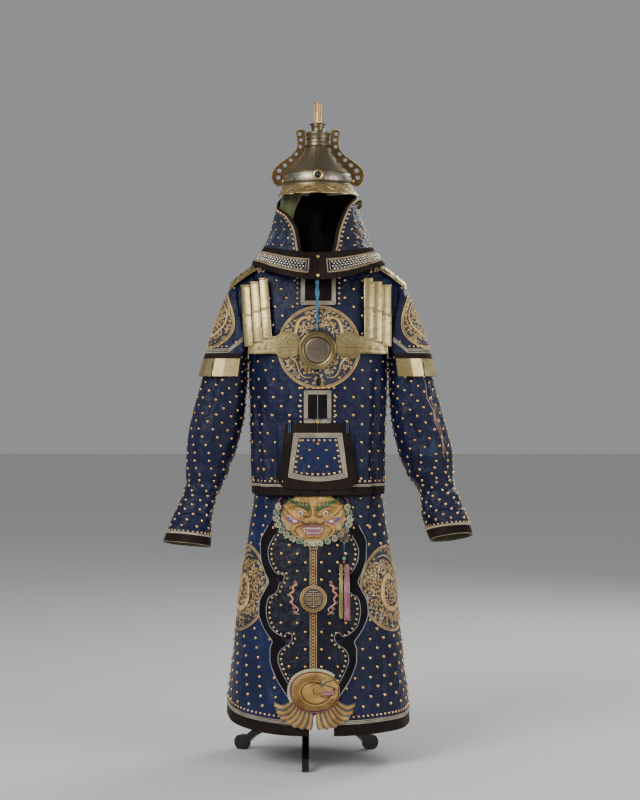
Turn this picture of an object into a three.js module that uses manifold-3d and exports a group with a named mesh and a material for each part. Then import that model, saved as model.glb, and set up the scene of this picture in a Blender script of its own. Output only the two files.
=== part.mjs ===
// Ceremonial armour of padded satin on a dress stand: helmet, hood and collar, a studded coat with
// sleeves, shoulder guards and gilt plates, and a two-panel skirt with a hanging apron.
// Millimetres, +Z up, the front faces -Y. Left is the -X side and right the +X side.

import * as THREE from 'three';
import { mergeVertices } from 'three/addons/utils/BufferGeometryUtils.js';
import Module from 'manifold-3d';

const wasm = await Module();
wasm.setup();

// Cloth and seams

const WALL = 2.6; // padded satin with its lining
const SEAM = 0.4; // gap between two pieces that are sewn together
const GILT = 1.6; // thickness of a gilt plate
const CLEAR = 0.5; // gap between a piece and what carries it
const FRONT = -Math.PI / 2;
const BACK = Math.PI / 2;

// Coat: horizontal sections of its outer surface, from the hem up to the neck

const COAT = [
  { z: 790, width: 198, front: 158, back: 150, power: 2.5 },
  { z: 860, width: 199, front: 152, back: 146, power: 2.5 },
  { z: 950, width: 201, front: 145, back: 140, power: 2.5 },
  { z: 1050, width: 204, front: 139, back: 136, power: 2.5 },
  { z: 1150, width: 206, front: 138, back: 136, power: 2.5 },
  { z: 1260, width: 208, front: 137, back: 138, power: 2.5 },
  { z: 1340, width: 208, front: 129, back: 134, power: 2.5 },
  { z: 1400, width: 207, front: 116, back: 122, power: 2.45 },
  { z: 1440, width: 206, front: 101, back: 107, power: 2.4 },
  { z: 1462, width: 193, front: 88, back: 94, power: 2.3 },
  { z: 1478, width: 160, front: 78, back: 84, power: 2.2 },
  { z: 1491, width: 119, front: 70, back: 75, power: 2.1 },
  { z: 1502, width: 84, front: 64, back: 70, power: 2 },
];
const COAT_LEVELS = [816, 865, 920, 985, 1060, 1140, 1225, 1310, 1375, 1412, 1440, 1462, 1478, 1491, 1502];
const COLUMNS = { front: 9, back: 12 };
const COAT_HEM = { top: 816, bottom: 790 };

// Upright folds of the coat: where they lie round it, how wide and deep, and the height where they fade
const COAT_FOLDS = [
  { angle: -2.62, spread: 0.085, depth: -15, fade: 1180 },
  { angle: -2.4, spread: 0.075, depth: 7, fade: 1150 },
  { angle: -2.18, spread: 0.06, depth: -8, fade: 1120 },
  { angle: -1.1, spread: 0.07, depth: -8, fade: 1130 },
  { angle: -0.85, spread: 0.075, depth: 6, fade: 1180 },
  { angle: -0.62, spread: 0.08, depth: -13, fade: 1220 },
  { angle: -0.36, spread: 0.07, depth: 5, fade: 1150 },
  { angle: 0.55, spread: 0.1, depth: -9, fade: 1180 },
  { angle: 1.05, spread: 0.1, depth: -7, fade: 1100 },
  { angle: 1.4, spread: 0.09, depth: 5, fade: 1150 },
  { angle: 1.95, spread: 0.11, depth: -8, fade: 1120 },
  { angle: 2.6, spread: 0.1, depth: -10, fade: 1200 },
];

// Armhole: an upright ellipse at the coat's side
const ARMHOLE = { z: 1357, halfHeight: 98, halfDepth: 82 };

// Sleeves: each row is a ring from its outer point to its inner one, X counted outwards from the middle.
// y is the ring's middle, depth its half depth, and tip turns the ring to face forwards, in degrees.
const SLEEVE_LEFT = [
  { outerX: 243, outerZ: 1428, innerX: 209, innerZ: 1236, y: 0, depth: 84, tip: 0 },
  { outerX: 270, outerZ: 1372, innerX: 210, innerZ: 1212, y: 0, depth: 83, tip: 0 },
  { outerX: 292, outerZ: 1304, innerX: 211, innerZ: 1185, y: 0, depth: 81, tip: 0 },
  { outerX: 312, outerZ: 1240, innerX: 212, innerZ: 1156, y: 0, depth: 79, tip: 0 },
  { outerX: 334, outerZ: 1176, innerX: 213, innerZ: 1122, y: -2, depth: 79, tip: 0 },
  { outerX: 352, outerZ: 1112, innerX: 216, innerZ: 1080, y: -4, depth: 80, tip: 1 },
  { outerX: 371, outerZ: 1046, innerX: 220, innerZ: 1026, y: -8, depth: 81, tip: 2 },
  { outerX: 384, outerZ: 980, innerX: 231, innerZ: 970, y: -14, depth: 80, tip: 3 },
  { outerX: 393, outerZ: 912, innerX: 249, innerZ: 906, y: -21, depth: 76, tip: 4 },
  { outerX: 395, outerZ: 850, innerX: 270, innerZ: 845, y: -28, depth: 70, tip: 5 },
  { outerX: 399, outerZ: 805, innerX: 291, innerZ: 800, y: -34, depth: 64, tip: 6 },
  { outerX: 411, outerZ: 766, innerX: 307, innerZ: 761, y: -40, depth: 60, tip: 7 },
  { outerX: 428, outerZ: 728, innerX: 315, innerZ: 721, y: -46, depth: 62, tip: 8 },
  { outerX: 446, outerZ: 684, innerX: 318, innerZ: 671, y: -52, depth: 66, tip: 8 },
  { outerX: 459, outerZ: 646, innerX: 319, innerZ: 632, y: -57, depth: 70, tip: 8 },
];
const SLEEVE_RIGHT = [
  { outerX: 243, outerZ: 1428, innerX: 209, innerZ: 1236, y: 0, depth: 84, tip: 0 },
  { outerX: 270, outerZ: 1372, innerX: 210, innerZ: 1212, y: 0, depth: 83, tip: 0 },
  { outerX: 292, outerZ: 1304, innerX: 211, innerZ: 1185, y: 0, depth: 81, tip: 0 },
  { outerX: 314, outerZ: 1240, innerX: 212, innerZ: 1156, y: 0, depth: 80, tip: 0 },
  { outerX: 333, outerZ: 1176, innerX: 213, innerZ: 1118, y: -2, depth: 81, tip: 0 },
  { outerX: 349, outerZ: 1112, innerX: 216, innerZ: 1074, y: -4, depth: 83, tip: 1 },
  { outerX: 367, outerZ: 1046, innerX: 219, innerZ: 1020, y: -8, depth: 84, tip: 2 },
  { outerX: 386, outerZ: 978, innerX: 229, innerZ: 960, y: -14, depth: 82, tip: 4 },
  { outerX: 401, outerZ: 910, innerX: 245, innerZ: 896, y: -22, depth: 78, tip: 5 },
  { outerX: 404, outerZ: 856, innerX: 268, innerZ: 840, y: -30, depth: 72, tip: 7 },
  { outerX: 405, outerZ: 822, innerX: 298, innerZ: 802, y: -36, depth: 62, tip: 8 },
  { outerX: 417, outerZ: 786, innerX: 306, innerZ: 768, y: -42, depth: 61, tip: 10 },
  { outerX: 434, outerZ: 742, innerX: 309, innerZ: 728, y: -50, depth: 64, tip: 11 },
  { outerX: 448, outerZ: 704, innerX: 319, innerZ: 692, y: -56, depth: 68, tip: 12 },
  { outerX: 459, outerZ: 668, innerX: 334, innerZ: 652, y: -62, depth: 71, tip: 12 },
];
const CUFF_ROW = 13; // the velvet cuff is the stretch below this row
const SLEEVE_COLUMNS = 7; // on each half of a sleeve
const SLEEVE_SEAM = 0.0033; // half a seam, as an angle round the sleeve

// Lengthwise folds of a sleeve: place round it, width, depth, and the rows it runs between
const SLEEVE_FOLDS = [
  { angle: -1.9, spread: 0.26, depth: -9, from: 2, to: 9 },
  { angle: -1.15, spread: 0.22, depth: -7, from: 3, to: 8 },
  { angle: -0.5, spread: 0.25, depth: -5, from: 5, to: 11 },
  { angle: 0.9, spread: 0.3, depth: -8, from: 2, to: 9 },
  { angle: 1.9, spread: 0.3, depth: -7, from: 3, to: 10 },
];
// Creases across the sleeve where it bends and at the wrist
const SLEEVE_CREASES = [
  { row: 9.6, spread: 0.28, depth: -5, angle: -2.4 },
  { row: 10.6, spread: 0.3, depth: -6, angle: -0.4 },
  { row: 11.5, spread: 0.28, depth: -5, angle: -1.6 },
];

// Skirt: horizontal sections of its outer surface, from the hem up to the waist

const SKIRT = [
  { z: 100, width: 274, front: 255, back: 243, power: 2.15 },
  { z: 177, width: 270, front: 247, back: 236, power: 2.15 },
  { z: 288, width: 257, front: 231, back: 222, power: 2.15 },
  { z: 432, width: 242, front: 207, back: 205, power: 2.15 },
  { z: 561, width: 226, front: 181, back: 184, power: 2.15 },
  { z: 693, width: 204, front: 151, back: 160, power: 2.15 },
  { z: 780, width: 191, front: 132, back: 143, power: 2.15 },
  { z: 900, width: 176, front: 118, back: 124, power: 2.15 },
  { z: 960, width: 168, front: 112, back: 116, power: 2.15 },
];
const WAIST = 960;
const HEM = { bottom: 106, velvet: 30, liftAtLeft: 26 };
const SKIRT_GAP = {
  leftAtHem: -25,
  rightAtHem: 46,
  leftAtWaist: -4,
  rightAtWaist: 6,
  backAtHem: 9,
  backAtWaist: 1,
};
const SKIRT_WAVES = { count: 9, depth: 4 };

// Hood and collar: rings from the helmet's rim (drop 0) to the collar's top (1) and its hem (2)

const MANTLE = [
  { drop: 0, width: 108, front: 107, back: 109, sideZ: 1694.4, frontZ: 1694.4, backZ: 1694.4 },
  { drop: 0.3, width: 121, front: 110, back: 127, sideZ: 1655, frontZ: 1655, backZ: 1658 },
  { drop: 0.6, width: 138, front: 117, back: 138, sideZ: 1590, frontZ: 1586, backZ: 1600 },
  { drop: 1, width: 162, front: 134, back: 152, sideZ: 1524, frontZ: 1500, backZ: 1530 },
  { drop: 1.5, width: 181, front: 154, back: 163, sideZ: 1499, frontZ: 1459, backZ: 1486 },
  { drop: 2, width: 199, front: 172, back: 172, sideZ: 1474, frontZ: 1419, backZ: 1443 },
];
// Front edges of the two hood flaps: how far round from the side they reach, in degrees
const FLAP_EDGE = [
  { drop: 0.12, left: -20, right: -6 },
  { drop: 0.36, left: 12, right: 46 },
  { drop: 0.5, left: 50, right: 58 },
  { drop: 0.7, left: 66, right: 68 },
  { drop: 1, left: 73, right: 76 },
];
const NAPE_EDGE = 32; // the nape piece starts this many degrees behind the side

// Helmet: outer profile of the bowl from its rim up to the neck of the finial

const BOWL = [
  { r: 109, z: 1695 },
  { r: 108, z: 1708 },
  { r: 104, z: 1713 },
  { r: 97, z: 1746 },
  { r: 90, z: 1753 },
  { r: 74, z: 1768 },
  { r: 57, z: 1787 },
  { r: 45, z: 1806 },
  { r: 36, z: 1826 },
  { r: 36.5, z: 1837 },
  { r: 33.5, z: 1839 },
  { r: 35.5, z: 1862 },
  { r: 37, z: 1864 },
  { r: 37, z: 1869 },
  { r: 19, z: 1871 },
  { r: 20, z: 1884 },
  { r: 24, z: 1896 },
];
const BOWL_WALL = 3;
const TUBE = { radius: 8.5, bottom: 1890.5, top: 1962, bore: 6 };
const RIB = { width: 13, height: 4 };
const BOSS = { radius: 17, z: 1731, reach: 16 };
const PEAK = { reach: 40, drop: 30, half: 76, scallop: 3 };
const CREST_THICK = 2.4;

// Shoulder guards: arcs from the front edge round the arm to the back edge

const GUARD = [
  { z: 1414, outer: 256, front: 236, depth: 45.5 },
  { z: 1400, outer: 264, front: 238, depth: 61.5 },
  { z: 1380, outer: 274, front: 240, depth: 75.5 },
  { z: 1340, outer: 291, front: 234, depth: 88.5 },
  { z: 1300, outer: 306, front: 226, depth: 92.5 },
  { z: 1234, outer: 329, front: 212, depth: 96.5 },
  { z: 1205, outer: 338, front: 222, depth: 98.5 },
  { z: 1182, outer: 345, front: 232, depth: 99.5 },
  { z: 1137, outer: 357, front: 236, depth: 101.5 },
];
const GUARD_SPAN = { top: 1412, bottom: 1184 };
const SCALES = { count: 5, top: 1190, bottom: 1138, band: 9, gap: 3.2, lift: 2.9 };

// Gilt plates of the harness

const SHOULDER_PLATE = [
  { x: 168, z: 1485.2 },
  { x: 198, z: 1468.6 },
  { x: 232, z: 1444.6 },
  { x: 262, z: 1418.5 },
];
const SHOULDER_PLATE_HALF = 62;
const SHOULDER_PLATE_DROP = 24;
const HARNESS = { width: 264, power: 3, lift: 1.5, strap: 2.2 };
// Middles of the lames at their tops and bottoms on each side, and the heights of their ends and breaks
const LAMES = [
  { leftTop: 160, leftBottom: 147, rightTop: 148, rightBottom: 148, topZ: 1426, breakZ: 1334, bottomZ: 1247 },
  { leftTop: 187, leftBottom: 174, rightTop: 175, rightBottom: 175, topZ: 1416, breakZ: 1325, bottomZ: 1237 },
  { leftTop: 214, leftBottom: 201, rightTop: 202, rightBottom: 202, topZ: 1407, breakZ: 1315, bottomZ: 1225 },
];
const LAME_HALF = 13.1;
const MIRROR = { x: -2, z: 1214, radius: 57, disc: 37, thick: 12 };

// Cord from the collar down to the mirror
const MIRROR_CORD = [
  { z: 1271.6, y: -145, halfWidth: 3.2, halfDepth: 2.4 },
  { z: 1320, y: -149, halfWidth: 4.2, halfDepth: 3 },
  { z: 1360, y: -155, halfWidth: 6, halfDepth: 3.4 },
  { z: 1398, y: -163, halfWidth: 7, halfDepth: 4 },
  { z: 1415.6, y: -169, halfWidth: 5, halfDepth: 3 },
];

// Front flap that hangs from the coat's middle

const FLAP = { topHalf: 92, bottomHalf: 114, top: 998, corner: 833, bottom: 806, lift: 1.3, thick: 4 };

// Apron: half widths from its middle to the velvet border's outer edge, down its length

const APRON_X = -13;
const APRON = [
  { z: 905, half: 96 },
  { z: 800, half: 100 },
  { z: 726, half: 112 },
  { z: 694, half: 132 },
  { z: 647, half: 151 },
  { z: 607, half: 150 },
  { z: 564, half: 138 },
  { z: 537, half: 127 },
  { z: 515, half: 137 },
  { z: 478, half: 153 },
  { z: 449, half: 155 },
  { z: 411, half: 143 },
  { z: 385, half: 127 },
  { z: 368, half: 116 },
  { z: 348, half: 122 },
  { z: 319, half: 122 },
  { z: 273, half: 108 },
  { z: 233, half: 84 },
  { z: 196, half: 56 },
  { z: 168, half: 30 },
];
const APRON_LIFT = 3.2;
const MASK = { z: 723, halfWidth: 116, halfHeight: 78, lift: 8 };
const COLUMN = { halfWidth: 10, top: 640.8, bottom: 294, thick: 2.5, discZ: 492, disc: 38 };
const CREATURE = { x: -9, z: 232, halfWidth: 74, halfHeight: 61 };

// Pendant at the mask's right with the pair of tassels below it
const PENDANT = { x: 76, top: 688, middle: 590, tail: 435 };
const TASSELS = [
  { name: 'tassel_yellow', shift: -9, radius: 6, off: 3.8, top: 589.6, length: 152 },
  { name: 'tassel_pink', shift: 8, radius: 8.5, off: 1, top: 589.6, length: 158 },
];

// Dress stand

const STAND_X = -36;
const FORM_HIPS = [
  { z: 850, inset: 40 },
  { z: 915, inset: 12 },
  { z: 956, inset: 4.4 },
];
const FORM_CLEARANCE = [
  { z: 1010, inset: 44 },
  { z: 1180, inset: 30 },
  { z: 1300, inset: 16 },
  { z: 1400, inset: 8 },
  { z: 1440, inset: WALL + 0.7 },
  { z: 1502, inset: WALL + 0.7 },
];
const POST = { radius: 24, bottom: 1561 };
const LEG = { reach: 226, foot: 21, thick: 20, hubZ: 205 };

// Materials

const cloth = (color) => new THREE.MeshStandardMaterial({ color, roughness: 0.6, metalness: 0 });
const metal = (color, roughness) => new THREE.MeshStandardMaterial({ color, roughness, metalness: 0.9 });
const SATIN = cloth(0x1c2a5e);
const DARK_SATIN = cloth(0x121a38);
const VELVET = cloth(0x1d1512);
const LINING = cloth(0x5d6440);
const GOLD = metal(0xb9964f, 0.4);
const IRON = metal(0x7a7058, 0.5);
const BRONZE = metal(0x85713f, 0.35);
const THREAD = cloth(0xc49a4a);
const LACQUER = new THREE.MeshStandardMaterial({ color: 0x0b0b0c, roughness: 0.3, metalness: 0 });
const BLUE_CORD = cloth(0x3f8fb0);
const PINK_SILK = cloth(0xc98aa0);
const YELLOW_SILK = cloth(0xb0a850);

TASSELS[0].material = YELLOW_SILK;
TASSELS[1].material = PINK_SILK;

const armour = new THREE.Group();
const figure = new THREE.Group();
armour.add(figure);

// Curves through the tables

function through(rows, key, name) {
  const x = rows.map((row) => row[key]);
  const y = rows.map((row) => row[name]);
  const sign = x[1] > x[0] ? 1 : -1;
  const slopes = x.slice(1).map((value, i) => (y[i + 1] - y[i]) / (value - x[i]));
  const tangents = x.map((_, i) => {
    if (i === 0) return slopes[0];
    if (i === x.length - 1) return slopes[i - 1];
    const before = slopes[i - 1];
    const after = slopes[i];
    return before * after <= 0 ? 0 : (2 * before * after) / (before + after);
  });
  return (at) => {
    let i = 0;
    while (i < x.length - 2 && sign * at > sign * x[i + 1]) i += 1;
    const span = x[i + 1] - x[i];
    const s = Math.min(1, Math.max(0, (at - x[i]) / span));
    const h = s * s * (3 - 2 * s);
    const rise = s * (1 - s) * (1 - s) * span * tangents[i];
    const fall = s * s * (s - 1) * span * tangents[i + 1];
    return y[i] + h * (y[i + 1] - y[i]) + rise + fall;
  };
}

const columns = (rows, key, ...names) =>
  Object.fromEntries(names.map((name) => [name, through(rows, key, name)]));
const spread = (from, to, count) =>
  Array.from({ length: count + 1 }, (_, i) => from + ((to - from) * i) / count);
const bump = (distance) => Math.exp(-distance * distance);
const fade = (x) => {
  const s = Math.min(1, Math.max(0, x));
  return s * s * (3 - 2 * s);
};
const signedPower = (value, power) => Math.sign(value) * Math.abs(value) ** power;
const turned = (angle) => Math.atan2(Math.sin(angle), Math.cos(angle));

// Surfaces: each gives the point of a garment's outer face

const coatAt = columns(COAT, 'z', 'width', 'front', 'back', 'power');
const skirtAt = columns(SKIRT, 'z', 'width', 'front', 'back', 'power');
const mantleAt = columns(MANTLE, 'drop', 'width', 'front', 'back', 'sideZ', 'frontZ', 'backZ');
const guardAt = columns(GUARD, 'z', 'outer', 'front', 'depth');

function ringPoint(sizes, z, angle, swell = 0) {
  const c = Math.cos(angle);
  const s = Math.sin(angle);
  const exponent = 2 / sizes.power(z);
  const width = sizes.width(z) + swell;
  const depth = (s < 0 ? sizes.front(z) : sizes.back(z)) + swell;
  return new THREE.Vector3(width * signedPower(c, exponent), depth * signedPower(s, exponent), z);
}

function coatFold(angle, z) {
  return COAT_FOLDS.reduce(
    (sum, fold) =>
      sum + fold.depth * bump(turned(angle - fold.angle) / fold.spread) * fade((fold.fade - z) / 260),
    0,
  );
}

const smoothCoat = (angle, z) => ringPoint(coatAt, z, angle);
const coat = (angle, z) => ringPoint(coatAt, z, angle, coatFold(angle, z));

const hemZ = (angle) => HEM.bottom + HEM.liftAtLeft * bump(turned(angle - Math.PI) / 0.7);
const skirt = (angle, z) => {
  const wave = SKIRT_WAVES.depth * fade((700 - z) / 600) * (0.35 + 0.65 * fade(Math.sin(angle) + 0.6));
  return ringPoint(skirtAt, z, angle, wave * Math.sin(SKIRT_WAVES.count * angle));
};

function mantle(angle, drop) {
  const s = Math.sin(angle);
  const forward = s < 0 ? s * s : 0;
  const behind = s > 0 ? s * s : 0;
  const side = mantleAt.sideZ(drop);
  const z = side + (mantleAt.frontZ(drop) - side) * forward + (mantleAt.backZ(drop) - side) * behind;
  const depth = s < 0 ? mantleAt.front(drop) : mantleAt.back(drop);
  return new THREE.Vector3(mantleAt.width(drop) * Math.cos(angle), depth * s, z);
}

// The angle round a section at which its outer face has the given X
function angleAtX(sizes, x, z, side = FRONT) {
  const share = Math.min(1, Math.abs(x) / sizes.width(z));
  return Math.sign(side) * Math.acos(Math.sign(x) * share ** (sizes.power(z) / 2));
}

const coatFront = (x, z) => coat(angleAtX(coatAt, x, z), z);
const skirtFront = (x, z) => skirt(angleAtX(skirtAt, x, z), z);

// The harness's plates hang in front of the chest and arms on a broader curve than the coat
function harness(x, z) {
  const depth = coatAt.front(z) + HARNESS.lift;
  const share = (Math.abs(x) / HARNESS.width) ** HARNESS.power;
  return new THREE.Vector3(x, -depth * (1 - share) ** (1 / HARNESS.power), z);
}

function guard(side) {
  return (turn, z) => {
    const middle = guardAt.front(z);
    const reach = guardAt.outer(z) - middle;
    const x = middle + reach * Math.abs(Math.cos(turn)) ** 0.85;
    return new THREE.Vector3(side * x, guardAt.depth(z) * signedPower(Math.sin(turn), 0.85), z);
  };
}

function sleeveSizes(rows) {
  const numbered = rows.map((row, i) => ({ ...row, at: i + 1 }));
  return columns(numbered, 'at', 'outerX', 'outerZ', 'innerX', 'innerZ', 'y', 'depth', 'tip');
}
const SLEEVES = { [-1]: sleeveSizes(SLEEVE_LEFT), 1: sleeveSizes(SLEEVE_RIGHT) };

function sleeveFold(angle, row) {
  const along = SLEEVE_FOLDS.reduce((sum, fold) => {
    const within = fade(row - fold.from) * fade(fold.to - row);
    return sum + fold.depth * within * bump(turned(angle - fold.angle) / fold.spread);
  }, 0);
  return SLEEVE_CREASES.reduce((sum, crease) => {
    const round = 0.5 + 0.5 * Math.cos(angle - crease.angle);
    return sum + crease.depth * round * bump((row - crease.row) / crease.spread);
  }, along);
}

// Row 0 is the armhole ring, which lies on the coat's side
function sleevePoint(side, angle, row, lift) {
  if (row < 1) {
    const y = (ARMHOLE.halfDepth + lift) * Math.sin(angle);
    const z = ARMHOLE.z + (ARMHOLE.halfHeight + lift) * Math.cos(angle);
    const depth = y < 0 ? coatAt.front(z) : coatAt.back(z);
    const share = 1 - (Math.abs(y) / depth) ** coatAt.power(z);
    return new THREE.Vector3(side * (coatAt.width(z) * share ** (1 / coatAt.power(z)) - 3), y, z);
  }
  const sizes = SLEEVES[side];
  const outer = new THREE.Vector3(side * sizes.outerX(row), sizes.y(row), sizes.outerZ(row));
  const inner = new THREE.Vector3(side * sizes.innerX(row), sizes.y(row), sizes.innerZ(row));
  const middle = outer.clone().add(inner).multiplyScalar(0.5);
  const across = outer.clone().sub(inner).multiplyScalar(0.5);
  const swell = lift + sleeveFold(angle, row);
  const tip = THREE.MathUtils.degToRad(sizes.tip(row));
  const along = new THREE.Vector3(0, Math.cos(tip), -Math.sin(tip)).multiplyScalar(sizes.depth(row) + swell);
  across.setLength(across.length() + swell);
  return middle.addScaledVector(across, Math.cos(angle)).addScaledVector(along, Math.sin(angle));
}

// Point of a surface moved along its outward normal. hint points roughly outwards from the point.
function moved(surface, u, v, lift, steps) {
  const [du, dv] = steps;
  const along = surface(u + du, v).sub(surface(u - du, v));
  const down = surface(u, v + dv).sub(surface(u, v - dv));
  const point = surface(u, v);
  const normal = along.cross(down).normalize();
  const outward = new THREE.Vector3(point.x, point.y, 0);
  if (steps.middle) outward.sub(steps.middle);
  if (normal.dot(outward) < 0) normal.negate();
  return point.addScaledVector(normal, lift);
}

const ROUND = [0.004, 0.5];
const FLAT = [0.5, 0.5];
const RINGS = [0.004, 0.01];
const aroundArm = (side) => Object.assign([0.01, 0.5], { middle: new THREE.Vector3(side * 200, 0, 0) });

// Closed meshes

function geometryFrom(points, triangles) {
  const volume = triangles.reduce((sum, [a, b, c]) => {
    const cross = new THREE.Vector3().crossVectors(points[b], points[c]);
    return sum + points[a].dot(cross);
  }, 0);
  const faces = volume < 0 ? triangles.map(([a, b, c]) => [a, c, b]) : triangles;
  const geometry = new THREE.BufferGeometry();
  const flat = points.flatMap((p) => [p.x, p.y, p.z]);
  geometry.setAttribute('position', new THREE.Float32BufferAttribute(flat, 3));
  geometry.setIndex(faces.flat());
  return geometry;
}

// A wall between two grids of the same size: rows of points, closed round each row when wrap is true
function wallBetween(outer, inner, wrap = false) {
  const rows = outer.length;
  const count = outer[0].length;
  const points = [...outer.flat(), ...inner.flat()];
  const at = (layer, i, j) => layer * rows * count + i * count + (j % count);
  const triangles = [];
  const quad = (a, b, c, d) => triangles.push([a, b, c], [a, c, d]);
  const last = wrap ? count : count - 1;
  for (let i = 0; i < rows - 1; i += 1) {
    for (let j = 0; j < last; j += 1) {
      quad(at(0, i, j), at(0, i, j + 1), at(0, i + 1, j + 1), at(0, i + 1, j));
      quad(at(1, i, j), at(1, i + 1, j), at(1, i + 1, j + 1), at(1, i, j + 1));
    }
    if (!wrap) {
      quad(at(0, i, 0), at(0, i + 1, 0), at(1, i + 1, 0), at(1, i, 0));
      quad(at(0, i, last), at(1, i, last), at(1, i + 1, last), at(0, i + 1, last));
    }
  }
  for (let j = 0; j < last; j += 1) {
    quad(at(0, 0, j), at(1, 0, j), at(1, 0, j + 1), at(0, 0, j + 1));
    quad(at(0, rows - 1, j), at(0, rows - 1, j + 1), at(1, rows - 1, j + 1), at(1, rows - 1, j));
  }
  return geometryFrom(points, triangles);
}

// A wall on a surface. Each row is [v, list of u]; lift is where the outer face lies, thick the wall.
function sheet(surface, steps, rows, lift, thick) {
  const layer = (height) => rows.map(([v, us]) => us.map((u) => moved(surface, u, v, height, steps)));
  return wallBetween(layer(lift), layer(lift - thick));
}

// A closed solid of rings stacked from bottom to top, with flat ends
function stack(rings) {
  const count = rings[0].length;
  const points = rings.flat();
  const triangles = [];
  for (let i = 0; i < rings.length - 1; i += 1) {
    for (let j = 0; j < count; j += 1) {
      const [a, b] = [i * count + j, i * count + ((j + 1) % count)];
      triangles.push([a, b, b + count], [a, b + count, a + count]);
    }
  }
  const top = (rings.length - 1) * count;
  for (let j = 1; j < count - 1; j += 1) {
    triangles.push([0, j + 1, j], [top, top + j, top + j + 1]);
  }
  return geometryFrom(points, triangles);
}

// Faces turned outwards, whatever the direction of the profile that made them
function facingOut(geometry) {
  const bare = geometry.clone();
  bare.deleteAttribute('normal');
  bare.deleteAttribute('uv');
  const merged = mergeVertices(bare, 1e-3);
  const { position } = merged.attributes;
  const points = [];
  for (let i = 0; i < position.count; i += 1) {
    points.push(new THREE.Vector3().fromBufferAttribute(position, i));
  }
  const triangles = [];
  for (let i = 0; i < merged.index.count; i += 3) {
    triangles.push([0, 1, 2].map((k) => merged.index.getX(i + k)));
  }
  return geometryFrom(points, triangles.filter(([a, b, c]) => a !== b && b !== c && c !== a));
}

function toSolid(geometry) {
  const bare = geometry.clone();
  bare.deleteAttribute('normal');
  bare.deleteAttribute('uv');
  const merged = mergeVertices(bare, 1e-3);
  return new wasm.Manifold(
    new wasm.Mesh({
      numProp: 3,
      vertProperties: new Float32Array(merged.attributes.position.array),
      triVerts: new Uint32Array(merged.index.array),
    }),
  );
}

function fromSolid(solid) {
  const mesh = solid.getMesh();
  const geometry = new THREE.BufferGeometry();
  geometry.setAttribute('position', new THREE.Float32BufferAttribute(mesh.vertProperties, 3));
  geometry.setIndex(Array.from(mesh.triVerts));
  return geometry;
}

const joined = (...geometries) => fromSolid(geometries.map(toSolid).reduce((a, b) => a.add(b)));
const cutBy = (geometry, ...tools) =>
  fromSolid(tools.map(toSolid).reduce((a, b) => a.subtract(b), toSolid(geometry)));
const keptIn = (geometry, tool) => fromSolid(toSolid(geometry).intersect(toSolid(tool)));

// An outline in X and Z, extruded along Y
function outlineTool(shape, fromY, toY, curveSegments = 6) {
  const depth = toY - fromY;
  const geometry = new THREE.ExtrudeGeometry(shape, { depth, bevelEnabled: false, curveSegments });
  geometry.rotateX(Math.PI / 2);
  return geometry.translate(0, toY, 0);
}

function piece(name, geometry, material) {
  const mesh = new THREE.Mesh(geometry, material);
  mesh.name = name;
  figure.add(mesh);
  return mesh;
}

const SIDES = [
  { side: -1, label: 'left' },
  { side: 1, label: 'right' },
];

// Coat

const slit = (sizes, z, depthOrWidth) => (SEAM / 2 / depthOrWidth) ** (sizes.power(z) / 2);

function coatRows(levels, from, to, count) {
  return levels.map((z) => [z, spread(from(z), to(z), count)]);
}

const edgeAtFront = (side) => (z) => FRONT + side * slit(coatAt, z, coatAt.width(z));
const edgeAtSide = (side, toBack) => (z) => {
  const gap = slit(coatAt, z, coatAt.back(z)) * (toBack ? 1 : -1);
  return side > 0 ? gap : -Math.PI - gap;
};

const bodyAngles = [
  ...spread(FRONT, 0, COLUMNS.front).slice(0, -1),
  ...spread(0, Math.PI, COLUMNS.back).slice(0, -1),
  ...spread(Math.PI, FRONT + 2 * Math.PI, COLUMNS.front).slice(0, -1),
];

// The coat's whole body as rings on the same columns and levels as its panels
function coatBody(levels, lift) {
  return levels.map((z) => bodyAngles.map((angle) => moved(coat, angle, z, lift(z), ROUND)));
}

function armholeTool(side) {
  const shape = new THREE.Shape();
  shape.absellipse(0, 0, ARMHOLE.halfDepth - WALL - 1, ARMHOLE.halfHeight - WALL - 1, 0, 2 * Math.PI);
  const geometry = new THREE.ExtrudeGeometry(shape, { depth: 120, bevelEnabled: false, curveSegments: 7 });
  geometry.rotateX(Math.PI / 2).rotateZ(Math.PI / 2);
  return geometry.translate(side > 0 ? 125 : -245, 0, ARMHOLE.z);
}

function makeCoat() {
  for (const { side, label } of SIDES) {
    const edges = [edgeAtFront(side), edgeAtSide(side, false)];
    const [from, to] = side > 0 ? edges : edges.reverse();
    const panel = sheet(coat, ROUND, coatRows(COAT_LEVELS, from, to, COLUMNS.front), 0, WALL);
    piece(`coat_front_${label}`, cutBy(panel, armholeTool(side)), SATIN);
    const hemRows = coatRows([COAT_HEM.bottom, COAT_HEM.top - SEAM], from, to, COLUMNS.front);
    piece(`coat_hem_front_${label}`, sheet(coat, ROUND, hemRows, 0, WALL), VELVET);
  }
  const right = edgeAtSide(1, true);
  const left = (z) => Math.PI - right(z);
  for (const { side, label } of SIDES) {
    const middle = (z) => BACK - side * slit(coatAt, z, coatAt.width(z));
    const [from, to] = side > 0 ? [right, middle] : [middle, left];
    const panel = sheet(coat, ROUND, coatRows(COAT_LEVELS, from, to, COLUMNS.back / 2), 0, WALL);
    piece(`coat_back_${label}`, cutBy(panel, armholeTool(side)), SATIN);
  }
  const hem = coatRows([COAT_HEM.bottom, COAT_HEM.top - SEAM], right, left, COLUMNS.back);
  piece('coat_hem_back', sheet(coat, ROUND, hem, 0, WALL), VELVET);
}

// Sleeves

function sleeveWall(side, rows, angles, wrap) {
  const layer = (lift) => rows.map((row) => angles.map((angle) => sleevePoint(side, angle, row, lift)));
  return wallBetween(layer(0), layer(-WALL), wrap);
}

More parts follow.
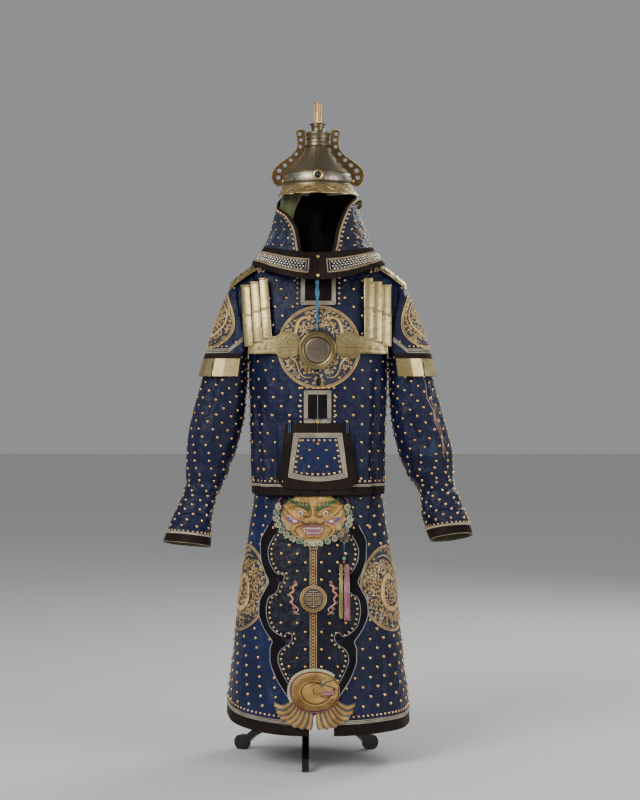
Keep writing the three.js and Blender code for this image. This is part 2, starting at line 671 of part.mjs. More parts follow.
// A sleeve is cut in two, with seams along the top of the arm and under it
const SLEEVE_HALVES = [
  { half: 'front', from: -Math.PI + SLEEVE_SEAM, to: -SLEEVE_SEAM },
  { half: 'back', from: SLEEVE_SEAM, to: Math.PI - SLEEVE_SEAM },
];

function makeSleeves() {
  const rows = [0, ...spread(1, CUFF_ROW, CUFF_ROW - 1)];
  const cuffTop = CUFF_ROW + 0.011;
  const body = stack(coatBody(COAT_LEVELS.slice(4), () => SEAM));
  const round = spread(-Math.PI, Math.PI, 2 * SLEEVE_COLUMNS).slice(0, -1);
  const end = SLEEVE_LEFT.length;
  for (const { side, label } of SIDES) {
    for (const { half, from, to } of SLEEVE_HALVES) {
      const wall = sleeveWall(side, rows, spread(from, to, SLEEVE_COLUMNS), false);
      piece(`sleeve_${label}_${half}`, cutBy(wall, body), SATIN);
    }
    piece(`cuff_${label}`, sleeveWall(side, [cuffTop, (cuffTop + end) / 2, end], round, true), VELVET);
  }
}

// Shoulder guards with their gilt scales

// The gap between two scales, open at the bottom
function scaleNotch(surface, steps, turn) {
  const height = 60;
  const at = surface(turn, SCALES.bottom);
  const out = moved(surface, turn, SCALES.bottom, 1, steps).sub(at);
  const box = new THREE.BoxGeometry(50, SCALES.gap, height).rotateZ(Math.atan2(out.y, out.x));
  return box.translate(at.x, at.y, SCALES.top - SCALES.band - height / 2);
}

function makeGuards() {
  const turns = spread(-BACK, BACK, 10);
  const levels = [1412, 1398, 1380, 1345, 1300, 1245, 1215, GUARD_SPAN.bottom];
  for (const { side, label } of SIDES) {
    const surface = guard(side);
    const steps = aroundArm(side);
    const rows = levels.map((z) => [z, turns]);
    piece(`shoulder_guard_${label}`, sheet(surface, steps, rows, 0, WALL), SATIN);
    const strip = sheet(surface, steps, [[SCALES.top, turns], [SCALES.bottom, turns]], SCALES.lift, GILT);
    const between = spread(-BACK, BACK, SCALES.count).slice(1, -1);
    const notches = between.map((turn) => scaleNotch(surface, steps, turn));
    piece(`guard_scales_${label}`, cutBy(strip, ...notches), GOLD);
  }
}

// Gilt plates over the shoulders

function makeShoulderPlates() {
  const height = through(SHOULDER_PLATE, 'x', 'z');
  const first = SHOULDER_PLATE[0].x;
  const last = SHOULDER_PLATE[SHOULDER_PLATE.length - 1].x;
  for (const { side, label } of SIDES) {
    const layer = (lift) =>
      spread(-1, 1, 6).map((share) =>
        spread(first, last, 4).map((x) => {
          const y = share * SHOULDER_PLATE_HALF;
          return new THREE.Vector3(side * x, y, height(x) - SHOULDER_PLATE_DROP * share * share + lift);
        }),
      );
    piece(`shoulder_plate_${label}`, wallBetween(layer(GILT), layer(0)), GOLD);
  }
}

// Chest harness: pairs of gilt lames on each side, the wings and the mirror between them

function makeLames() {
  const overlap = 6;
  const curl = 3;
  for (const { side, label } of SIDES) {
    LAMES.forEach((lame, i) => {
      const high = lame[`${label}Top`];
      const low = lame[`${label}Bottom`];
      const middle = (z) => low + ((high - low) * (z - lame.bottomZ)) / (lame.topZ - lame.bottomZ);
      const plate = (top, bottom, lift) => {
        const rows = spread(top, bottom, 2).map((z) => [
          z,
          spread(side * (middle(z) - LAME_HALF), side * (middle(z) + LAME_HALF), 1),
        ]);
        return sheet(harness, FLAT, rows, lift, GILT);
      };
      const upper = plate(lame.topZ, lame.breakZ, curl);
      const lower = plate(lame.breakZ + overlap, lame.bottomZ, curl + GILT - 0.3);
      piece(`chest_lame_${label}_${i + 1}`, joined(upper, lower), GOLD);
    });
  }
}

function wingShape(side) {
  const shape = new THREE.Shape();
  const p = (x, z) => [side * x, z];
  shape.moveTo(...p(52, 1243));
  shape.bezierCurveTo(...p(54, 1262), ...p(72, 1262), ...p(82, 1268));
  shape.bezierCurveTo(...p(94, 1272), ...p(108, 1264), ...p(122, 1255));
  shape.bezierCurveTo(...p(140, 1257), ...p(165, 1246), ...p(204, 1228));
  shape.lineTo(...p(206, 1204));
  shape.bezierCurveTo(...p(180, 1200), ...p(150, 1206), ...p(124, 1204));
  shape.bezierCurveTo(...p(110, 1192), ...p(96, 1190), ...p(84, 1193));
  shape.bezierCurveTo(...p(72, 1192), ...p(58, 1196), ...p(52, 1212));
  shape.closePath();
  return shape;
}

function harnessSheet(side, fromX, toX, levels, lift, thick) {
  const rows = levels.map((z) => [z, spread(side * fromX, side * toX, 6)]);
  return sheet(harness, FLAT, rows, lift, thick);
}

function makeHarness() {
  const { x, z, radius, disc, thick } = MIRROR;
  const room = lathe([[0, 0], [radius + SEAM, 0], [radius + SEAM, 60], [0, 60]], 24);
  room.rotateX(Math.PI / 2).translate(x, -110, z);
  for (const { side, label } of SIDES) {
    const blank = harnessSheet(side, 40, 215, [1290, 1255, 1220, 1180], HARNESS.strap, GILT);
    const wing = keptIn(blank, outlineTool(wingShape(side), -200, 0));
    piece(`mirror_wing_${label}`, cutBy(wing, room), GOLD);
  }
  const profile = [
    [0, 0], [radius - 2, 0], [radius, 2], [radius, thick - 3], [radius - 4, thick],
    [disc + 3, thick - 1.5], [disc, thick - 4], [0, thick - 3],
  ];
  const mirror = lathe(profile, 24).rotateX(Math.PI / 2).translate(x, -138.7, z);
  piece('breast_mirror', mirror, BRONZE);
  const rings = MIRROR_CORD.map((row) =>
    spread(0, 2 * Math.PI, 8).slice(0, -1).map((angle) => {
      const across = row.halfWidth * Math.cos(angle);
      return new THREE.Vector3(x + across, row.y + row.halfDepth * Math.sin(angle), row.z);
    }),
  );
  piece('mirror_cord', stack(rings), BLUE_CORD);
}

// Front flap

function makeFlap() {
  const { topHalf, bottomHalf, top, corner, bottom, lift, thick } = FLAP;
  const shape = new THREE.Shape();
  shape.moveTo(-topHalf, top);
  shape.lineTo(topHalf, top);
  shape.lineTo(bottomHalf, corner);
  shape.quadraticCurveTo(0, 2 * bottom - corner, -bottomHalf, corner);
  shape.closePath();
  const rows = spread(1010, 795, 6).map((z) => [z, spread(-125, 125, 8)]);
  const smooth = (x, z) => smoothCoat(angleAtX(coatAt, x, z), z);
  const blank = sheet(smooth, FLAT, rows, lift + thick, thick);
  piece('front_flap', keptIn(blank, outlineTool(shape, -240, 0)), VELVET);
}

// Skirt

function skirtEdges(side) {
  const rise = (z) => (z - HEM.bottom) / (WAIST - HEM.bottom);
  const blend = (low, high, z) => low + (high - low) * rise(z);
  const gap = SKIRT_GAP;
  const frontX = side < 0
    ? (z) => blend(gap.leftAtHem, gap.leftAtWaist, z)
    : (z) => blend(gap.rightAtHem, gap.rightAtWaist, z);
  const backX = (z) => side * blend(gap.backAtHem, gap.backAtWaist, z);
  return (z) => {
    const front = angleAtX(skirtAt, frontX(z), z);
    const back = angleAtX(skirtAt, backX(z), z, BACK);
    return side > 0 ? [front, back] : [front, back - 2 * Math.PI];
  };
}

function skirtRows(side, shares, topOf, bottomOf) {
  const edges = skirtEdges(side);
  return shares.map((share) => {
    const level = (WAIST + (HEM.bottom - WAIST) * share);
    const [from, to] = edges(level);
    return spread(from, to, 12).map((angle) => {
      const z = topOf(angle) + (bottomOf(angle) - topOf(angle)) * share;
      return [angle, z];
    });
  });
}

function skirtWall(rows) {
  const layer = (lift) => rows.map((row) => row.map(([angle, z]) => moved(skirt, angle, z, lift, ROUND)));
  return wallBetween(layer(0), layer(-WALL));
}

function makeSkirt() {
  for (const { side, label } of SIDES) {
    const seam = (angle) => hemZ(angle) + HEM.velvet;
    const panel = skirtRows(side, spread(0, 1, 8), () => WAIST, seam);
    piece(`skirt_${label}`, skirtWall(panel), SATIN);
    const last = panel[panel.length - 1];
    const below = [SEAM, HEM.velvet].map((drop) => last.map(([angle, z]) => [angle, z - drop]));
    piece(`skirt_hem_${label}`, skirtWall(below), VELVET);
  }
}

// Apron with its mask, gilt column and the curled creature at its foot

const apronHalf = through(APRON, 'z', 'half');
const apronSurface = (x, z) => ringPoint(skirtAt, z, angleAtX(skirtAt, x, z));
const apronRows = APRON.map(({ z, half }) => [z, spread(APRON_X - half, APRON_X + half, 6)]);

function makeApron() {
  piece('apron', sheet(apronSurface, FLAT, apronRows, APRON_LIFT + WALL, WALL), DARK_SATIN);
}

// A piece that lies on the apron, with its back cut to the apron's own face
function laidOnApron(geometry) {
  const margin = 3;
  const last = apronRows.length - 1;
  const wider = apronRows.map(([z, xs], i) => {
    const row = [xs[0] - margin, ...xs, xs[xs.length - 1] + margin];
    return [i === last ? z - margin : z, row];
  });
  const bed = sheet(apronSurface, FLAT, wider, APRON_LIFT + WALL + SEAM, 12);
  return cutBy(geometry, bed);
}

// A relief on the apron: rings of points round a middle, each raised by the height there
function relief(middle, outline, height, base, counts) {
  const [around, rings] = counts;
  const front = [];
  const behind = [];
  const at = (share, angle, lift) => {
    const [x, z] = outline(angle);
    return moved(apronSurface, middle.x + x * share, middle.z + z * share, lift, FLAT);
  };
  for (let i = 1; i <= rings; i += 1) {
    const share = i / rings;
    front.push(spread(0, 2 * Math.PI, around).slice(0, -1).map((angle) => {
      const [x, z] = outline(angle);
      return at(share, angle, base + height(x * share, z * share, share));
    }));
    behind.push(spread(0, 2 * Math.PI, around).slice(0, -1).map((angle) => at(share, angle, base)));
  }
  const points = [...front.flat(), ...behind.flat()];
  const triangles = [];
  const index = (layer, i, j) => layer * rings * around + i * around + (j % around);
  for (let i = 0; i < rings - 1; i += 1) {
    for (let j = 0; j < around; j += 1) {
      for (const [layer, flip] of [[0, false], [1, true]]) {
        const [a, b] = [index(layer, i, j), index(layer, i, j + 1)];
        const [c, d] = [index(layer, i + 1, j + 1), index(layer, i + 1, j)];
        triangles.push(...(flip ? [[a, c, b], [a, d, c]] : [[a, b, c], [a, c, d]]));
      }
    }
  }
  const centre = points.length;
  points.push(at(0, 0, base + height(0, 0, 0)), at(0, 0, base));
  for (let j = 0; j < around; j += 1) {
    triangles.push([centre, index(0, 0, j + 1), index(0, 0, j)]);
    triangles.push([centre + 1, index(1, 0, j), index(1, 0, j + 1)]);
    const [a, b] = [index(0, rings - 1, j), index(0, rings - 1, j + 1)];
    const [c, d] = [index(1, rings - 1, j + 1), index(1, rings - 1, j)];
    triangles.push([a, b, c], [a, c, d]);
  }
  return geometryFrom(points, triangles);
}

// Mask: raised parts given by place, width, height and how far they stand out
const MASK_FORMS = [
  { x: 0, z: -2, wide: 22, tall: 22, out: 20 },
  { x: 0, z: 30, wide: 12, tall: 26, out: 9 },
  { x: -40, z: 22, wide: 22, tall: 14, out: 9 },
  { x: 40, z: 22, wide: 22, tall: 14, out: 9 },
  { x: -52, z: -14, wide: 26, tall: 16, out: 11 },
  { x: 52, z: -14, wide: 26, tall: 16, out: 11 },
  { x: 0, z: -30, wide: 34, tall: 10, out: 12 },
  { x: -34, z: 56, wide: 24, tall: 12, out: 6 },
  { x: 34, z: 56, wide: 24, tall: 12, out: 6 },
];

function makeMask() {
  const outline = (angle) => {
    const curls = 1 + 0.045 * Math.cos(12 * angle);
    return [
      MASK.halfWidth * signedPower(Math.cos(angle), 0.9) * curls,
      MASK.halfHeight * signedPower(Math.sin(angle), 0.9) * curls,
    ];
  };
  const height = (x, z, share) =>
    MASK_FORMS.reduce(
      (sum, form) => sum + form.out * bump(Math.hypot((x - form.x) / form.wide, (z - form.z) / form.tall)),
      4 + 8 * Math.sqrt(Math.max(0, 1 - share * share)),
    );
  const base = APRON_LIFT + WALL - 0.8;
  piece('mask', laidOnApron(relief({ x: APRON_X, z: MASK.z }, outline, height, base, [22, 6])), THREAD);
}

function makeColumn() {
  const base = APRON_LIFT + WALL - 0.8;
  const { halfWidth, top, bottom, thick, discZ, disc } = COLUMN;
  const half = (z) => Math.max(halfWidth, Math.sqrt(Math.max(0, disc ** 2 - (z - discZ) ** 2)));
  const levels = [
    ...spread(bottom, discZ - disc, 4),
    ...spread(-75, 75, 8).map((degrees) => discZ + disc * Math.sin(THREE.MathUtils.degToRad(degrees))),
    ...spread(discZ + disc, top, 3),
  ];
  const rows = levels.map((z) => [z, spread(APRON_X - half(z), APRON_X + half(z), 2)]);
  piece('apron_column', laidOnApron(sheet(apronSurface, FLAT, rows, base + thick, thick)), GOLD);
}

function makeCreature() {
  const base = APRON_LIFT + WALL - 0.8;
  const outline = (angle) => [CREATURE.halfWidth * Math.cos(angle), CREATURE.halfHeight * Math.sin(angle)];
  const height = (x, z, share) => {
    const brow = 7 * bump(Math.hypot((x + 6) / 44, (z - 22) / 16));
    const snout = 8 * bump(Math.hypot((x - 18) / 40, (z + 6) / 12));
    const jaw = 6 * bump(Math.hypot(x / 50, (z + 34) / 14));
    return 3 + 7 * Math.sqrt(Math.max(0, 1 - share * share)) + brow + snout + jaw;
  };
  const body = relief({ x: CREATURE.x, z: CREATURE.z }, outline, height, base, [16, 4]);
  const plumes = [];
  for (const { side } of SIDES) {
    for (let i = 0; i < 3; i += 1) {
      const turn = THREE.MathUtils.degToRad(-66 + i * 33);
      const length = 58 - i * 3;
      const start = new THREE.Vector2(CREATURE.x + side * (18 + 18 * i), CREATURE.z - 42 + i * 13);
      const along = new THREE.Vector2(side * Math.cos(turn), Math.sin(turn));
      const plume = (angle) => {
        const reach = length * (0.5 + 0.5 * Math.cos(angle));
        const across = 14 * Math.sin(angle);
        return [along.x * reach - along.y * across, along.y * reach + along.x * across];
      };
      const middle = { x: start.x + along.x * length * 0.2, z: start.y + along.y * length * 0.2 };
      const shifted = (angle) => {
        const [x, z] = plume(angle);
        return [x - along.x * length * 0.2, z - along.y * length * 0.2];
      };
      const rise = (x, z, share) => 2.5 + 3.5 * Math.sqrt(Math.max(0, 1 - share * share));
      plumes.push(relief(middle, shifted, rise, base + 0.15 * i, [8, 1]));
    }
  }
  piece('apron_creature', laidOnApron(joined(body, ...plumes)), GOLD);
}

// Pendant that hangs beside the mask, with its two tassels

function lathe(profile, segments) {
  const points = profile.map(([r, h]) => new THREE.Vector2(r, h));
  return facingOut(new THREE.LatheGeometry(points, segments).rotateX(Math.PI / 2));
}

function makePendant() {
  const profile = [
    [0, -98], [12, -98], [12, -94], [10, -87], [7, -79], [1.6, -76], [1.6, -40], [6, -36], [15, -24],
    [15, -16], [6, -5], [4, 0], [5.5, 4], [4, 8], [0, 9],
  ];
  const out = (lift, z) => moved(apronSurface, PENDANT.x, z, APRON_LIFT + WALL + lift, FLAT).y;
  const hung = (geometry, x, high, low) => {
    const slope = Math.atan2(out(high.lift, high.z) - out(low.lift, low.z), high.z - low.z);
    return geometry.rotateX(-slope).translate(x, out(high.lift, high.z), high.z);
  };
  const ornament = lathe(profile, 10).scale(1, 0.5, 1);
  const ends = [{ lift: 23, z: PENDANT.top }, { lift: 9, z: PENDANT.middle }];
  piece('pendant', hung(ornament, PENDANT.x, ...ends), IRON);
  for (const { name, shift, radius, off, top, length, material } of TASSELS) {
    const head = lathe([[0, -16], [radius, -16], [radius + 0.6, -6], [3, 0], [0, 0.6]], 10);
    const strands = Array.from({ length: 10 }, (_, i) => {
      const turn = (i / 10) * 2 * Math.PI;
      const reach = radius * (i % 2 ? 0.45 : 0.86);
      const strand = new THREE.CylinderGeometry(1.15, 1.3, length - 14, 3, 1).rotateX(Math.PI / 2);
      return strand.translate(reach * Math.cos(turn), reach * Math.sin(turn), -14 - (length - 14) / 2);
    });
    const lift = radius + off;
    const ends = [{ lift, z: top }, { lift, z: PENDANT.tail }];
    piece(name, hung(joined(head, ...strands), PENDANT.x + shift, ...ends), material);
  }
}

// Hood and collar

function mantleSheet(edges, drops, count, thick = WALL, lift = 0) {
  const rows = drops.map((drop) => {
    const [from, to] = edges(drop);
    return [drop, spread(from, to, count)];
  });
  return sheet(mantle, RINGS, rows, lift, thick);
}

function makeHood() {
  const radians = THREE.MathUtils.degToRad;
  const seam = 0.0018;
  const drops = [0, 0.12, 0.24, 0.36, 0.5, 0.66, 0.83, 0.992];
  const nape = radians(NAPE_EDGE);
  for (const { side, label } of SIDES) {
    const reach = through(FLAP_EDGE, 'drop', label);
    const flapEdges = (drop) => {
      const front = -radians(reach(drop));
      return side > 0 ? [front, nape - seam] : [Math.PI - front, Math.PI - nape + seam];
    };
    piece(`hood_flap_${label}`, mantleSheet(flapEdges, drops, 6), SATIN);
    const halfSeam = 0.003;
    const collarEdges = () => (side > 0
      ? [FRONT + halfSeam, BACK - halfSeam]
      : [FRONT + 2 * Math.PI - halfSeam, BACK + halfSeam]);
    piece(`collar_${label}`, mantleSheet(collarEdges, [1, 1.5, 2], 12), VELVET);
  }
  const napeEdges = () => [nape + seam, Math.PI - nape - seam];
  piece('hood_nape', mantleSheet(napeEdges, drops, 8), SATIN);
}

// Loose lining that hangs inside the hood at the left
function makeLining() {
  const radians = THREE.MathUtils.degToRad;
  const start = radians(190);
  const rows = spread(0.1, 0.62, 4).map((drop) => [drop, spread(start, start + radians(48 - 30 * drop), 7)]);
  const rippled = (angle, drop) => {
    const point = mantle(angle, drop);
    const inset = 0.948 - 0.34 * (angle - start) + 0.02 * Math.sin((angle - start) * 22);
    return new THREE.Vector3(point.x * inset, point.y * inset, point.z);
  };
  piece('hood_lining', sheet(rippled, RINGS, rows, 0, 1.2), LINING);
}

// Helmet

function bowlGeometry() {
  const outer = BOWL.map(({ r, z }) => new THREE.Vector2(r, z));
  const top = outer[outer.length - 1].y;
  const hollow = [[0, 1820], [33, 1820], [54, 1785], [71, 1766], [93, 1745], [101, 1709], [106, 1695]];
  const inner = hollow.map(([r, z]) => new THREE.Vector2(r, z));
  const cup = [new THREE.Vector2(21, top - 6), new THREE.Vector2(0, top - 6)];
  return facingOut(new THREE.LatheGeometry([...outer, ...cup, ...inner, outer[0]], 20).rotateX(Math.PI / 2));
}

function ribGeometry() {
  const line = BOWL.slice(3, 9);
  const shape = new THREE.Shape();
  const outer = line.map(({ r, z }) => [r + RIB.height * 0.8, z + RIB.height * 0.6]);
  const inner = line.map(({ r, z }) => [r - 1.6, z - 0.6]).reverse();
  shape.setFromPoints([...outer, ...inner].map(([r, z]) => new THREE.Vector2(r, z)));
  const rib = new THREE.ExtrudeGeometry(shape, { depth: RIB.width, bevelEnabled: false });
  rib.rotateX(Math.PI / 2).rotateZ(Math.PI / 2);
  return rib.translate(-RIB.width / 2, 0, 0);
}

function crestShape() {
  const shape = new THREE.Shape();
  shape.moveTo(37.6, 1866);
  shape.bezierCurveTo(38, 1882, 66, 1884, 67, 1870);
  shape.bezierCurveTo(60, 1846, 58, 1828, 70, 1812);
  shape.bezierCurveTo(84, 1792, 126, 1778, 136, 1752);
  shape.bezierCurveTo(142, 1736, 134, 1716, 122, 1710);
  shape.lineTo(109.4, 1710);
  shape.lineTo(104.4, 1716);
  shape.lineTo(97.7, 1747);
  BOWL.slice(4, 9).forEach(({ r, z }) => shape.lineTo(r + 0.6, z + 0.5));
  shape.lineTo(37.6, 1840);
  shape.closePath();
  const holes = [
    { x: 55, z: 1866, r: 6 },
    { x: 51, z: 1848, r: 5.5 },
    { x: 54, z: 1828, r: 6 },
    { x: 66, z: 1806, r: 6 },
    { x: 82, z: 1788, r: 6 },
    { x: 99, z: 1772, r: 6.5 },
    { x: 116, z: 1756, r: 7 },
    { x: 119, z: 1735, r: 6.5 },
  ];
  for (const { x, z, r } of holes) {
    const hole = new THREE.Path();
    hole.absellipse(x, z, r, r, 0, 2 * Math.PI);
    shape.holes.push(hole);
  }
  return shape;
}

function makeHelmet() {
  const front = ribGeometry().rotateZ(Math.PI);
  const boss = new THREE.SphereGeometry(BOSS.radius, 12, 6).scale(1, 0.75, 1).translate(0, -93, BOSS.z);
  piece('helmet_bowl', joined(bowlGeometry(), ribGeometry(), front, boss), IRON);
  for (const { side, label } of SIDES) {
    const crest = outlineTool(crestShape(), -CREST_THICK / 2, CREST_THICK / 2, 5);
    if (side < 0) crest.rotateZ(Math.PI);
    piece(`helmet_crest_${label}`, crest, BRONZE);
  }
  const peak = (angle, share) => {
    const aside = (angle - FRONT) / THREE.MathUtils.degToRad(PEAK.half);
    const reach = PEAK.reach * Math.sqrt(Math.max(0, 1 - aside * aside)) + PEAK.scallop * Math.cos(angle * 14);
    const r = BOWL[0].r + share * reach;
    const z = BOWL[0].z + 8 - share * (PEAK.drop + 0.4 * PEAK.scallop * Math.cos(angle * 14));
    return new THREE.Vector3(r * Math.cos(angle), r * Math.sin(angle), z);
  };
  const half = THREE.MathUtils.degToRad(PEAK.half - 4);
  const angles = spread(FRONT - half, FRONT + half, 16);
  const row = (share, lift) => angles.map((angle) => peak(angle, share).add(new THREE.Vector3(0, 0, lift)));
  const layer = (lift) => [row(0, lift), row(0.5, lift), row(1, lift)];
  piece('helmet_peak', wallBetween(layer(GILT), layer(0)), GOLD);
  const { radius, bore, bottom, top } = TUBE;
  const floor = bottom + 3;
  const socket = [[bore, top], [bore, floor], [0, floor]];
  piece('plume_tube', lathe([[0, bottom], [radius, bottom], [radius, top], ...socket], 14), GOLD);
}

// Dress stand

function makeStand() {
  const inset = through(FORM_CLEARANCE, 'z', 'inset');
  const ring = (sizes, z, swell) => bodyAngles.map((angle) => ringPoint(sizes, z, angle, swell));
  const rings = FORM_HIPS.map(({ z, inset: gap }) => ring(skirtAt, z, -gap));
  rings.push(...[1010, 1310].map((z) => ring(coatAt, z, -inset(z))));
  rings.push(...coatBody(COAT_LEVELS.slice(8), (z) => -inset(z)));
  const neck = [[72, 58, 1512], [60, 52, 1535], [58, 50, 1560]];
  const angles = rings[0].map((point) => Math.atan2(point.y / 150, point.x / 200));
  neck.forEach(([width, depth, z]) => {
    rings.push(angles.map((angle) => new THREE.Vector3(width * Math.cos(angle), depth * Math.sin(angle), z)));
  });
  piece('dress_form', stack(rings), LACQUER);
  const { radius, bottom } = POST;
  const dome = [[radius, 1680], [62, 1708], [76, 1738], [70, 1764], [54, 1783], [40, 1797], [0, 1799]];
  piece('head_post', lathe([[0, bottom - 0.5], [radius, bottom - 0.5], ...dome], 14), LACQUER);
  const foot = [[0, 100], [16, 104], [26, 122], [40, 140], [44, 170]];
  const baluster = [...foot, [40, 222], [26, 240], [20, 262], [24, 275]];
  const column = lathe([...baluster, [17, 290], [17, 830], [46, 846], [0, 849.5]], 12);
  piece('stand_column', column.translate(STAND_X, 0, 0), LACQUER);
  for (const [label, degrees] of [['front', -90], ['right', 30], ['left', 150]]) {
    const leg = legGeometry().rotateZ(THREE.MathUtils.degToRad(degrees));
    piece(`stand_leg_${label}`, leg.translate(STAND_X, 0, 0), LACQUER);
  }
}

function legGeometry() {
  const { reach, foot, thick } = LEG;
  const shape = new THREE.Shape();
  shape.moveTo(reach - 11, 0);
  shape.lineTo(reach + 11, 0);
  shape.absarc(reach, foot, foot + 2.5, -0.95, 2.1, false);
  shape.bezierCurveTo(178, 66, 158, 92, 120, 104);
  shape.bezierCurveTo(84, 116, 66, 150, 44.5, 214);
  shape.lineTo(44.5, 142);
  shape.bezierCurveTo(60, 116, 84, 78, 130, 64);
  shape.bezierCurveTo(160, 56, 184, 42, reach - 24, 22);
  shape.bezierCurveTo(reach - 24, 10, reach - 18, 2, reach - 11, 0);
  const leg = new THREE.ExtrudeGeometry(shape, { depth: thick, bevelEnabled: false, curveSegments: 5 });
  leg.rotateX(Math.PI / 2);
  return leg.translate(0, thick / 2, 0);
}

makeStand();
makeSkirt();
makeApron();
makeMask();
makeColumn();
makeCreature();
makePendant();
makeCoat();
makeSleeves();
makeGuards();
makeShoulderPlates();
makeLames();
makeHarness();
makeFlap();
makeHood();
makeLining();
makeHelmet();

// The figure is centred over its footprint
figure.updateMatrixWorld(true);
const box = new THREE.Box3().setFromObject(figure);
figure.position.set(-(box.min.x + box.max.x) / 2, -(box.min.y + box.max.y) / 2, -box.min.z);

export default armour;
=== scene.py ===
"""Ceremonial armour of studded satin on a black dress stand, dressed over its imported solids."""

import math

import bpy
import numpy as np
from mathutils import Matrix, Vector


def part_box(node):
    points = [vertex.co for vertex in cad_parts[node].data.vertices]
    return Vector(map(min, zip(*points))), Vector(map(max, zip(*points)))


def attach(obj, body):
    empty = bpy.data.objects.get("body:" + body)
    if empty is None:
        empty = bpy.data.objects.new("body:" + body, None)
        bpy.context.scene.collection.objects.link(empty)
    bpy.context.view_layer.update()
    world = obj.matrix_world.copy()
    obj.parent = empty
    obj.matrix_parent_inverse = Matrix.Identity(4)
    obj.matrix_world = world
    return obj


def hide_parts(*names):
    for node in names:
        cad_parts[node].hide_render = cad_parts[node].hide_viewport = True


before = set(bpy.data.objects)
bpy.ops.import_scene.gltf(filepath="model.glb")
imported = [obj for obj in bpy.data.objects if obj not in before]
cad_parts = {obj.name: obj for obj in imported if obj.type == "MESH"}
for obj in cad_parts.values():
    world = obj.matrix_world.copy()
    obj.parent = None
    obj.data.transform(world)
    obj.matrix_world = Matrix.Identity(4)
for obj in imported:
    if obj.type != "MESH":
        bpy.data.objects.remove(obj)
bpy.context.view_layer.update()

# Lengths below are in millimetres, with the wearer's axis at X = Y = 0 and the floor at Z = 0.

tube_low, tube_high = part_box("plume_tube")
AXIS = np.array([(tube_low.x + tube_high.x) / 2, (tube_low.y + tube_high.y) / 2, 0.0])
WALL = 2.6  # thickness of the padded cloth
FRONT, BACK = -math.pi / 2, math.pi / 2
FORWARD = (0, -1, 0)
SIDES = ((-1, "left"), (1, "right"))  # sign of X, label
SKIRT_TOP, SKIRT_LOW = 960, 106
APRON_HIGH, APRON_LOW = 905, 168
APRON_LIFT = 5.8  # how far the apron's face stands off the skirt
COAT_LOW = 790
ARMHOLE_Z = 1357
DISC_Z = 492  # middle of the disc on the apron's column
CHEST_Z, BACK_Z, SKIRT_Z, GUARD_Z = 1222, 1240, 513, 1302  # middles of the medallions
MIRROR_Z = 1214
TASSEL_Z = 589.6

# Tables of the garment's outer surfaces, the same as in the solids

COAT = [  # z, width, front, back, power
    (790, 198, 158, 150, 2.5), (860, 199, 152, 146, 2.5), (950, 201, 145, 140, 2.5),
    (1050, 204, 139, 136, 2.5), (1150, 206, 138, 136, 2.5), (1260, 208, 137, 138, 2.5),
    (1340, 208, 129, 134, 2.5), (1400, 207, 116, 122, 2.45), (1440, 206, 101, 107, 2.4),
    (1462, 193, 88, 94, 2.3), (1478, 160, 78, 84, 2.2), (1491, 119, 70, 75, 2.1), (1502, 84, 64, 70, 2),
]
COAT_FOLDS = [  # angle, spread, depth, height where it fades
    (-2.62, 0.085, -15, 1180), (-2.4, 0.075, 7, 1150), (-2.18, 0.06, -8, 1120), (-1.1, 0.07, -8, 1130),
    (-0.85, 0.075, 6, 1180), (-0.62, 0.08, -13, 1220), (-0.36, 0.07, 5, 1150), (0.55, 0.1, -9, 1180),
    (1.05, 0.1, -7, 1100), (1.4, 0.09, 5, 1150), (1.95, 0.11, -8, 1120), (2.6, 0.1, -10, 1200),
]
SKIRT = [  # z, width, front, back, power
    (100, 274, 255, 243, 2.15), (177, 270, 247, 236, 2.15), (288, 257, 231, 222, 2.15),
    (432, 242, 207, 205, 2.15), (561, 226, 181, 184, 2.15), (693, 204, 151, 160, 2.15),
    (780, 191, 132, 143, 2.15), (900, 176, 118, 124, 2.15), (960, 168, 112, 116, 2.15),
]
MANTLE = [  # drop, width, front, back, sideZ, frontZ, backZ
    (0, 108, 107, 109, 1694.4, 1694.4, 1694.4), (0.3, 121, 110, 127, 1655, 1655, 1658),
    (0.6, 138, 117, 138, 1590, 1586, 1600), (1, 162, 134, 152, 1524, 1500, 1530),
    (1.5, 181, 154, 163, 1499, 1459, 1486), (2, 199, 172, 172, 1474, 1419, 1443),
]
FLAP_EDGE = [  # drop, left, right: degrees that the flap reaches round from its side
    (0.12, -20, -6), (0.36, 12, 46), (0.5, 50, 58), (0.7, 66, 68), (1, 73, 76),
]
GUARD = [  # z, outer, front, depth
    (1414, 256, 236, 45.5), (1400, 264, 238, 61.5), (1380, 274, 240, 75.5), (1340, 291, 234, 88.5),
    (1300, 306, 226, 92.5), (1234, 329, 212, 96.5), (1205, 338, 222, 98.5), (1182, 345, 232, 99.5),
    (1137, 357, 236, 101.5),
]
SLEEVE_LEFT = [  # row, outerX, outerZ, innerX, innerZ, y, depth, tip
    (1, 243, 1428, 209, 1236, 0, 84, 0), (2, 270, 1372, 210, 1212, 0, 83, 0),
    (3, 292, 1304, 211, 1185, 0, 81, 0), (4, 312, 1240, 212, 1156, 0, 79, 0),
    (5, 334, 1176, 213, 1122, -2, 79, 0), (6, 352, 1112, 216, 1080, -4, 80, 1),
    (7, 371, 1046, 220, 1026, -8, 81, 2), (8, 384, 980, 231, 970, -14, 80, 3),
    (9, 393, 912, 249, 906, -21, 76, 4), (10, 395, 850, 270, 845, -28, 70, 5),
    (11, 399, 805, 291, 800, -34, 64, 6), (12, 411, 766, 307, 761, -40, 60, 7),
    (13, 428, 728, 315, 721, -46, 62, 8), (14, 446, 684, 318, 671, -52, 66, 8),
    (15, 459, 646, 319, 632, -57, 70, 8),
]
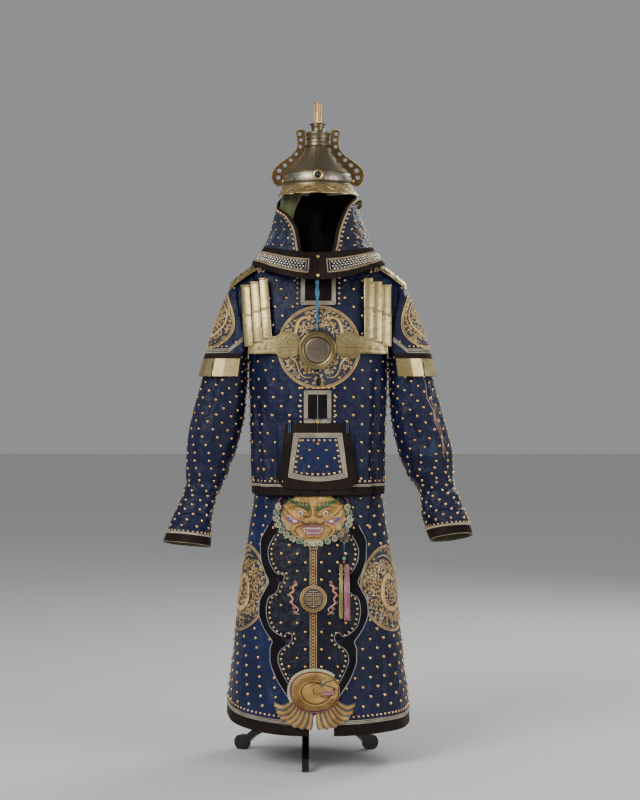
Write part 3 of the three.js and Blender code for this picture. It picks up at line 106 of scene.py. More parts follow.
SLEEVE_RIGHT = [  # the same columns
    (1, 243, 1428, 209, 1236, 0, 84, 0), (2, 270, 1372, 210, 1212, 0, 83, 0),
    (3, 292, 1304, 211, 1185, 0, 81, 0), (4, 314, 1240, 212, 1156, 0, 80, 0),
    (5, 333, 1176, 213, 1118, -2, 81, 0), (6, 349, 1112, 216, 1074, -4, 83, 1),
    (7, 367, 1046, 219, 1020, -8, 84, 2), (8, 386, 978, 229, 960, -14, 82, 4),
    (9, 401, 910, 245, 896, -22, 78, 5), (10, 404, 856, 268, 840, -30, 72, 7),
    (11, 405, 822, 298, 802, -36, 62, 8), (12, 417, 786, 306, 768, -42, 61, 10),
    (13, 434, 742, 309, 728, -50, 64, 11), (14, 448, 704, 319, 692, -56, 68, 12),
    (15, 459, 668, 334, 652, -62, 71, 12),
]
SLEEVE_FOLDS = [  # angle, spread, depth, from row, to row
    (-1.9, 0.26, -9, 2, 9), (-1.15, 0.22, -7, 3, 8), (-0.5, 0.25, -5, 5, 11), (0.9, 0.3, -8, 2, 9),
    (1.9, 0.3, -7, 3, 10),
]
SLEEVE_CREASES = [  # row, spread, depth, angle
    (9.6, 0.28, -5, -2.4), (10.6, 0.3, -6, -0.4), (11.5, 0.28, -5, -1.6),
]
APRON_X = -13
APRON = [  # z, half width
    (905, 96), (800, 100), (726, 112), (694, 132), (647, 151), (607, 150), (564, 138), (537, 127), (515, 137),
    (478, 153), (449, 155), (411, 143), (385, 127), (368, 116), (348, 122), (319, 122), (273, 108), (233, 84),
    (196, 56), (168, 30),
]


# Curves through the tables

def through(rows, column, key=0):
    x = np.array([row[key] for row in rows], float)
    y = np.array([row[column] for row in rows], float)
    if x[0] > x[-1]:
        x, y = x[::-1], y[::-1]
    slope = np.diff(y) / np.diff(x)
    tangent = np.empty_like(y)
    tangent[0], tangent[-1] = slope[0], slope[-1]
    a, b = slope[:-1], slope[1:]
    same = a * b > 0
    tangent[1:-1] = np.where(same, 2 * a * b / np.where(same, a + b, 1), 0)

    def at(value):
        value = np.asarray(value, float)
        i = np.clip(np.searchsorted(x, value) - 1, 0, len(x) - 2)
        span = x[i + 1] - x[i]
        s = np.clip((value - x[i]) / span, 0, 1)
        h = s * s * (3 - 2 * s)
        return (y[i] + h * (y[i + 1] - y[i]) + s * (1 - s) ** 2 * span * tangent[i]
                + s * s * (s - 1) * span * tangent[i + 1])
    return at


def columns(rows, *names, first=1):
    return {name: through(rows, first + i) for i, name in enumerate(names)}


coat_at = columns(COAT, "width", "front", "back", "power")
skirt_at = columns(SKIRT, "width", "front", "back", "power")
mantle_at = columns(MANTLE, "width", "front", "back", "sideZ", "frontZ", "backZ")
guard_at = columns(GUARD, "outer", "front", "depth")
flap_at = columns(FLAP_EDGE, "left", "right")
apron_half = through(APRON, 1)
sleeve_names = ("outerX", "outerZ", "innerX", "innerZ", "y", "depth", "tip")
sleeves_at = {-1: columns(SLEEVE_LEFT, *sleeve_names), 1: columns(SLEEVE_RIGHT, *sleeve_names)}


def fade(x):
    s = np.clip(x, 0, 1)
    return s * s * (3 - 2 * s)


def bump(x):
    return np.exp(-np.square(x))


def signed_power(value, power):
    return np.sign(value) * np.abs(value) ** power


def turned(angle):
    return np.arctan2(np.sin(angle), np.cos(angle))


def stacked(x, y, z):
    return np.stack(np.broadcast_arrays(x, y, z), -1).astype(float)


# Soft unevenness of cloth: a sum of seeded waves over a flat pair of coordinates

def waves(seed, count, shortest, longest):
    source = np.random.default_rng(seed)
    length = source.uniform(shortest, longest, count)
    heading = source.uniform(0, 2 * math.pi, count)
    phase = source.uniform(0, 2 * math.pi, count)

    def at(u, v):
        total = np.zeros(np.broadcast(u, v).shape)
        for size, turn, start in zip(length, heading, phase):
            total = total + np.sin((u * math.cos(turn) + v * math.sin(turn)) * 2 * math.pi / size + start)
        return total / math.sqrt(count)
    return at


coat_waves = waves(3, 14, 34, 120)
skirt_waves = waves(5, 16, 45, 160)
sleeve_waves = waves(7, 14, 26, 90)
hood_waves = waves(9, 12, 24, 80)


# Surfaces

def ring_point(sizes, z, angle, swell=0.0):
    c, s = np.cos(angle), np.sin(angle)
    exponent = 2 / sizes["power"](z)
    width = sizes["width"](z) + swell
    depth = np.where(s < 0, sizes["front"](z), sizes["back"](z)) + swell
    return stacked(width * signed_power(c, exponent), depth * signed_power(s, exponent), z)


def coat_fold(angle, z):
    total = np.zeros(np.broadcast(angle, z).shape)
    for place, width, depth, top in COAT_FOLDS:
        total = total + depth * bump(turned(angle - place) / width) * fade((top - z) / 260)
    return total


def coat(angle, z):
    flow = coat_waves(turned(angle) * 300, z * 0.35) * (0.6 + 1.1 * fade((1250 - z) / 300))
    return ring_point(coat_at, z, angle, coat_fold(angle, z) + flow)


def smooth_coat(angle, z):
    return ring_point(coat_at, z, angle)


def hem_z(angle):
    return SKIRT_LOW + 26 * bump(turned(angle - math.pi) / 0.7)


def skirt(angle, z):
    wave = 4 * fade((700 - z) / 600) * (0.35 + 0.65 * fade(np.sin(angle) + 0.6)) * np.sin(9 * angle)
    flow = skirt_waves(turned(angle) * 130, z * 1.1) * 0.7
    crease = -1.6 * bump((z - 368 - 4 * np.sin(3 * angle)) / 3.5)
    return ring_point(skirt_at, z, angle, wave + flow + crease)


def mantle(angle, drop):
    s = np.sin(angle)
    forward = np.where(s < 0, s * s, 0)
    behind = np.where(s > 0, s * s, 0)
    side = mantle_at["sideZ"](drop)
    z = side + (mantle_at["frontZ"](drop) - side) * forward + (mantle_at["backZ"](drop) - side) * behind
    depth = np.where(s < 0, mantle_at["front"](drop), mantle_at["back"](drop))
    flow = 1 + hood_waves(turned(angle) * 120, drop * 110) * 0.008 * fade((drop - 0.05) * 4)
    return stacked(mantle_at["width"](drop) * np.cos(angle) * flow, depth * s * flow, z)


def angle_at_x(sizes, x, z, side=-1):
    share = np.minimum(1, np.abs(x) / sizes["width"](z))
    return side * np.arccos(np.sign(x) * share ** (sizes["power"](z) / 2))


def smooth_front(x, z):
    return smooth_coat(angle_at_x(coat_at, x, z), z)


def apron_surface(x, z):
    return ring_point(skirt_at, z, angle_at_x(skirt_at, x, z))


def harness(x, z):
    depth = coat_at["front"](z) + 1.5
    return stacked(x, -depth * (1 - (np.abs(x) / 264) ** 3) ** (1 / 3), z)


def guard(side):
    def at(turn, z):
        middle = guard_at["front"](z)
        reach = guard_at["outer"](z) - middle
        x = middle + reach * np.abs(np.cos(turn)) ** 0.85
        return stacked(side * x, guard_at["depth"](z) * signed_power(np.sin(turn), 0.85), z)
    return at


def armhole_ring(side, angle):
    y = 82 * np.sin(angle)
    z = ARMHOLE_Z + 98 * np.cos(angle)
    depth = np.where(y < 0, coat_at["front"](z), coat_at["back"](z))
    share = 1 - (np.abs(y) / depth) ** coat_at["power"](z)
    return stacked(side * (coat_at["width"](z) * share ** (1 / coat_at["power"](z)) + 0.4), y, z)


def sleeve_fold(angle, row):
    total = np.zeros(np.broadcast(angle, row).shape)
    for place, width, depth, start, end in SLEEVE_FOLDS:
        total = total + depth * fade(row - start) * fade(end - row) * bump(turned(angle - place) / width)
    for place, width, depth, middle in SLEEVE_CREASES:
        total = total + depth * (0.5 + 0.5 * np.cos(angle - middle)) * bump((row - place) / width)
    return total


def sleeve(side):
    sizes = sleeves_at[side]

    def ring(angle, row, swell):
        outer = stacked(side * sizes["outerX"](row), sizes["y"](row), sizes["outerZ"](row))
        inner = stacked(side * sizes["innerX"](row), sizes["y"](row), sizes["innerZ"](row))
        across = (outer - inner) / 2
        half = np.linalg.norm(across, axis=-1, keepdims=True)
        across = across * (half + swell[..., None]) / half
        tip = np.radians(sizes["tip"](row))
        reach = sizes["depth"](row) + swell
        along = stacked(0 * reach, np.cos(tip) * reach, -np.sin(tip) * reach)
        return (outer + inner) / 2 + across * np.cos(angle)[..., None] + along * np.sin(angle)[..., None]

    def at(angle, row):
        angle, row = np.broadcast_arrays(np.asarray(angle, float), np.asarray(row, float))
        flow = sleeve_waves(turned(angle) * 75 + side * 40, row * 52) * 0.9 * fade((row - 1.2) / 2)
        swell = sleeve_fold(angle, row) + flow
        body = ring(angle, np.maximum(row, 1), swell)
        share = np.clip(row, 0, 1)[..., None]
        return armhole_ring(side, angle) * (1 - share) + body * share
    return at


LEFT_SLEEVE, RIGHT_SLEEVE = sleeve(-1), sleeve(1)

# Steps along a surface's two coordinates, for its slope

ROUND = (0.004, 0.5)
FLAT = (0.5, 0.5)
RINGS = (0.004, 0.01)
ARM = (0.02, 0.05)


def normals(surface, u, v, steps, middle=None):
    du, dv = steps
    along = surface(u + du, v) - surface(u - du, v)
    down = surface(u, v + dv) - surface(u, v - dv)
    normal = np.cross(along, down)
    normal = normal / np.maximum(np.linalg.norm(normal, axis=-1, keepdims=True), 1e-9)
    point = surface(u, v)
    outward = point * [1, 1, 0] if middle is None else point - middle(u, v)
    flip = np.sum(normal * outward, axis=-1, keepdims=True) < 0
    return point, np.where(flip, -normal, normal)


def moved(surface, u, v, lift, steps, middle=None):
    u, v = np.broadcast_arrays(np.asarray(u, float), np.asarray(v, float))
    point, normal = normals(surface, u, v, steps, middle)
    return point + normal * np.asarray(lift)[..., None]


def arm_middle(side):
    sizes = sleeves_at[side]

    def at(u, v):
        row = np.maximum(v, 1)
        x = side * (sizes["outerX"](row) + sizes["innerX"](row)) / 2
        z = (sizes["outerZ"](row) + sizes["innerZ"](row)) / 2
        return stacked(x, sizes["y"](row), z)
    return at


def guard_middle(side):
    return lambda u, v: stacked(side * 200.0, 0.0, v)


# Meshes

collected = {}


def make_object(name, points, faces, material, uv=None, smooth=True):
    mesh = bpy.data.meshes.new(name)
    mesh.from_pydata(((np.asarray(points, float) + AXIS * 1000) / 1000).tolist(), [], faces)
    if smooth:
        mesh.polygons.foreach_set("use_smooth", [True] * len(mesh.polygons))
    if uv is not None:
        layer = mesh.uv_layers.new(name="cloth")
        loops = np.empty(len(mesh.loops), int)
        mesh.loops.foreach_get("vertex_index", loops)
        layer.data.foreach_set("uv", (np.asarray(uv, float)[loops] / 1000).ravel())
    mesh.update()
    piece = bpy.data.objects.new(name, mesh)
    bpy.context.scene.collection.objects.link(piece)
    mesh.materials.append(material)
    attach(piece, "root")
    collected[name] = piece
    return piece


def turned_out(points, faces):
    points = np.asarray(points, float)
    volume = 0.0
    for sides in (3, 4):
        corners = np.array([face for face in faces if len(face) == sides], int).reshape(-1, sides)
        for i in range(1, sides - 1):
            a, b, c = (points[corners[:, k]] for k in (0, i, i + 1))
            volume += np.sum(a * np.cross(b, c))
    return [face[::-1] for face in faces] if volume < 0 else faces


def grid_lengths(points):
    """Lengths along the rows and columns of a grid of points, for its weave and its cut."""
    across = np.linalg.norm(np.diff(points, axis=1), axis=-1)
    down = np.linalg.norm(np.diff(points, axis=0), axis=-1)
    u = np.concatenate([np.zeros((len(points), 1)), np.cumsum(across, axis=1)], axis=1)
    v = np.concatenate([np.zeros((1, points.shape[1])), np.cumsum(down, axis=0)], axis=0)
    return u - u.mean(axis=1, keepdims=True), v


def grid_area(points):
    a = points[1:, 1:] - points[:-1, :-1]
    b = points[1:, :-1] - points[:-1, 1:]
    return 0.5 * np.linalg.norm(np.cross(a, b), axis=-1).sum()


def wall_faces(rows, count, wrap, keep):
    size = rows * count
    faces, edges = [], {}
    last = count if wrap else count - 1
    for i in range(rows - 1):
        for j in range(last):
            if keep is not None and not keep[i, j]:
                continue
            k = (j + 1) % count
            quad = (i * count + j, i * count + k, (i + 1) * count + k, (i + 1) * count + j)
            faces.append(quad)
            faces.append(tuple(size + q for q in quad[::-1]))
            for a, b in zip(quad, quad[1:] + quad[:1]):
                edges[(a, b)] = True
    for a, b in edges:
        if (b, a) not in edges:
            faces.append((b, a, size + a, size + b))
    return faces


def flat_size(outer, wrap, keep):
    """Width, length and area of a sheet laid flat."""
    closed = np.concatenate([outer, outer[:, :1]], axis=1) if wrap else outer
    us, vs = grid_lengths(closed)
    width, length = (us.max(axis=1) - us.min(axis=1)).max(), vs.max()
    area = min(grid_area(closed), width * length)
    if keep is not None:
        area *= keep.mean()
    return width, length, area


def shell(name, material, surface, u, v, steps, lift=0.0, thick=WALL, middle=None, wrap=False, keep=None,
          cut=None, inside=None):
    """A sheet of cloth on a surface, closed all round. cut tells how it is held and what it rests on; only
    the sheet's flat size is worked out from it, and nothing keeps that.
    """
    u, v = np.broadcast_arrays(np.asarray(u, float), np.asarray(v, float))
    outer = moved(surface, u, v, lift, steps, middle)
    inner = moved(surface, u, v, np.asarray(lift) - thick, steps, middle)
    points = np.concatenate([outer.reshape(-1, 3), inner.reshape(-1, 3)])
    faces = turned_out(points, wall_faces(*u.shape, wrap, keep))
    us, vs = grid_lengths(outer)
    uv = np.stack([us.ravel(), vs.ravel()], -1)
    piece = make_object(name, points, faces, material, np.concatenate([uv, uv]))
    if inside is not None:
        piece.data.materials.append(inside)
        faced_in = [int(min(face.vertices) >= u.size) for face in piece.data.polygons]
        piece.data.polygons.foreach_set("material_index", faced_in)
    if cut:
        width, length, area = flat_size(outer, wrap, keep)
    return piece


def between(start, end, count):
    share = np.linspace(0, 1, count)
    return start[:, None] + (end - start)[:, None] * share


def sheet_grid(start, end, levels, count):
    """Coordinates of a sheet between two edges, each one value or one for each level."""
    ones = np.ones_like(levels)
    u = between(start * ones, end * ones, count)
    return u, np.broadcast_to(levels[:, None], u.shape)


def trim(name, mesh, material):
    """A piece without a solid of its own."""
    piece = make_object(name, *mesh, material)
    return piece


def full_turn(count):
    """Angles once round, the last one short of the first."""
    return np.linspace(0, 2 * math.pi, count, endpoint=False)


def ring_quads(rings, around, closed=False, base=0):
    """Faces between rings of points, and from the last ring to the first where they close."""
    faces = []
    for i in range(rings if closed else rings - 1):
        here, there = base + i * around, base + (i + 1) % rings * around
        for j in range(around):
            k = (j + 1) % around
            faces.append((here + j, here + k, there + k, there + j))
    return faces


def lathe_mesh(profile, segments=64):
    """Points and faces of a (radius, height) profile turned about Z. A closed profile makes a ring."""
    angles = full_turn(segments)
    profile = np.array(profile, float)
    ring = np.allclose(profile[0], profile[-1])
    if ring:
        profile = profile[:-1]
    points = stacked(profile[:, :1] * np.cos(angles), profile[:, :1] * np.sin(angles), profile[:, 1:])
    rows = len(profile)
    faces = ring_quads(rows, segments, ring)
    if not ring:
        faces.append(tuple(range(segments))[::-1])
        faces.append(tuple(range((rows - 1) * segments, rows * segments)))
    return points.reshape(-1, 3), faces


def joined_mesh(parts):
    """One list of points and faces out of several (points, faces) pairs."""
    points, faces, base = [], [], 0
    for part_points, part_faces in parts:
        points.append(np.asarray(part_points, float).reshape(-1, 3))
        faces.extend(tuple(base + q for q in face) for face in part_faces)
        base += len(points[-1])
    return np.concatenate(points), faces


def tangents(normal):
    helper = np.where(np.abs(normal[..., 2:]) < 0.9, [[0, 0, 1]], [[1, 0, 0]])
    a = np.cross(helper, normal)
    a = a / np.linalg.norm(a, axis=-1, keepdims=True)
    return a, np.cross(normal, a)


STUD_RINGS = [(1.0, -0.25), (1.0, 0.3), (0.62, 0.76)]  # share of the radius, share of the rise
STUD_RISE = 0.9


def domes(points, normal, radius, around):
    """Round studs standing on a surface."""
    points, normal = points.reshape(-1, 3), normal.reshape(-1, 3)
    radius = np.broadcast_to(np.asarray(radius, float), (len(points),))
    a, b = tangents(normal)
    verts, faces = [], []
    for p, n, s, t, r in zip(points, normal, a, b, radius):
        base = len(verts)
        for share, up in STUD_RINGS:
            for angle in full_turn(around):
                aside = s * math.cos(angle) + t * math.sin(angle)
                verts.append(p + r * share * aside + n * (r * up * STUD_RISE))
        verts.append(p + n * r * 0.95 * STUD_RISE)
        faces += ring_quads(len(STUD_RINGS), around, base=base)
        last, top = base + 2 * around, base + 3 * around
        faces += [(last + j, last + (j + 1) % around, top) for j in range(around)]
        faces.append(tuple(base + j for j in range(around))[::-1])
    return np.array(verts), faces


def resampled(path, step):
    path = np.asarray(path, float)
    lengths = np.concatenate([[0], np.cumsum(np.linalg.norm(np.diff(path, axis=0), axis=1))])
    count = max(2, int(round(lengths[-1] / step)) + 1)
    at = np.linspace(0, lengths[-1], count)
    return np.stack([np.interp(at, lengths, path[:, i]) for i in range(path.shape[1])], -1)


def cord_mesh(path, out, half_width, height, closed=False, sides=6):
    """A raised cord along a path in space. out is the surface's normal at each point, or one for all."""
    path = np.asarray(path, float)
    out = np.broadcast_to(np.asarray(out, float), path.shape)
    count = len(path)
    before = np.roll(path, 1, axis=0)
    after = np.roll(path, -1, axis=0)
    if not closed:
        before[0], after[-1] = path[0], path[-1]
    along = after - before
    along = along / np.maximum(np.linalg.norm(along, axis=1, keepdims=True), 1e-9)
    across = np.cross(out, along)
    across = across / np.maximum(np.linalg.norm(across, axis=1, keepdims=True), 1e-9)
    half_width = np.broadcast_to(np.asarray(half_width, float), (count,))
    height = np.broadcast_to(np.asarray(height, float), (count,))
    turn = full_turn(sides) + math.pi / sides
    ring = (path[:, None] + across[:, None] * (np.cos(turn)[None, :, None] * half_width[:, None, None])
            + out[:, None] * ((np.sin(turn)[None, :, None] * 0.5 + 0.3) * height[:, None, None]))
    faces = ring_quads(count, sides, closed)
    if not closed:
        faces.append(tuple(range(sides)))
        faces.append(tuple(range((count - 1) * sides, count * sides))[::-1])
    return ring.reshape(-1, 3), faces


def laid_cord(surface, steps, path, half_width, height, lift=0.0, closed=False, middle=None, sides=6):
    """A cord laid on a surface along a path of its own (u, v) coordinates."""
    path = np.asarray(path, float)
    point, normal = normals(surface, path[:, 0], path[:, 1], steps, middle)
    return cord_mesh(point + normal * lift, normal, half_width, height, closed, sides)


# Materials

def nodes_of(name):
    material = bpy.data.materials.new(name)
    material.use_nodes = True
    tree = material.node_tree
    return material, tree, tree.nodes["Principled BSDF"]


def noise(tree, source, scale, detail=3.0, stretch=(1, 1, 1)):
    mapping = tree.nodes.new("ShaderNodeMapping")
    mapping.inputs["Scale"].default_value = stretch
    tree.links.new(source, mapping.inputs["Vector"])
    texture = tree.nodes.new("ShaderNodeTexNoise")
    texture.inputs["Scale"].default_value = scale
    texture.inputs["Detail"].default_value = detail
    tree.links.new(mapping.outputs["Vector"], texture.inputs["Vector"])
    return texture.outputs["Fac"]


def ramp(tree, source, stops):
    node = tree.nodes.new("ShaderNodeValToRGB")
    node.color_ramp.elements[0].position, node.color_ramp.elements[0].color = stops[0][0], (*stops[0][1], 1)
    node.color_ramp.elements[1].position, node.color_ramp.elements[1].color = stops[-1][0], (*stops[-1][1], 1)
    for place, color in stops[1:-1]:
        node.color_ramp.elements.new(place).color = (*color, 1)
    tree.links.new(source, node.inputs["Fac"])
    return node.outputs["Color"]


def mixed(tree, fac, a, b, mode="MIX"):
    node = tree.nodes.new("ShaderNodeMix")
    node.data_type = "RGBA"
    node.blend_type = mode
    for value, socket in ((fac, node.inputs[0]), (a, node.inputs[6]), (b, node.inputs[7])):
        if isinstance(value, (int, float)):
            socket.default_value = value
        elif isinstance(value, tuple):
            socket.default_value = (*value, 1)
        else:
            tree.links.new(value, socket)
    return node.outputs[2]


def math_node(tree, kind, *values):
    node = tree.nodes.new("ShaderNodeMath")
    node.operation = kind
    for value, socket in zip(values, node.inputs):
        if isinstance(value, (int, float)):
            socket.default_value = value
        else:
            tree.links.new(value, socket)
    return node.outputs[0]


def ranged(tree, value, low, high):
    node = tree.nodes.new("ShaderNodeMapRange")
    node.inputs["To Min"].default_value = low
    node.inputs["To Max"].default_value = high
    tree.links.new(value, node.inputs["Value"])
    return node.outputs["Result"]


def bumped(tree, shader, *layers):
    """Bump layers, each (height, strength, distance in metres)."""
    normal = None
    for height, strength, distance in layers:
        node = tree.nodes.new("ShaderNodeBump")
        node.inputs["Strength"].default_value = strength
        node.inputs["Distance"].default_value = distance
        tree.links.new(height, node.inputs["Height"])
        if normal is not None:
            tree.links.new(normal, node.inputs["Normal"])
        normal = node.outputs["Normal"]
    tree.links.new(normal, shader.inputs["Normal"])


def coordinates(tree, kind="Object"):
    return tree.nodes.new("ShaderNodeTexCoord").outputs[kind]


def weave(tree, threads=900.0):
    """Fine warp and weft from the cloth's own lengths."""
    uv = coordinates(tree, "UV")
    split = tree.nodes.new("ShaderNodeSeparateXYZ")
    tree.links.new(uv, split.inputs[0])
    warp = math_node(tree, "SINE", math_node(tree, "MULTIPLY", split.outputs["X"], threads * 2 * math.pi))
    weft = math_node(tree, "SINE", math_node(tree, "MULTIPLY", split.outputs["Y"], threads * 1.4 * math.pi))
    return math_node(tree, "ADD", warp, math_node(tree, "MULTIPLY", weft, 0.6))


def satin(name, dark, light, worn, roughness=0.36, wear_and_highlight_level=0.62):
    material, tree, shader = nodes_of(name)
    place = coordinates(tree)
    crumple = noise(tree, place, 42.0, 7.0, (1, 1, 0.7))
    broad = noise(tree, place, 5.0, 4.0)
    streak = noise(tree, place, 30.0, 6.0, (1.6, 1.6, 0.35))
    rub_and_highlight_noise = noise(tree, place, 16.0, 8.0, (1, 1, 0.6))
    base = ramp(tree, broad, [(0.32, dark), (0.7, light)])
    base = mixed(tree, ranged(tree, streak, 0.0, 0.55), base, light)
    # The worn colour goes on in noise patches: partly rubbed wear, partly painted highlight on the satin.
    rubbed_and_highlight_mask = ramp(tree, rub_and_highlight_noise, [(wear_and_highlight_level, (0, 0, 0)), (wear_and_highlight_level + 0.1, (1, 1, 1))])
    color = mixed(tree, rubbed_and_highlight_mask, base, worn)
    tree.links.new(color, shader.inputs["Base Color"])
    tree.links.new(ranged(tree, rub_and_highlight_noise, roughness - 0.08, roughness + 0.2), shader.inputs["Roughness"])
    shader.inputs["Specular IOR Level"].default_value = 0.24
    shader.inputs["Sheen Weight"].default_value = 0.06
    shader.inputs["Sheen Roughness"].default_value = 0.35
    shader.inputs["Sheen Tint"].default_value = (0.45, 0.52, 0.95, 1)
    bumped(tree, shader, (crumple, 0.75, 0.012), (streak, 0.5, 0.006), (weave(tree), 0.12, 0.0003))
    return material


def velvet(name, dark, light):
    material, tree, shader = nodes_of(name)
    place = coordinates(tree)
    broad = noise(tree, place, 14.0, 5.0)
    pile = noise(tree, place, 420.0, 3.0)
    color = ramp(tree, broad, [(0.3, dark), (0.72, light)])
    tree.links.new(mixed(tree, ranged(tree, pile, 0.0, 0.6), color, dark), shader.inputs["Base Color"])
    shader.inputs["Roughness"].default_value = 0.88
    shader.inputs["Sheen Weight"].default_value = 0.14
    shader.inputs["Specular IOR Level"].default_value = 0.15
    shader.inputs["Sheen Roughness"].default_value = 0.3
    shader.inputs["Sheen Tint"].default_value = (0.6, 0.48, 0.42, 1)
    bumped(tree, shader, (pile, 0.5, 0.0012), (broad, 0.3, 0.004))
    return material


def metal(name, dark, light, roughness=0.36, patina=None, metallic=1.0, dents=1.0):
    material, tree, shader = nodes_of(name)
    place = coordinates(tree)
    broad = noise(tree, place, 9.0, 6.0)
    fine = noise(tree, place, 110.0, 6.0)
    base = ramp(tree, broad, [(0.3, dark), (0.68, light)])
    if patina:
        spots = ramp(tree, fine, [(0.52, (0, 0, 0)), (0.66, (1, 1, 1))])
        base = mixed(tree, spots, base, patina)
    tree.links.new(base, shader.inputs["Base Color"])
    tree.links.new(ranged(tree, fine, roughness - 0.1, roughness + 0.18), shader.inputs["Roughness"])
    shader.inputs["Metallic"].default_value = metallic
    if dents:
        bumped(tree, shader, (fine, 0.12, 0.001), (broad, 0.15, 0.004))
    return material


def thread(name, dark, light, metallic=0.35, twist=260.0, roughness=0.42):
    """Couched metal thread or silk cord, with the slant of its twist."""
    material, tree, shader = nodes_of(name)
    place = coordinates(tree)
    split = tree.nodes.new("ShaderNodeSeparateXYZ")
    tree.links.new(place, split.inputs[0])
    slant = math_node(tree, "ADD", math_node(tree, "MULTIPLY", split.outputs["X"], twist * 6.28),
                      math_node(tree, "MULTIPLY", split.outputs["Z"], twist * 4.4))
    ply = ranged(tree, math_node(tree, "SINE", slant), 0.0, 1.0)
    broad = noise(tree, place, 22.0, 5.0)
    base = ramp(tree, broad, [(0.3, dark), (0.66, light)])
    tree.links.new(mixed(tree, ranged(tree, ply, 0.0, 0.35), base, dark), shader.inputs["Base Color"])
    shader.inputs["Metallic"].default_value = metallic
    shader.inputs["Roughness"].default_value = roughness
    bumped(tree, shader, (ply, 0.35, 0.0012), (noise(tree, place, 300.0, 2.0), 0.2, 0.0008))
    return material


# Each satin's last colour is partly rubbed wear and partly painted highlight.
SATIN = satin("navy_satin", (0.003, 0.004, 0.015), (0.0085, 0.0125, 0.048), (0.026, 0.036, 0.09))
FADED_SATIN = satin("faded_satin", (0.005, 0.007, 0.018), (0.018, 0.025, 0.054), (0.075, 0.09, 0.13),
                    wear_and_highlight_level=0.57)
DARK_SATIN = satin("dark_satin", (0.002, 0.0025, 0.007), (0.005, 0.0065, 0.020), (0.013, 0.016, 0.04))
# A lighter copy of the navy satin. On the skirt's left panel it is painted light, for the side the lamp falls
# on; it is also used for the flap's field.
BRIGHT_SATIN = satin("bright_satin", (0.004, 0.006, 0.026), (0.011, 0.020, 0.080), (0.036, 0.052, 0.145))
VELVET = velvet("brown_velvet", (0.009, 0.006, 0.005), (0.034, 0.022, 0.018))
LINING = satin("green_lining", (0.035, 0.040, 0.014), (0.105, 0.110, 0.045), (0.16, 0.16, 0.08), 0.5)
# The green lining darkened, as painted shade for the hollow inside the hood.
SHADED_LINING = satin("shaded_lining", (0.006, 0.007, 0.003), (0.016, 0.017, 0.008), (0.03, 0.03, 0.015), 0.6)
PIPING = thread("cream_piping", (0.27, 0.23, 0.155), (0.52, 0.46, 0.34), 0.0, 180.0, 0.8)
TAN = thread("tan_cord", (0.25, 0.16, 0.085), (0.50, 0.37, 0.23), 0.0, 220.0, 0.75)
GILT = metal("worn_gilt", (0.40, 0.26, 0.08), (0.78, 0.57, 0.24), 0.34, (0.30, 0.21, 0.09))
PALE_GILT = metal("pale_gilt", (0.40, 0.30, 0.12), (0.66, 0.54, 0.27), 0.36, (0.34, 0.26, 0.12))
BRASS = metal("stud_brass", (0.50, 0.28, 0.10), (0.95, 0.64, 0.30), 0.2)
IRON = metal("browned_iron", (0.14, 0.11, 0.065), (0.27, 0.225, 0.145), 0.36)
BRONZE = metal("dull_bronze", (0.09, 0.055, 0.022), (0.24, 0.16, 0.07), 0.36)
AGED_BRASS = metal("aged_brass", (0.16, 0.12, 0.05), (0.36, 0.28, 0.13), 0.30)
STEEL = metal("mirror_metal", (0.20, 0.155, 0.11), (0.36, 0.29, 0.22), 0.3)
GOLD_THREAD = thread("gold_thread", (0.50, 0.28, 0.07), (0.92, 0.62, 0.22))
PALE_THREAD = thread("pale_gold_thread", (0.52, 0.36, 0.14), (0.95, 0.76, 0.42))
BLUE_CORD = thread("blue_cord", (0.02, 0.10, 0.16), (0.06, 0.26, 0.38), 0.0, 120.0, 0.6)
LACQUER = metal("black_lacquer", (0.003, 0.003, 0.003), (0.006, 0.006, 0.006), 0.24, None, 0.0, 0.0)
MATT_BLACK = velvet("matt_black", (0.0015, 0.0015, 0.0015), (0.003, 0.003, 0.003))

DEEP_VELVET = velvet("black_velvet", (0.004, 0.003, 0.004), (0.018, 0.012, 0.013))
BLUE_PIPING = thread("blue_cream_piping", (0.16, 0.19, 0.24), (0.40, 0.43, 0.48), 0.0, 200.0, 0.75)
COUCHED = thread("couched_ground", (0.014, 0.014, 0.022), (0.035, 0.036, 0.06), 0.0, 380.0, 0.7)
PADDED_GOLD = thread("padded_gold", (0.27, 0.13, 0.025), (0.62, 0.38, 0.11), 0.35, 420.0, 0.4)
GREEN_THREAD = thread("green_silk", (0.02, 0.07, 0.03), (0.06, 0.17, 0.08), 0.0, 300.0, 0.55)
SAGE = thread("sage_silk", (0.16, 0.22, 0.14), (0.36, 0.42, 0.28), 0.0, 300.0, 0.6)
CREAM_SILK = thread("cream_silk", (0.38, 0.35, 0.20), (0.66, 0.62, 0.42), 0.05, 300.0, 0.6)
MAGENTA = thread("magenta_silk", (0.22, 0.03, 0.14), (0.50, 0.14, 0.36), 0.0, 300.0, 0.55)
BLUE_THREAD = thread("blue_silk", (0.02, 0.04, 0.16), (0.06, 0.12, 0.36), 0.0, 300.0, 0.5)
CORAL = thread("coral_silk", (0.42, 0.16, 0.10), (0.74, 0.40, 0.28), 0.05, 300.0, 0.6)
PEARL = metal("pearl_silk", (0.50, 0.47, 0.42), (0.78, 0.76, 0.70), 0.35, None, 0.0)
DARK_BEAD = metal("dark_bead", (0.006, 0.006, 0.008), (0.02, 0.02, 0.025), 0.2, None, 0.0)
JADE = metal("green_bead", (0.05, 0.16, 0.11), (0.12, 0.32, 0.22), 0.25, None, 0.0)
DARK_LINE = thread("dark_line", (0.05, 0.03, 0.012), (0.12, 0.075, 0.03), 0.0, 300.0, 0.7)
DARK_CORD = thread("dark_blue_cord", (0.012, 0.025, 0.05), (0.035, 0.07, 0.12), 0.0, 140.0, 0.6)
DARK_MAGENTA = thread("dark_magenta_silk", (0.09, 0.012, 0.035), (0.22, 0.04, 0.10), 0.0, 300.0, 0.6)
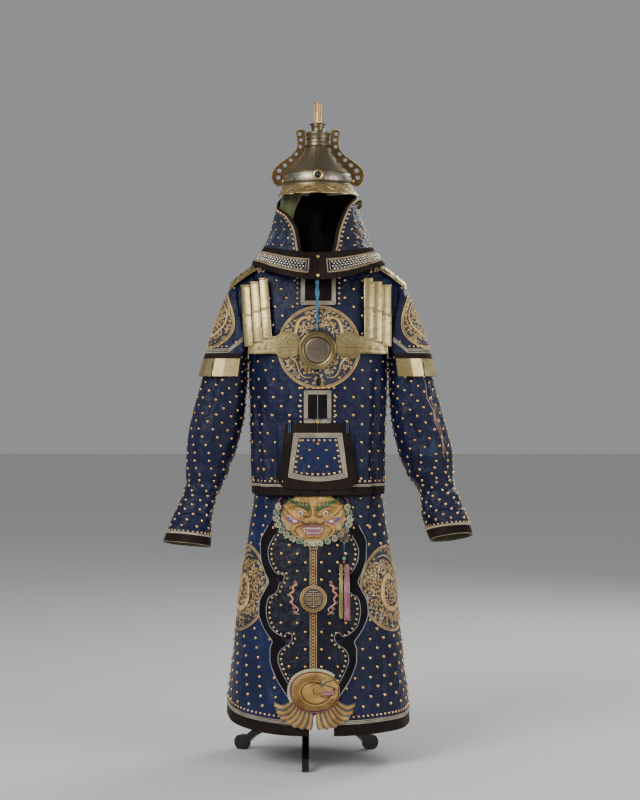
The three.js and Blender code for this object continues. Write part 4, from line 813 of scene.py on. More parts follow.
WORN = thread("worn_pink_tan", (0.30, 0.17, 0.11), (0.52, 0.33, 0.23), 0.0, 160.0, 0.8)
PALE_BRASS = metal("pale_studs", (0.60, 0.52, 0.38), (0.90, 0.84, 0.68), 0.3)
BAND_IRON = metal("band_iron", (0.24, 0.21, 0.15), (0.46, 0.42, 0.33), 0.36, (0.16, 0.14, 0.10))
GREY_THREAD = thread("grey_silk", (0.06, 0.052, 0.05), (0.17, 0.15, 0.14), 0.05, 300.0, 0.6)
YELLOW_SILK = thread("yellow_silk", (0.22, 0.20, 0.055), (0.50, 0.46, 0.18), 0.0, 60.0, 0.6)
PINK_SILK = thread("pink_silk", (0.30, 0.11, 0.14), (0.60, 0.30, 0.34), 0.0, 60.0, 0.6)
RED_BEAD = metal("red_bead", (0.30, 0.03, 0.02), (0.55, 0.10, 0.06), 0.3, None, 0.0)


# Coat

def slit(sizes, z, reach):
    return (0.2 / sizes[reach](z)) ** (sizes["power"](z) / 2)


COAT_LEVELS = np.linspace(816.2, 1502, 84)
HEM_LEVELS = np.array([790.0, 791.5, 797, 803, 809, 814.5, 815.8])


def coat_panel(name, material, start, end, levels, count, side=0, lift=0.0):
    """A panel of the coat, with its armhole cut out where a side is given."""
    u, v = sheet_grid(start, end, levels, count)
    keep = armhole_mask(side, u, v) if side else None
    piece = shell(f"{name}_cloth", material, coat, u, v, ROUND, lift, WALL, keep=keep,
                  cut=("hung", ["dress_form"]))
    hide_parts(name)


def front_edges(side, levels):
    start = FRONT + side * slit(coat_at, levels, "width")
    side_gap = slit(coat_at, levels, "back")
    return start, -side_gap if side > 0 else -math.pi + side_gap


def make_coat():
    side_gap = slit(coat_at, COAT_LEVELS, "back")
    for side, label in SIDES:
        coat_panel(f"coat_front_{label}", SATIN, *front_edges(side, COAT_LEVELS), COAT_LEVELS, 46, side)
    for side, label in SIDES:
        spine = BACK - side * slit(coat_at, COAT_LEVELS, "width")
        edges = (side_gap, spine) if side > 0 else (spine, math.pi - side_gap)
        coat_panel(f"coat_back_{label}", SATIN, *edges, COAT_LEVELS, 44, side)
    puff = 0.6 * np.sin((HEM_LEVELS[:, None] - COAT_LOW) / 26 * math.pi)
    for side, label in SIDES:
        coat_panel(f"coat_hem_front_{label}", VELVET, *front_edges(side, HEM_LEVELS), HEM_LEVELS, 46, 0, puff)
    side_gap = slit(coat_at, HEM_LEVELS, "back")
    coat_panel("coat_hem_back", VELVET, side_gap, math.pi - side_gap, HEM_LEVELS, 90)


def armhole_mask(side, u, v):
    point = coat(u, v)
    inside = (point[..., 1] / 77) ** 2 + ((point[..., 2] - ARMHOLE_Z) / 93) ** 2 < 1
    inside = inside & (point[..., 0] * side > 100)
    cell = inside[1:, 1:] & inside[:-1, :-1] & inside[1:, :-1] & inside[:-1, 1:]
    return ~cell


# Sleeves

def sleeve_of(side):
    return LEFT_SLEEVE if side < 0 else RIGHT_SLEEVE


def make_sleeves():
    head, rest = np.linspace(0, 1, 7)[:-1], np.linspace(1, 13, 104)
    rows = np.concatenate([head, rest])[:, None]
    seam = 0.0033
    for side, label in SIDES:
        for half, start, end in (("front", -math.pi + seam, -seam), ("back", seam, math.pi - seam)):
            angles = np.linspace(start, end, 36)[None, :]
            piece = shell(f"sleeve_{label}_{half}_cloth", SATIN, sleeve_of(side), angles, rows, ARM, 0.0,
                          WALL, arm_middle(side), cut=("hung", ["dress_form"]), inside=LINING)
            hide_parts(f"sleeve_{label}_{half}")
        make_cuff(side, label)


def make_cuff(side, label):
    surface, middle = sleeve_of(side), arm_middle(side)
    angles = full_turn(76)[None, :]
    rows = np.linspace(13.01, 15, 18)[:, None]
    piece = shell(f"cuff_{label}_cloth", SATIN, surface, angles, rows, ARM, 0.0, WALL, middle, True,
                  cut=("hung", [f"sleeve_{label}_front_cloth"]), inside=LINING)
    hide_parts(f"cuff_{label}")
    rows = np.linspace(14.3, 15.01, 9)[:, None]
    band = shell(f"cuff_{label}_velvet", VELVET, surface, angles, rows, ARM, 0.9, 0.8, middle, True)


# Skirt

GAP = {"left": (-25, -4), "right": (46, 6), "back": (9, 1)}  # X of each edge at the hem and at the top


HEM_BAND = 30


def blend_z(pair, z):
    return pair[0] + (pair[1] - pair[0]) * (z - SKIRT_LOW) / (SKIRT_TOP - SKIRT_LOW)


def skirt_grid(side, shares, count):
    level = SKIRT_TOP - (SKIRT_TOP - SKIRT_LOW) * shares
    front = angle_at_x(skirt_at, blend_z(GAP["left" if side < 0 else "right"], level), level)
    back = angle_at_x(skirt_at, side * blend_z(GAP["back"], level), level, 1)
    return between(front, back if side > 0 else back - 2 * math.pi, count)


def make_skirt():
    for side, label in SIDES:
        # The left panel takes the lighter satin as painted light on its lit side.
        material = BRIGHT_SATIN if side < 0 else SATIN
        shares = np.linspace(0, 1, 76)
        u = skirt_grid(side, shares, 90)
        seam = hem_z(u) + HEM_BAND
        v = SKIRT_TOP + (seam - SKIRT_TOP) * shares[:, None]
        piece = shell(f"skirt_{label}_cloth", material, skirt, u, v, ROUND, cut=("hung", ["dress_form"]),
                      inside=LINING)
        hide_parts(f"skirt_{label}")
        u = np.repeat(u[-1:], 8, axis=0)
        v = seam[-1:] - np.array([0.4, 2, 7, 13, 19, 25, 29, 30])[:, None]
        piece = shell(f"skirt_hem_{label}_cloth", VELVET, skirt, u, v, ROUND, 0.4, WALL + 0.4,
                      cut=("hung", [f"skirt_{label}_cloth"]))
        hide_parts(f"skirt_hem_{label}")


def make_apron():
    z = np.linspace(APRON_HIGH, APRON_LOW, 106)
    half = apron_half(z)
    u, v = sheet_grid(APRON_X - half, APRON_X + half, z, 48)
    lift = APRON_LIFT + 0.5 * skirt_waves(u, v)
    piece = shell("apron_cloth", DARK_SATIN, apron_surface, u, v, FLAT, lift, WALL,
                  cut=("hung", ["dress_form"]))
    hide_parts("apron")


# Hood, collar and lining

HOOD_DROPS = np.linspace(0, 0.992, 44)
NAPE, NAPE_SEAM = math.radians(32), 0.0018  # where the nape's panel starts, and half its seam


def flap_reach(label, drops):
    """The angle that a flap's front edge reaches at each drop."""
    return -np.radians(flap_at[label](np.maximum(drops, 0.12)))


def hood_panel(name, start, end):
    u, v = sheet_grid(start, end, HOOD_DROPS, 44)
    # Its inside takes the darkened green lining: painted shade for the hollow of the hood.
    piece = shell(f"{name}_cloth", FADED_SATIN, mantle, u, v, RINGS, cut=("hung", ["helmet_bowl"]),
                  inside=SHADED_LINING)
    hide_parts(name)


def make_hood():
    for side, label in SIDES:
        reach = flap_reach(label, HOOD_DROPS)
        start = reach if side > 0 else math.pi - reach
        end = NAPE - NAPE_SEAM if side > 0 else math.pi - NAPE + NAPE_SEAM
        hood_panel(f"hood_flap_{label}", start, end)
        start, end = FRONT + 0.003, BACK - 0.003
        if side < 0:
            start, end = FRONT + 2 * math.pi - 0.003, BACK + 0.003
        u, v = sheet_grid(start, end, np.linspace(1.0, 2.0, 22), 160)
        piece = shell(f"collar_{label}_cloth", VELVET, mantle, u, v, RINGS, gathered(u, v), WALL,
                      cut=("gathered", [f"hood_flap_{label}_cloth"]))
        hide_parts(f"collar_{label}")
    hood_panel("hood_nape", NAPE + NAPE_SEAM, math.pi - NAPE - NAPE_SEAM)


def gathered(u, v):
    """Fine gathers of the velvet at the collar's upper and lower borders."""
    edge = np.minimum(v - 1.0, 2.0 - v)
    border = 1 - fade((edge - 0.2) / 0.12)
    ripple = np.sin(u * 62 + 3 * np.sin(u * 9)) + 0.6 * np.sin(u * 97 + 2)
    return border * (1.2 + 1.3 * ripple) - 0.3


LINING_START = math.radians(190)


def rippled(angle, drop):
    point = mantle(angle, drop)
    start = LINING_START
    inset = 0.948 - 0.34 * (angle - start) + 0.02 * np.sin((angle - start) * 22)
    inset = inset + 0.012 * np.sin((angle - start) * 47 + drop * 11)
    return point * stacked(inset, inset, 1.0)


def make_lining():
    drops = np.linspace(0.1, 0.62, 30)
    end = LINING_START + np.radians(48 - 30 * drops)
    u, v = sheet_grid(LINING_START, end, drops, 36)
    piece = shell("hood_lining_cloth", LINING, rippled, u, v, RINGS, 0.0, 1.2,
                  cut=("gathered", ["hood_flap_left_cloth"]))
    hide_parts("hood_lining")


# Small work laid on the cloth

def flat_path(path, place):
    path = np.asarray(path, float)
    u, v = place(path[:, 0], path[:, 1])
    return np.stack(np.broadcast_arrays(u, v), -1)


def stroke_object(name, material, surface, steps, strokes, place=None, lift=0.0, middle=None, sides=4):
    """Raised strokes in one piece, each (path, half width, height) with an optional closed mark."""
    parts = []
    for path, half_width, height, *closed in strokes:
        path = path if place is None else flat_path(path, place)
        parts.append(laid_cord(surface, steps, path, half_width, height, lift, bool(closed and closed[0]),
                               middle, sides))
    return trim(name, joined_mesh(parts), material)


def stud_object(name, surface, steps, places, radius, lift=0.0, middle=None, material=None, keep=None,
                around=7):
    places = np.asarray(places, float).reshape(-1, 2)
    point, normal = normals(surface, places[:, 0], places[:, 1], steps, middle)
    point = point + normal * lift
    if keep is not None:
        chosen = keep(point)
        point, normal = point[chosen], normal[chosen]
    return trim(name, domes(point, normal, radius, around), material or BRASS)


def spaced(surface, path, spacing, start=0.0):
    """Places along a path on a surface, evenly spaced by real length."""
    path = np.asarray(path, float)
    point = surface(path[:, 0], path[:, 1])
    length = np.concatenate([[0], np.cumsum(np.linalg.norm(np.diff(point, axis=0), axis=-1))])
    marks = np.arange(start, length[-1], spacing)
    return np.stack([np.interp(marks, length, path[:, 0]), np.interp(marks, length, path[:, 1])], -1)


def level_path(start, end, z, count=240):
    return np.stack([np.linspace(start, end, count), np.full(count, float(z))], -1)


def lattice(surface, start, end, levels, spacing):
    """Staggered places in rows round a surface, counted from where the rows start."""
    rows = [spaced(surface, level_path(start, end, z), spacing, spacing * (0.3 + 0.5 * (i % 2)))
            for i, z in enumerate(levels)]
    return np.concatenate(rows)


def around_point(surface, angle, z):
    """Maps millimetres from a point of a round surface to its own coordinates."""
    turns = angle + np.linspace(-1.3, 1.3, 521)
    steps = np.linalg.norm(np.diff(surface(turns, np.full(turns.shape, float(z))), axis=0), axis=1)
    reach = np.concatenate([[0.0], np.cumsum(steps)])
    reach = reach - np.interp(angle, turns, reach)
    rise = np.linalg.norm(surface(angle, z + 1.0) - surface(angle, z - 1.0)) / 2

    def place(x, y):
        return np.interp(x, reach, turns), z + y / rise
    return place


# Couched ornament: generic coiling dragons among clouds

def curve_through(points, count):
    points = np.asarray(points, float)
    spots = np.linspace(0, len(points) - 1, count)
    i = np.clip(spots.astype(int), 0, len(points) - 2)
    t = (spots - i)[:, None]
    p1, p2 = points[i], points[i + 1]
    p0 = points[np.maximum(i - 1, 0)]
    p3 = points[np.minimum(i + 2, len(points) - 1)]
    return 0.5 * (2 * p1 + (p2 - p0) * t + (2 * p0 - 5 * p1 + 4 * p2 - p3) * t ** 2
                  + (3 * p1 - p0 - 3 * p2 + p3) * t ** 3)


def spiral(x, y, size, start, turns=1.3, spin=1, count=12):
    t = np.linspace(0, 1, count)
    radius = size * (0.14 + 0.86 * t)
    angle = start + spin * turns * 2 * math.pi * t
    return np.stack([x + radius * np.cos(angle), y + radius * np.sin(angle)], -1)


def circle(x, y, radius, count=48):
    angle = full_turn(count)
    return np.stack([x + radius * np.cos(angle), y + radius * np.sin(angle)], -1)


def taper(count, start, end, belly=1.0):
    t = np.linspace(0, 1, count)
    return (start + (end - start) * t) * (1 + (belly - 1) * np.sin(math.pi * t))


def cloud(x, y, size, heading, spin):
    """A cloud of two curls with a short tail."""
    dx, dy = math.cos(heading), math.sin(heading)
    tail = curve_through([(x, y), (x - dx * size, y - dy * size * 0.7 + size * 0.2),
                          (x - dx * size * 1.9 + dy * size * 0.5, y - dy * size * 1.9 - dx * size * 0.5)], 5)
    return [
        (spiral(x + dx * size * 0.5, y + dy * size * 0.5, size * 0.75, heading, 1.25, spin, 10), 0.95, 1.7),
        (spiral(x - dy * size * 0.7, y + dx * size * 0.7, size * 0.55, heading + 2, 1.1, -spin, 8), 0.9, 1.6),
        (tail, taper(5, 1.4, 0.5), 1.5),
    ]


DRAGON_LEGS = ((0.2, 1), (0.3, -1), (0.58, 1), (0.66, -1))  # share of the way down the body, side


def dragon_back(body, width, along, out, size):
    """Rows of scales across the body, and the fin down its back."""
    strokes, count = [], len(body)
    for i in range(4, count - 8, 2):
        reach = out[i] * width[i] * 0.9
        row = curve_through((body[i] - reach, body[i] + along[i] * size * 0.22, body[i] + reach), 5)
        strokes.append((row, 0.55, size * 0.72))
    for i in range(2, count - 6, 3):
        root = body[i] + out[i] * width[i] * 0.9
        tip = root + out[i] * size * 0.34 - along[i] * size * 0.25
        fin = np.array([root, (root + tip) / 2 + along[i] * 0.5, tip])
        strokes.append((fin, np.array([1.1, 0.8, 0.2]), 1.6))
    return strokes


def dragon_leg(root, out, along, size):
    """A bent leg and its four claws."""
    knee = root + out * size * 1.1 + along * size * 0.5
    foot = knee + out * size * 0.7 - along * size * 1.1
    leg = (curve_through([root, knee, foot], 9), taper(9, size * 0.32, size * 0.16), size * 0.36)
    heading = (foot - knee) / np.linalg.norm(foot - knee)
    claws = []
    for spread in (-0.9, -0.3, 0.3, 0.9):
        turn = np.array([heading[0] * math.cos(spread) - heading[1] * math.sin(spread),
                         heading[0] * math.sin(spread) + heading[1] * math.cos(spread)])
        bend = foot + turn * size * 0.4
        claw = curve_through([foot, bend, foot + turn * size * 0.55 + heading * size * 0.2], 5)
        claws.append((claw, taper(5, 0.9, 0.25), 1.5))
    return leg, claws


def dragon_face(head, way, side, size):
    """The snout and, on both sides, a horn, a whisker and four locks of mane."""
    snout = [head + way * size * 1.2, head + way * size * 0.5, head - way * size * 0.3]
    gold = [(curve_through(snout, 9), taper(9, size * 0.42, size * 0.8), size * 0.62)]
    pale = []
    for s in (-1, 1):
        horn = [head + side * s * size * 0.5, head + side * s * size * 1.1 - way * size * 0.5,
                head + side * s * size * 0.9 - way * size * 1.6]
        gold.append((curve_through(horn, 8), taper(8, 1.5, 0.4), 2.0))
        whisker = [head + way * size * 1.1 + side * s * size * 0.3,
                   head + way * size * 1.9 + side * s * size * 1.0,
                   head + way * size * 1.1 + side * s * size * 1.9,
                   head + way * size * 0.2 + side * s * size * 1.6]
        pale.append((curve_through(whisker, 12), taper(12, 0.8, 0.35), 1.4))
        for k in range(4):
            start = head - way * size * (0.2 + 0.2 * k) + side * s * size * (0.75 - 0.05 * k)
            tip = start + side * s * size * (0.75 - 0.1 * k) - way * size * (0.5 + 0.12 * k)
            lock = curve_through([start, (start + tip) / 2 + way * size * 0.2, tip], 6)
            pale.append((lock, taper(6, 1.0, 0.3), 1.5))
    return gold, pale


def dragon(path, size, spin=1):
    """A dragon along a path: scaled body, back fin, legs with claws, mane, horns and whiskers."""
    body = curve_through(path, 90)
    count = len(body)
    t = np.linspace(0, 1, count)
    width = size * (0.62 + 0.5 * np.sin(math.pi * np.clip(t * 1.25, 0, 1))) * (1 - 0.86 * t ** 2.2)
    scales = 1 + 0.16 * np.abs(np.sin(np.arange(count) * 1.25))
    along = np.gradient(body, axis=0)
    along /= np.linalg.norm(along, axis=1, keepdims=True)
    out = np.stack([-along[:, 1], along[:, 0]], -1) * spin
    gold = [(body, width, size * 0.42 * scales)]
    pale = [(body - out * width[:, None] * 0.5, 0.7, size * 0.5)]
    pale += dragon_back(body, width, along, out, size)
    for share, way in DRAGON_LEGS:
        i = int(share * count)
        leg, claws = dragon_leg(body[i] + out[i] * way * width[i] * 0.8, out[i] * way, along[i], size)
        gold.append(leg)
        pale += claws
    head, way, side = body[0], -along[0], out[0]
    face_gold, face_pale = dragon_face(head, way, side, size)
    eyes = np.array([head + way * size * 0.25 + side * s * size * 0.34 for s in (-1, 1)])
    return gold + face_gold, pale + face_pale, eyes, body


def sea_waves(radius):
    """Three bows of water at each of seven places along the foot of a medallion, and the places they take."""
    gold, pale, taken = [], [], []
    for k in range(-3, 4):
        x = k * radius * 0.19
        y = -math.sqrt(max(0.0, (radius - 9) ** 2 - x * x)) + 2
        for n in range(3):
            arc = np.linspace(math.pi * 0.05, math.pi * 0.95, 9)
            size = radius * (0.045 + 0.038 * n)
            bow = np.stack([x + size * np.cos(arc), y + size * np.sin(arc)], -1)
            (gold if n % 2 else pale).append((bow, 0.75, 1.2))
            taken.append([x, y + size, 4.0])
    return gold, pale, taken


CLOUD_TRIES = 2600


def add_clouds(gold, pale, taken, radius, seed, keep_out):
    """Clouds at random places that are still free."""
    source = np.random.default_rng(seed)
    placed = 0
    for _ in range(CLOUD_TRIES):
        x, y = source.uniform(-radius, radius, 2)
        size = source.uniform(3.6, 5.6)
        distance = math.hypot(x, y)
        if distance > radius - 9 - size or distance < keep_out + size:
            continue
        if (np.hypot(taken[:, 0] - x, taken[:, 1] - y) < taken[:, 2] + size * 0.86).any():
            continue
        strokes = cloud(x, y, size, source.uniform(0, 6.28), 1 if placed % 2 else -1)
        (gold if placed % 3 else pale).extend(strokes)
        taken = np.concatenate([taken, [[x, y, size * 0.8]]])
        placed += 1


def roundel_strokes(radius, dragons, seed, keep_out=0.0):
    """Strokes of a medallion: its rim, the given dragons, sea waves below and clouds in what is left."""
    gold = [(circle(0, 0, radius - 1.6, 96), 1.7, 2.6, True), (circle(0, 0, radius - 8, 96), 0.9, 1.6, True)]
    pale = [(circle(0, 0, radius - 5, 96), 0.8, 1.4, True)]
    eyes, taken = [], []
    for path, size, spin in dragons:
        new_gold, new_pale, new_eyes, body = dragon(path, size, spin)
        gold += new_gold
        pale += new_pale
        eyes.append(new_eyes)
        for stroke in new_gold[1:]:
            taken.append(np.concatenate([stroke[0], np.full((len(stroke[0]), 1), size * 0.5)], axis=1))
        taken.append(np.concatenate([body, np.full((len(body), 1), size * 0.95)], axis=1))
    new_gold, new_pale, spots = sea_waves(radius)
    gold += new_gold
    pale += new_pale
    add_clouds(gold, pale, np.concatenate([*taken, spots]), radius, seed, keep_out)
    return gold, pale, np.concatenate(eyes)


def outside_disc(strokes, radius):
    return [s for s in strokes if np.hypot(s[0][:, 0], s[0][:, 1]).min() > radius]


def inside_disc(strokes, radius):
    return [s for s in strokes if np.hypot(s[0][:, 0], s[0][:, 1]).max() < radius + 0.5]


def make_roundel(name, surface, steps, place, radius, dragons, seed, lift=0.4, middle=None, keep_out=0.0):
    gold, pale, eyes = roundel_strokes(radius, dragons, seed, keep_out)
    if keep_out:
        gold, pale = (outside_disc(strokes, keep_out - 3) for strokes in (gold, pale))
    for part, material, strokes in (("gold", GOLD_THREAD, gold), ("pale", PALE_THREAD, pale)):
        stroke_object(f"{name}_{part}", material, surface, steps, inside_disc(strokes, radius),
                      place, lift, middle)
    u, v = place(eyes[:, 0], eyes[:, 1])
    stud_object(f"{name}_eyes", surface, steps, np.stack([u, v], -1), 1.5, 3.2, middle, DARK_BEAD)
    ground = disc_ground(f"{name}_ground", surface, steps, place, radius, lift, middle)


GROUND_RINGS = np.array([0.25, 0.5, 0.75, 0.97, 1.0])[:, None]  # shares of the radius; the last lies flat
GROUND_RISE = 0.9


def disc_ground(name, surface, steps, place, radius, lift, middle):
    """The closely couched ground under a medallion, a thin raised disc."""
    angle = full_turn(72)
    rim = place(radius * GROUND_RINGS * np.cos(angle), radius * GROUND_RINGS * np.sin(angle))
    centre = place(np.zeros(1), np.zeros(1))
    rise = np.where(GROUND_RINGS < 0.99, GROUND_RISE, 0.0)
    flat = moved(surface, *rim, lift, steps, middle).reshape(-1, 3)
    top = moved(surface, *rim, lift + rise, steps, middle).reshape(-1, 3)
    flat_tip = moved(surface, *centre, lift, steps, middle)
    top_tip = moved(surface, *centre, lift + GROUND_RISE, steps, middle)
    points = np.concatenate([top, top_tip, flat - (top - flat), flat_tip])
    rings, count = len(GROUND_RINGS), len(angle)
    base, last = rings * count + 1, (rings - 1) * count
    faces = []
    for quad in ring_quads(rings, count):
        faces.append(quad[::-1])
        faces.append(tuple(base + q for q in quad))
    for j in range(count):
        k = (j + 1) % count
        faces.append((j, k, rings * count))
        faces.append((base + k, base + j, base + rings * count))
        faces.append((last + k, last + j, base + last + j, base + last + k))
    return make_object(name, points, turned_out(points, faces), COUCHED)


# Coat: studs, piping, frames and medallions

def off_front(point):
    """Where a coat stud shows: clear of the medallion, the frames, the flap and the armholes."""
    x, y, z = point[:, 0], point[:, 1], point[:, 2]
    front = y < 0
    covered = front & (np.hypot(x - 3, z - CHEST_Z) < 128)
    covered |= front & (np.abs(x + 1) < 60) & (z > 1340)
    covered |= front & (np.abs(x + 1) < 50) & (z > 990) & (z < 1105)
    covered |= front & (np.abs(x) < 124) & (z < 1004)
    covered |= ~front & (np.hypot(x, z - BACK_Z) < 142)
    covered |= (np.abs(x) > 120) & ((y / 90) ** 2 + ((z - ARMHOLE_Z) / 106) ** 2 < 1)
    covered |= z > 1470
    return ~covered


def dress_coat():
    levels = np.arange(838, 1470, 26.5)
    front = lattice(coat, FRONT + 0.02, FRONT + math.pi - 0.02, levels, 54)
    behind = lattice(coat, BACK + 0.03, BACK + math.pi - 0.03, levels, 54)
    stud_object("coat_studs", coat, ROUND, np.concatenate([front, behind]), 5.3, keep=off_front)
    hem_row = spaced(coat, level_path(0, 2 * math.pi, 830, 500), 15.5)
    stud_object("coat_hem_studs", coat, ROUND, hem_row, 4.3)
    ring = level_path(0, 2 * math.pi, 819.5, 300)[:-1]
    lower = level_path(0, 2 * math.pi, 815.5, 300)[:-1]
    seams = [(np.array([[a, z] for z in np.linspace(822, 1462, 60)]), 0.9, 1.2) for a in (0.0, -math.pi)]
    spine = [(np.array([[BACK, z] for z in np.linspace(822, 1490, 70)]), 1.3, 1.6)]
    stroke_object("coat_hem_piping", PIPING, coat, ROUND,
                  [(ring, 2.4, 3.4, True), (lower, 1.5, 2.4, True)] + spine, lift=0.2)
    stroke_object("coat_side_seams", DARK_SATIN, coat, ROUND, seams, lift=0.1)


def closed_outline(points, step=5):
    points = np.asarray(points, float)
    return resampled(np.concatenate([points, points[:1]]), step)[:-1]


def patch(name, material, surface, steps, left, right, levels, lift, thick, across=14):
    """A flat applied patch between two edges that are given at each level."""
    u, v = sheet_grid(left, right, np.asarray(levels, float), across)
    piece = shell(name, material, surface, u, v, steps, lift, thick)
    return piece


def make_frame(name, left, right, bottom, top, open_top, border=13.0):
    """A cream-piped frame round a velvet-edged opening with a slit down its middle."""
    levels = np.linspace(bottom, top, 24)
    patch(f"{name}_velvet", DEEP_VELVET, smooth_front, FLAT, left, right, levels, 2.6, 1.4)
    middle = (left + right) / 2
    lace_top = top - (0 if open_top else border)
    lace = np.array([[middle, z] for z in np.linspace(bottom + border, lace_top, 20)])
    stroke_object(f"{name}_lace", BLUE_PIPING, smooth_front, FLAT, [(lace, 1.0, 2.0)], lift=2.6)
    strokes = []
    for inset in (1.5, 4.5, 7.5, 10.5):
        high = top - (0 if open_top else inset)
        corners = [(left + inset, bottom + inset), (right - inset, bottom + inset), (right - inset, high),
                   (left + inset, high)]
        strokes.append((closed_outline(corners), 1.7, 2.6, True))
    stroke_object(f"{name}_piping", PIPING, smooth_front, FLAT, strokes, lift=2.4)


def make_frames():
    make_frame("neck_frame", -50, 52, 1346, 1432, True)
    make_frame("waist_frame", -41, 39, 1000, 1096, False)
    places = []
    for z in np.arange(1004, 1096, 15.5):
        places += [(-50.5, z), (48.5, z)]
    for z in np.arange(1350, 1430, 15.5):
        places += [(-60, z), (62, z)]
    for x in np.arange(-46, 50, 15.5):
        places.append((x, 1104))
    stud_object("frame_studs", smooth_front, FLAT, places, 4.2, 1.4)
    seam = np.array([[0.6, z] for z in np.linspace(1100, 1342, 60)])
    stroke_object("front_binding", VELVET, smooth_front, FLAT, [(seam, 5.0, 1.6)], lift=1.2)


def ring_path(start, end, near, far, radius, count=9):
    """Points circling a centre, from one angle in degrees to another, their distance changing on the way."""
    angle = np.radians(np.linspace(start, end, count))
    waver = 1 + 0.1 * np.sin(np.linspace(0, 0.62 * count, count))
    distance = radius * np.linspace(near, far, count) * waver
    return np.stack([distance * np.cos(angle), distance * np.sin(angle)], -1)


CHEST_RADIUS, BACK_RADIUS, SKIRT_RADIUS, GUARD_RADIUS = 122, 134, 128, 84
SKIRT_MEDALLIONS = {"left": -2.845, "right": -0.419}  # angle round the skirt
GUARD_TURN = -0.42


def make_medallions():
    """Two facing dragons on the chest, and one coiled dragon on every other medallion."""
    chest = [(ring_path(74, -76, 0.73, 0.72, CHEST_RADIUS, 25), 6.6, 1),
             (ring_path(106, 256, 0.73, 0.72, CHEST_RADIUS, 25), 6.6, -1)]
    make_roundel("chest_medallion", smooth_front, FLAT, lambda x, y: (x + 3, y + CHEST_Z), CHEST_RADIUS,
                 chest, 21, 1.2, keep_out=52)
    back = around_point(smooth_coat, BACK, BACK_Z)
    coil = [(ring_path(70, -330, 0.26, 0.76, BACK_RADIUS, 33), 9.6, 1)]
    make_roundel("back_medallion", smooth_coat, ROUND, lambda x, y: back(-x, y), BACK_RADIUS, coil, 22, 1.4)
    for label, turn in (("left", 1), ("right", -1)):
        place = around_point(skirt, SKIRT_MEDALLIONS[label], SKIRT_Z)
        path = ring_path(100, -300, 0.24, 0.76, SKIRT_RADIUS, 33) * [turn, 1]
        make_roundel(f"skirt_medallion_{label}", skirt, ROUND, place, SKIRT_RADIUS, [(path, 9.4, turn)],
                     23 + turn, 0.5)
    for side, label in SIDES:
        make_guard_medallion(side, label)


def make_guard_medallion(side, label):
    surface, step = guard(side), 0.01
    ahead, behind = surface(GUARD_TURN + step, GUARD_Z), surface(GUARD_TURN - step, GUARD_Z)
    speed = np.linalg.norm(ahead - behind) / (2 * step)
    path = ring_path(80, -300, 0.26, 0.75, GUARD_RADIUS, 31) * [side, 1]

    def place(x, y):
        return GUARD_TURN + side * x / speed, GUARD_Z + y
    make_roundel(f"guard_medallion_{label}", surface, ARM, place, GUARD_RADIUS, [(path, 6.4, side)],
                 26 + side, 0.5, guard_middle(side))


# Sleeves: studs, seams and cuff piping

def worn_lines(surface, middle):
    """Lines down the forearm where the satin has split and shows its tan base."""
    strokes = []
    for turn, start, end in ((-0.98, 5.5, 9.3), (-0.88, 6.4, 9.0), (-0.78, 7.2, 9.2)):
        rows = np.linspace(start, end, 46)
        path = np.stack([turn + 0.05 * np.sin(rows * 5 + turn * 9) + (rows - start) * 0.03, rows], -1)
        strokes.append((path, taper(46, 0.8, 0.8, 2.2), 1.2))
    for row in (6.6, 7.5, 8.3, 9.0):
        strokes.append((np.stack([np.linspace(-1.02, -0.66, 12), np.full(12, row)], -1), 1.0, 1.2))
    stroke_object("sleeve_right_worn_lines", WORN, surface, ARM, strokes, None, 0.0, middle)


def clear_of_guard(point):
    return ~((point[:, 2] > 1196) & (np.abs(point[:, 0]) < 350))


def dress_sleeves():
    for side, label in SIDES:
        surface, middle = sleeve_of(side), arm_middle(side)
        rows = [spaced(surface, level_path(0, 2 * math.pi, row, 200), 46, 23 * (i % 2))
                for i, row in enumerate(np.arange(2.2, 13.95, 0.36))]
        stud_object(f"sleeve_{label}_studs", surface, ARM, np.concatenate(rows), 4.9, 0.0, middle,
                    keep=clear_of_guard)
        if side > 0:
            worn_lines(surface, middle)
        rings = [(level_path(0, 2 * math.pi, row, 120)[:-1], 2.4, 3.2, True) for row in (14.2, 14.27)]
        stroke_object(f"cuff_{label}_piping", PIPING, surface, ARM, rings, None, 0.5, middle)
        edge = [(level_path(0, 2 * math.pi, 14.96, 120)[:-1], 1.0, 1.6, True)]
        stroke_object(f"cuff_{label}_edge", TAN, surface, ARM, edge, None, 0.3, middle)
        dots = spaced(surface, level_path(0, 2 * math.pi, 14.07, 200), 14)
        stud_object(f"cuff_{label}_studs", surface, ARM, dots, 3.7, 0.0, middle)


# Skirt: studs, piping and the front edge of its right panel

def off_skirt(point):
    x, y, z = point[:, 0], point[:, 1], point[:, 2]
    covered = (y < 0) & (np.abs(x - APRON_X) < apron_half(np.clip(z, APRON_LOW, APRON_HIGH))
                         + 5) & (z > APRON_LOW)
    for angle in SKIRT_MEDALLIONS.values():
        centre = skirt(np.array(angle), np.array(float(SKIRT_Z)))
        covered |= np.linalg.norm(point - centre, axis=1) < 133
    covered |= z > APRON_HIGH
    return ~covered


def clear_of_apron_foot(point):
    return ~((point[:, 1] < 0) & (point[:, 0] > -24) & (point[:, 0] < 62))


def hem_piping():
    """Three cords above the velvet hem, in two stretches each that stop at the front and the back."""
    strokes = []
    for up, width in ((3.5, 1.6), (7.5, 2.2), (12.0, 1.6)):
        for start, end in ((-1.48, BACK - 0.03), (BACK + 0.03, 3 * math.pi / 2 - 0.1)):
            part = np.linspace(start, end, 240)
            strokes.append((np.stack([part, hem_z(part) + HEM_BAND + up], -1), width, 2.8))
    return strokes


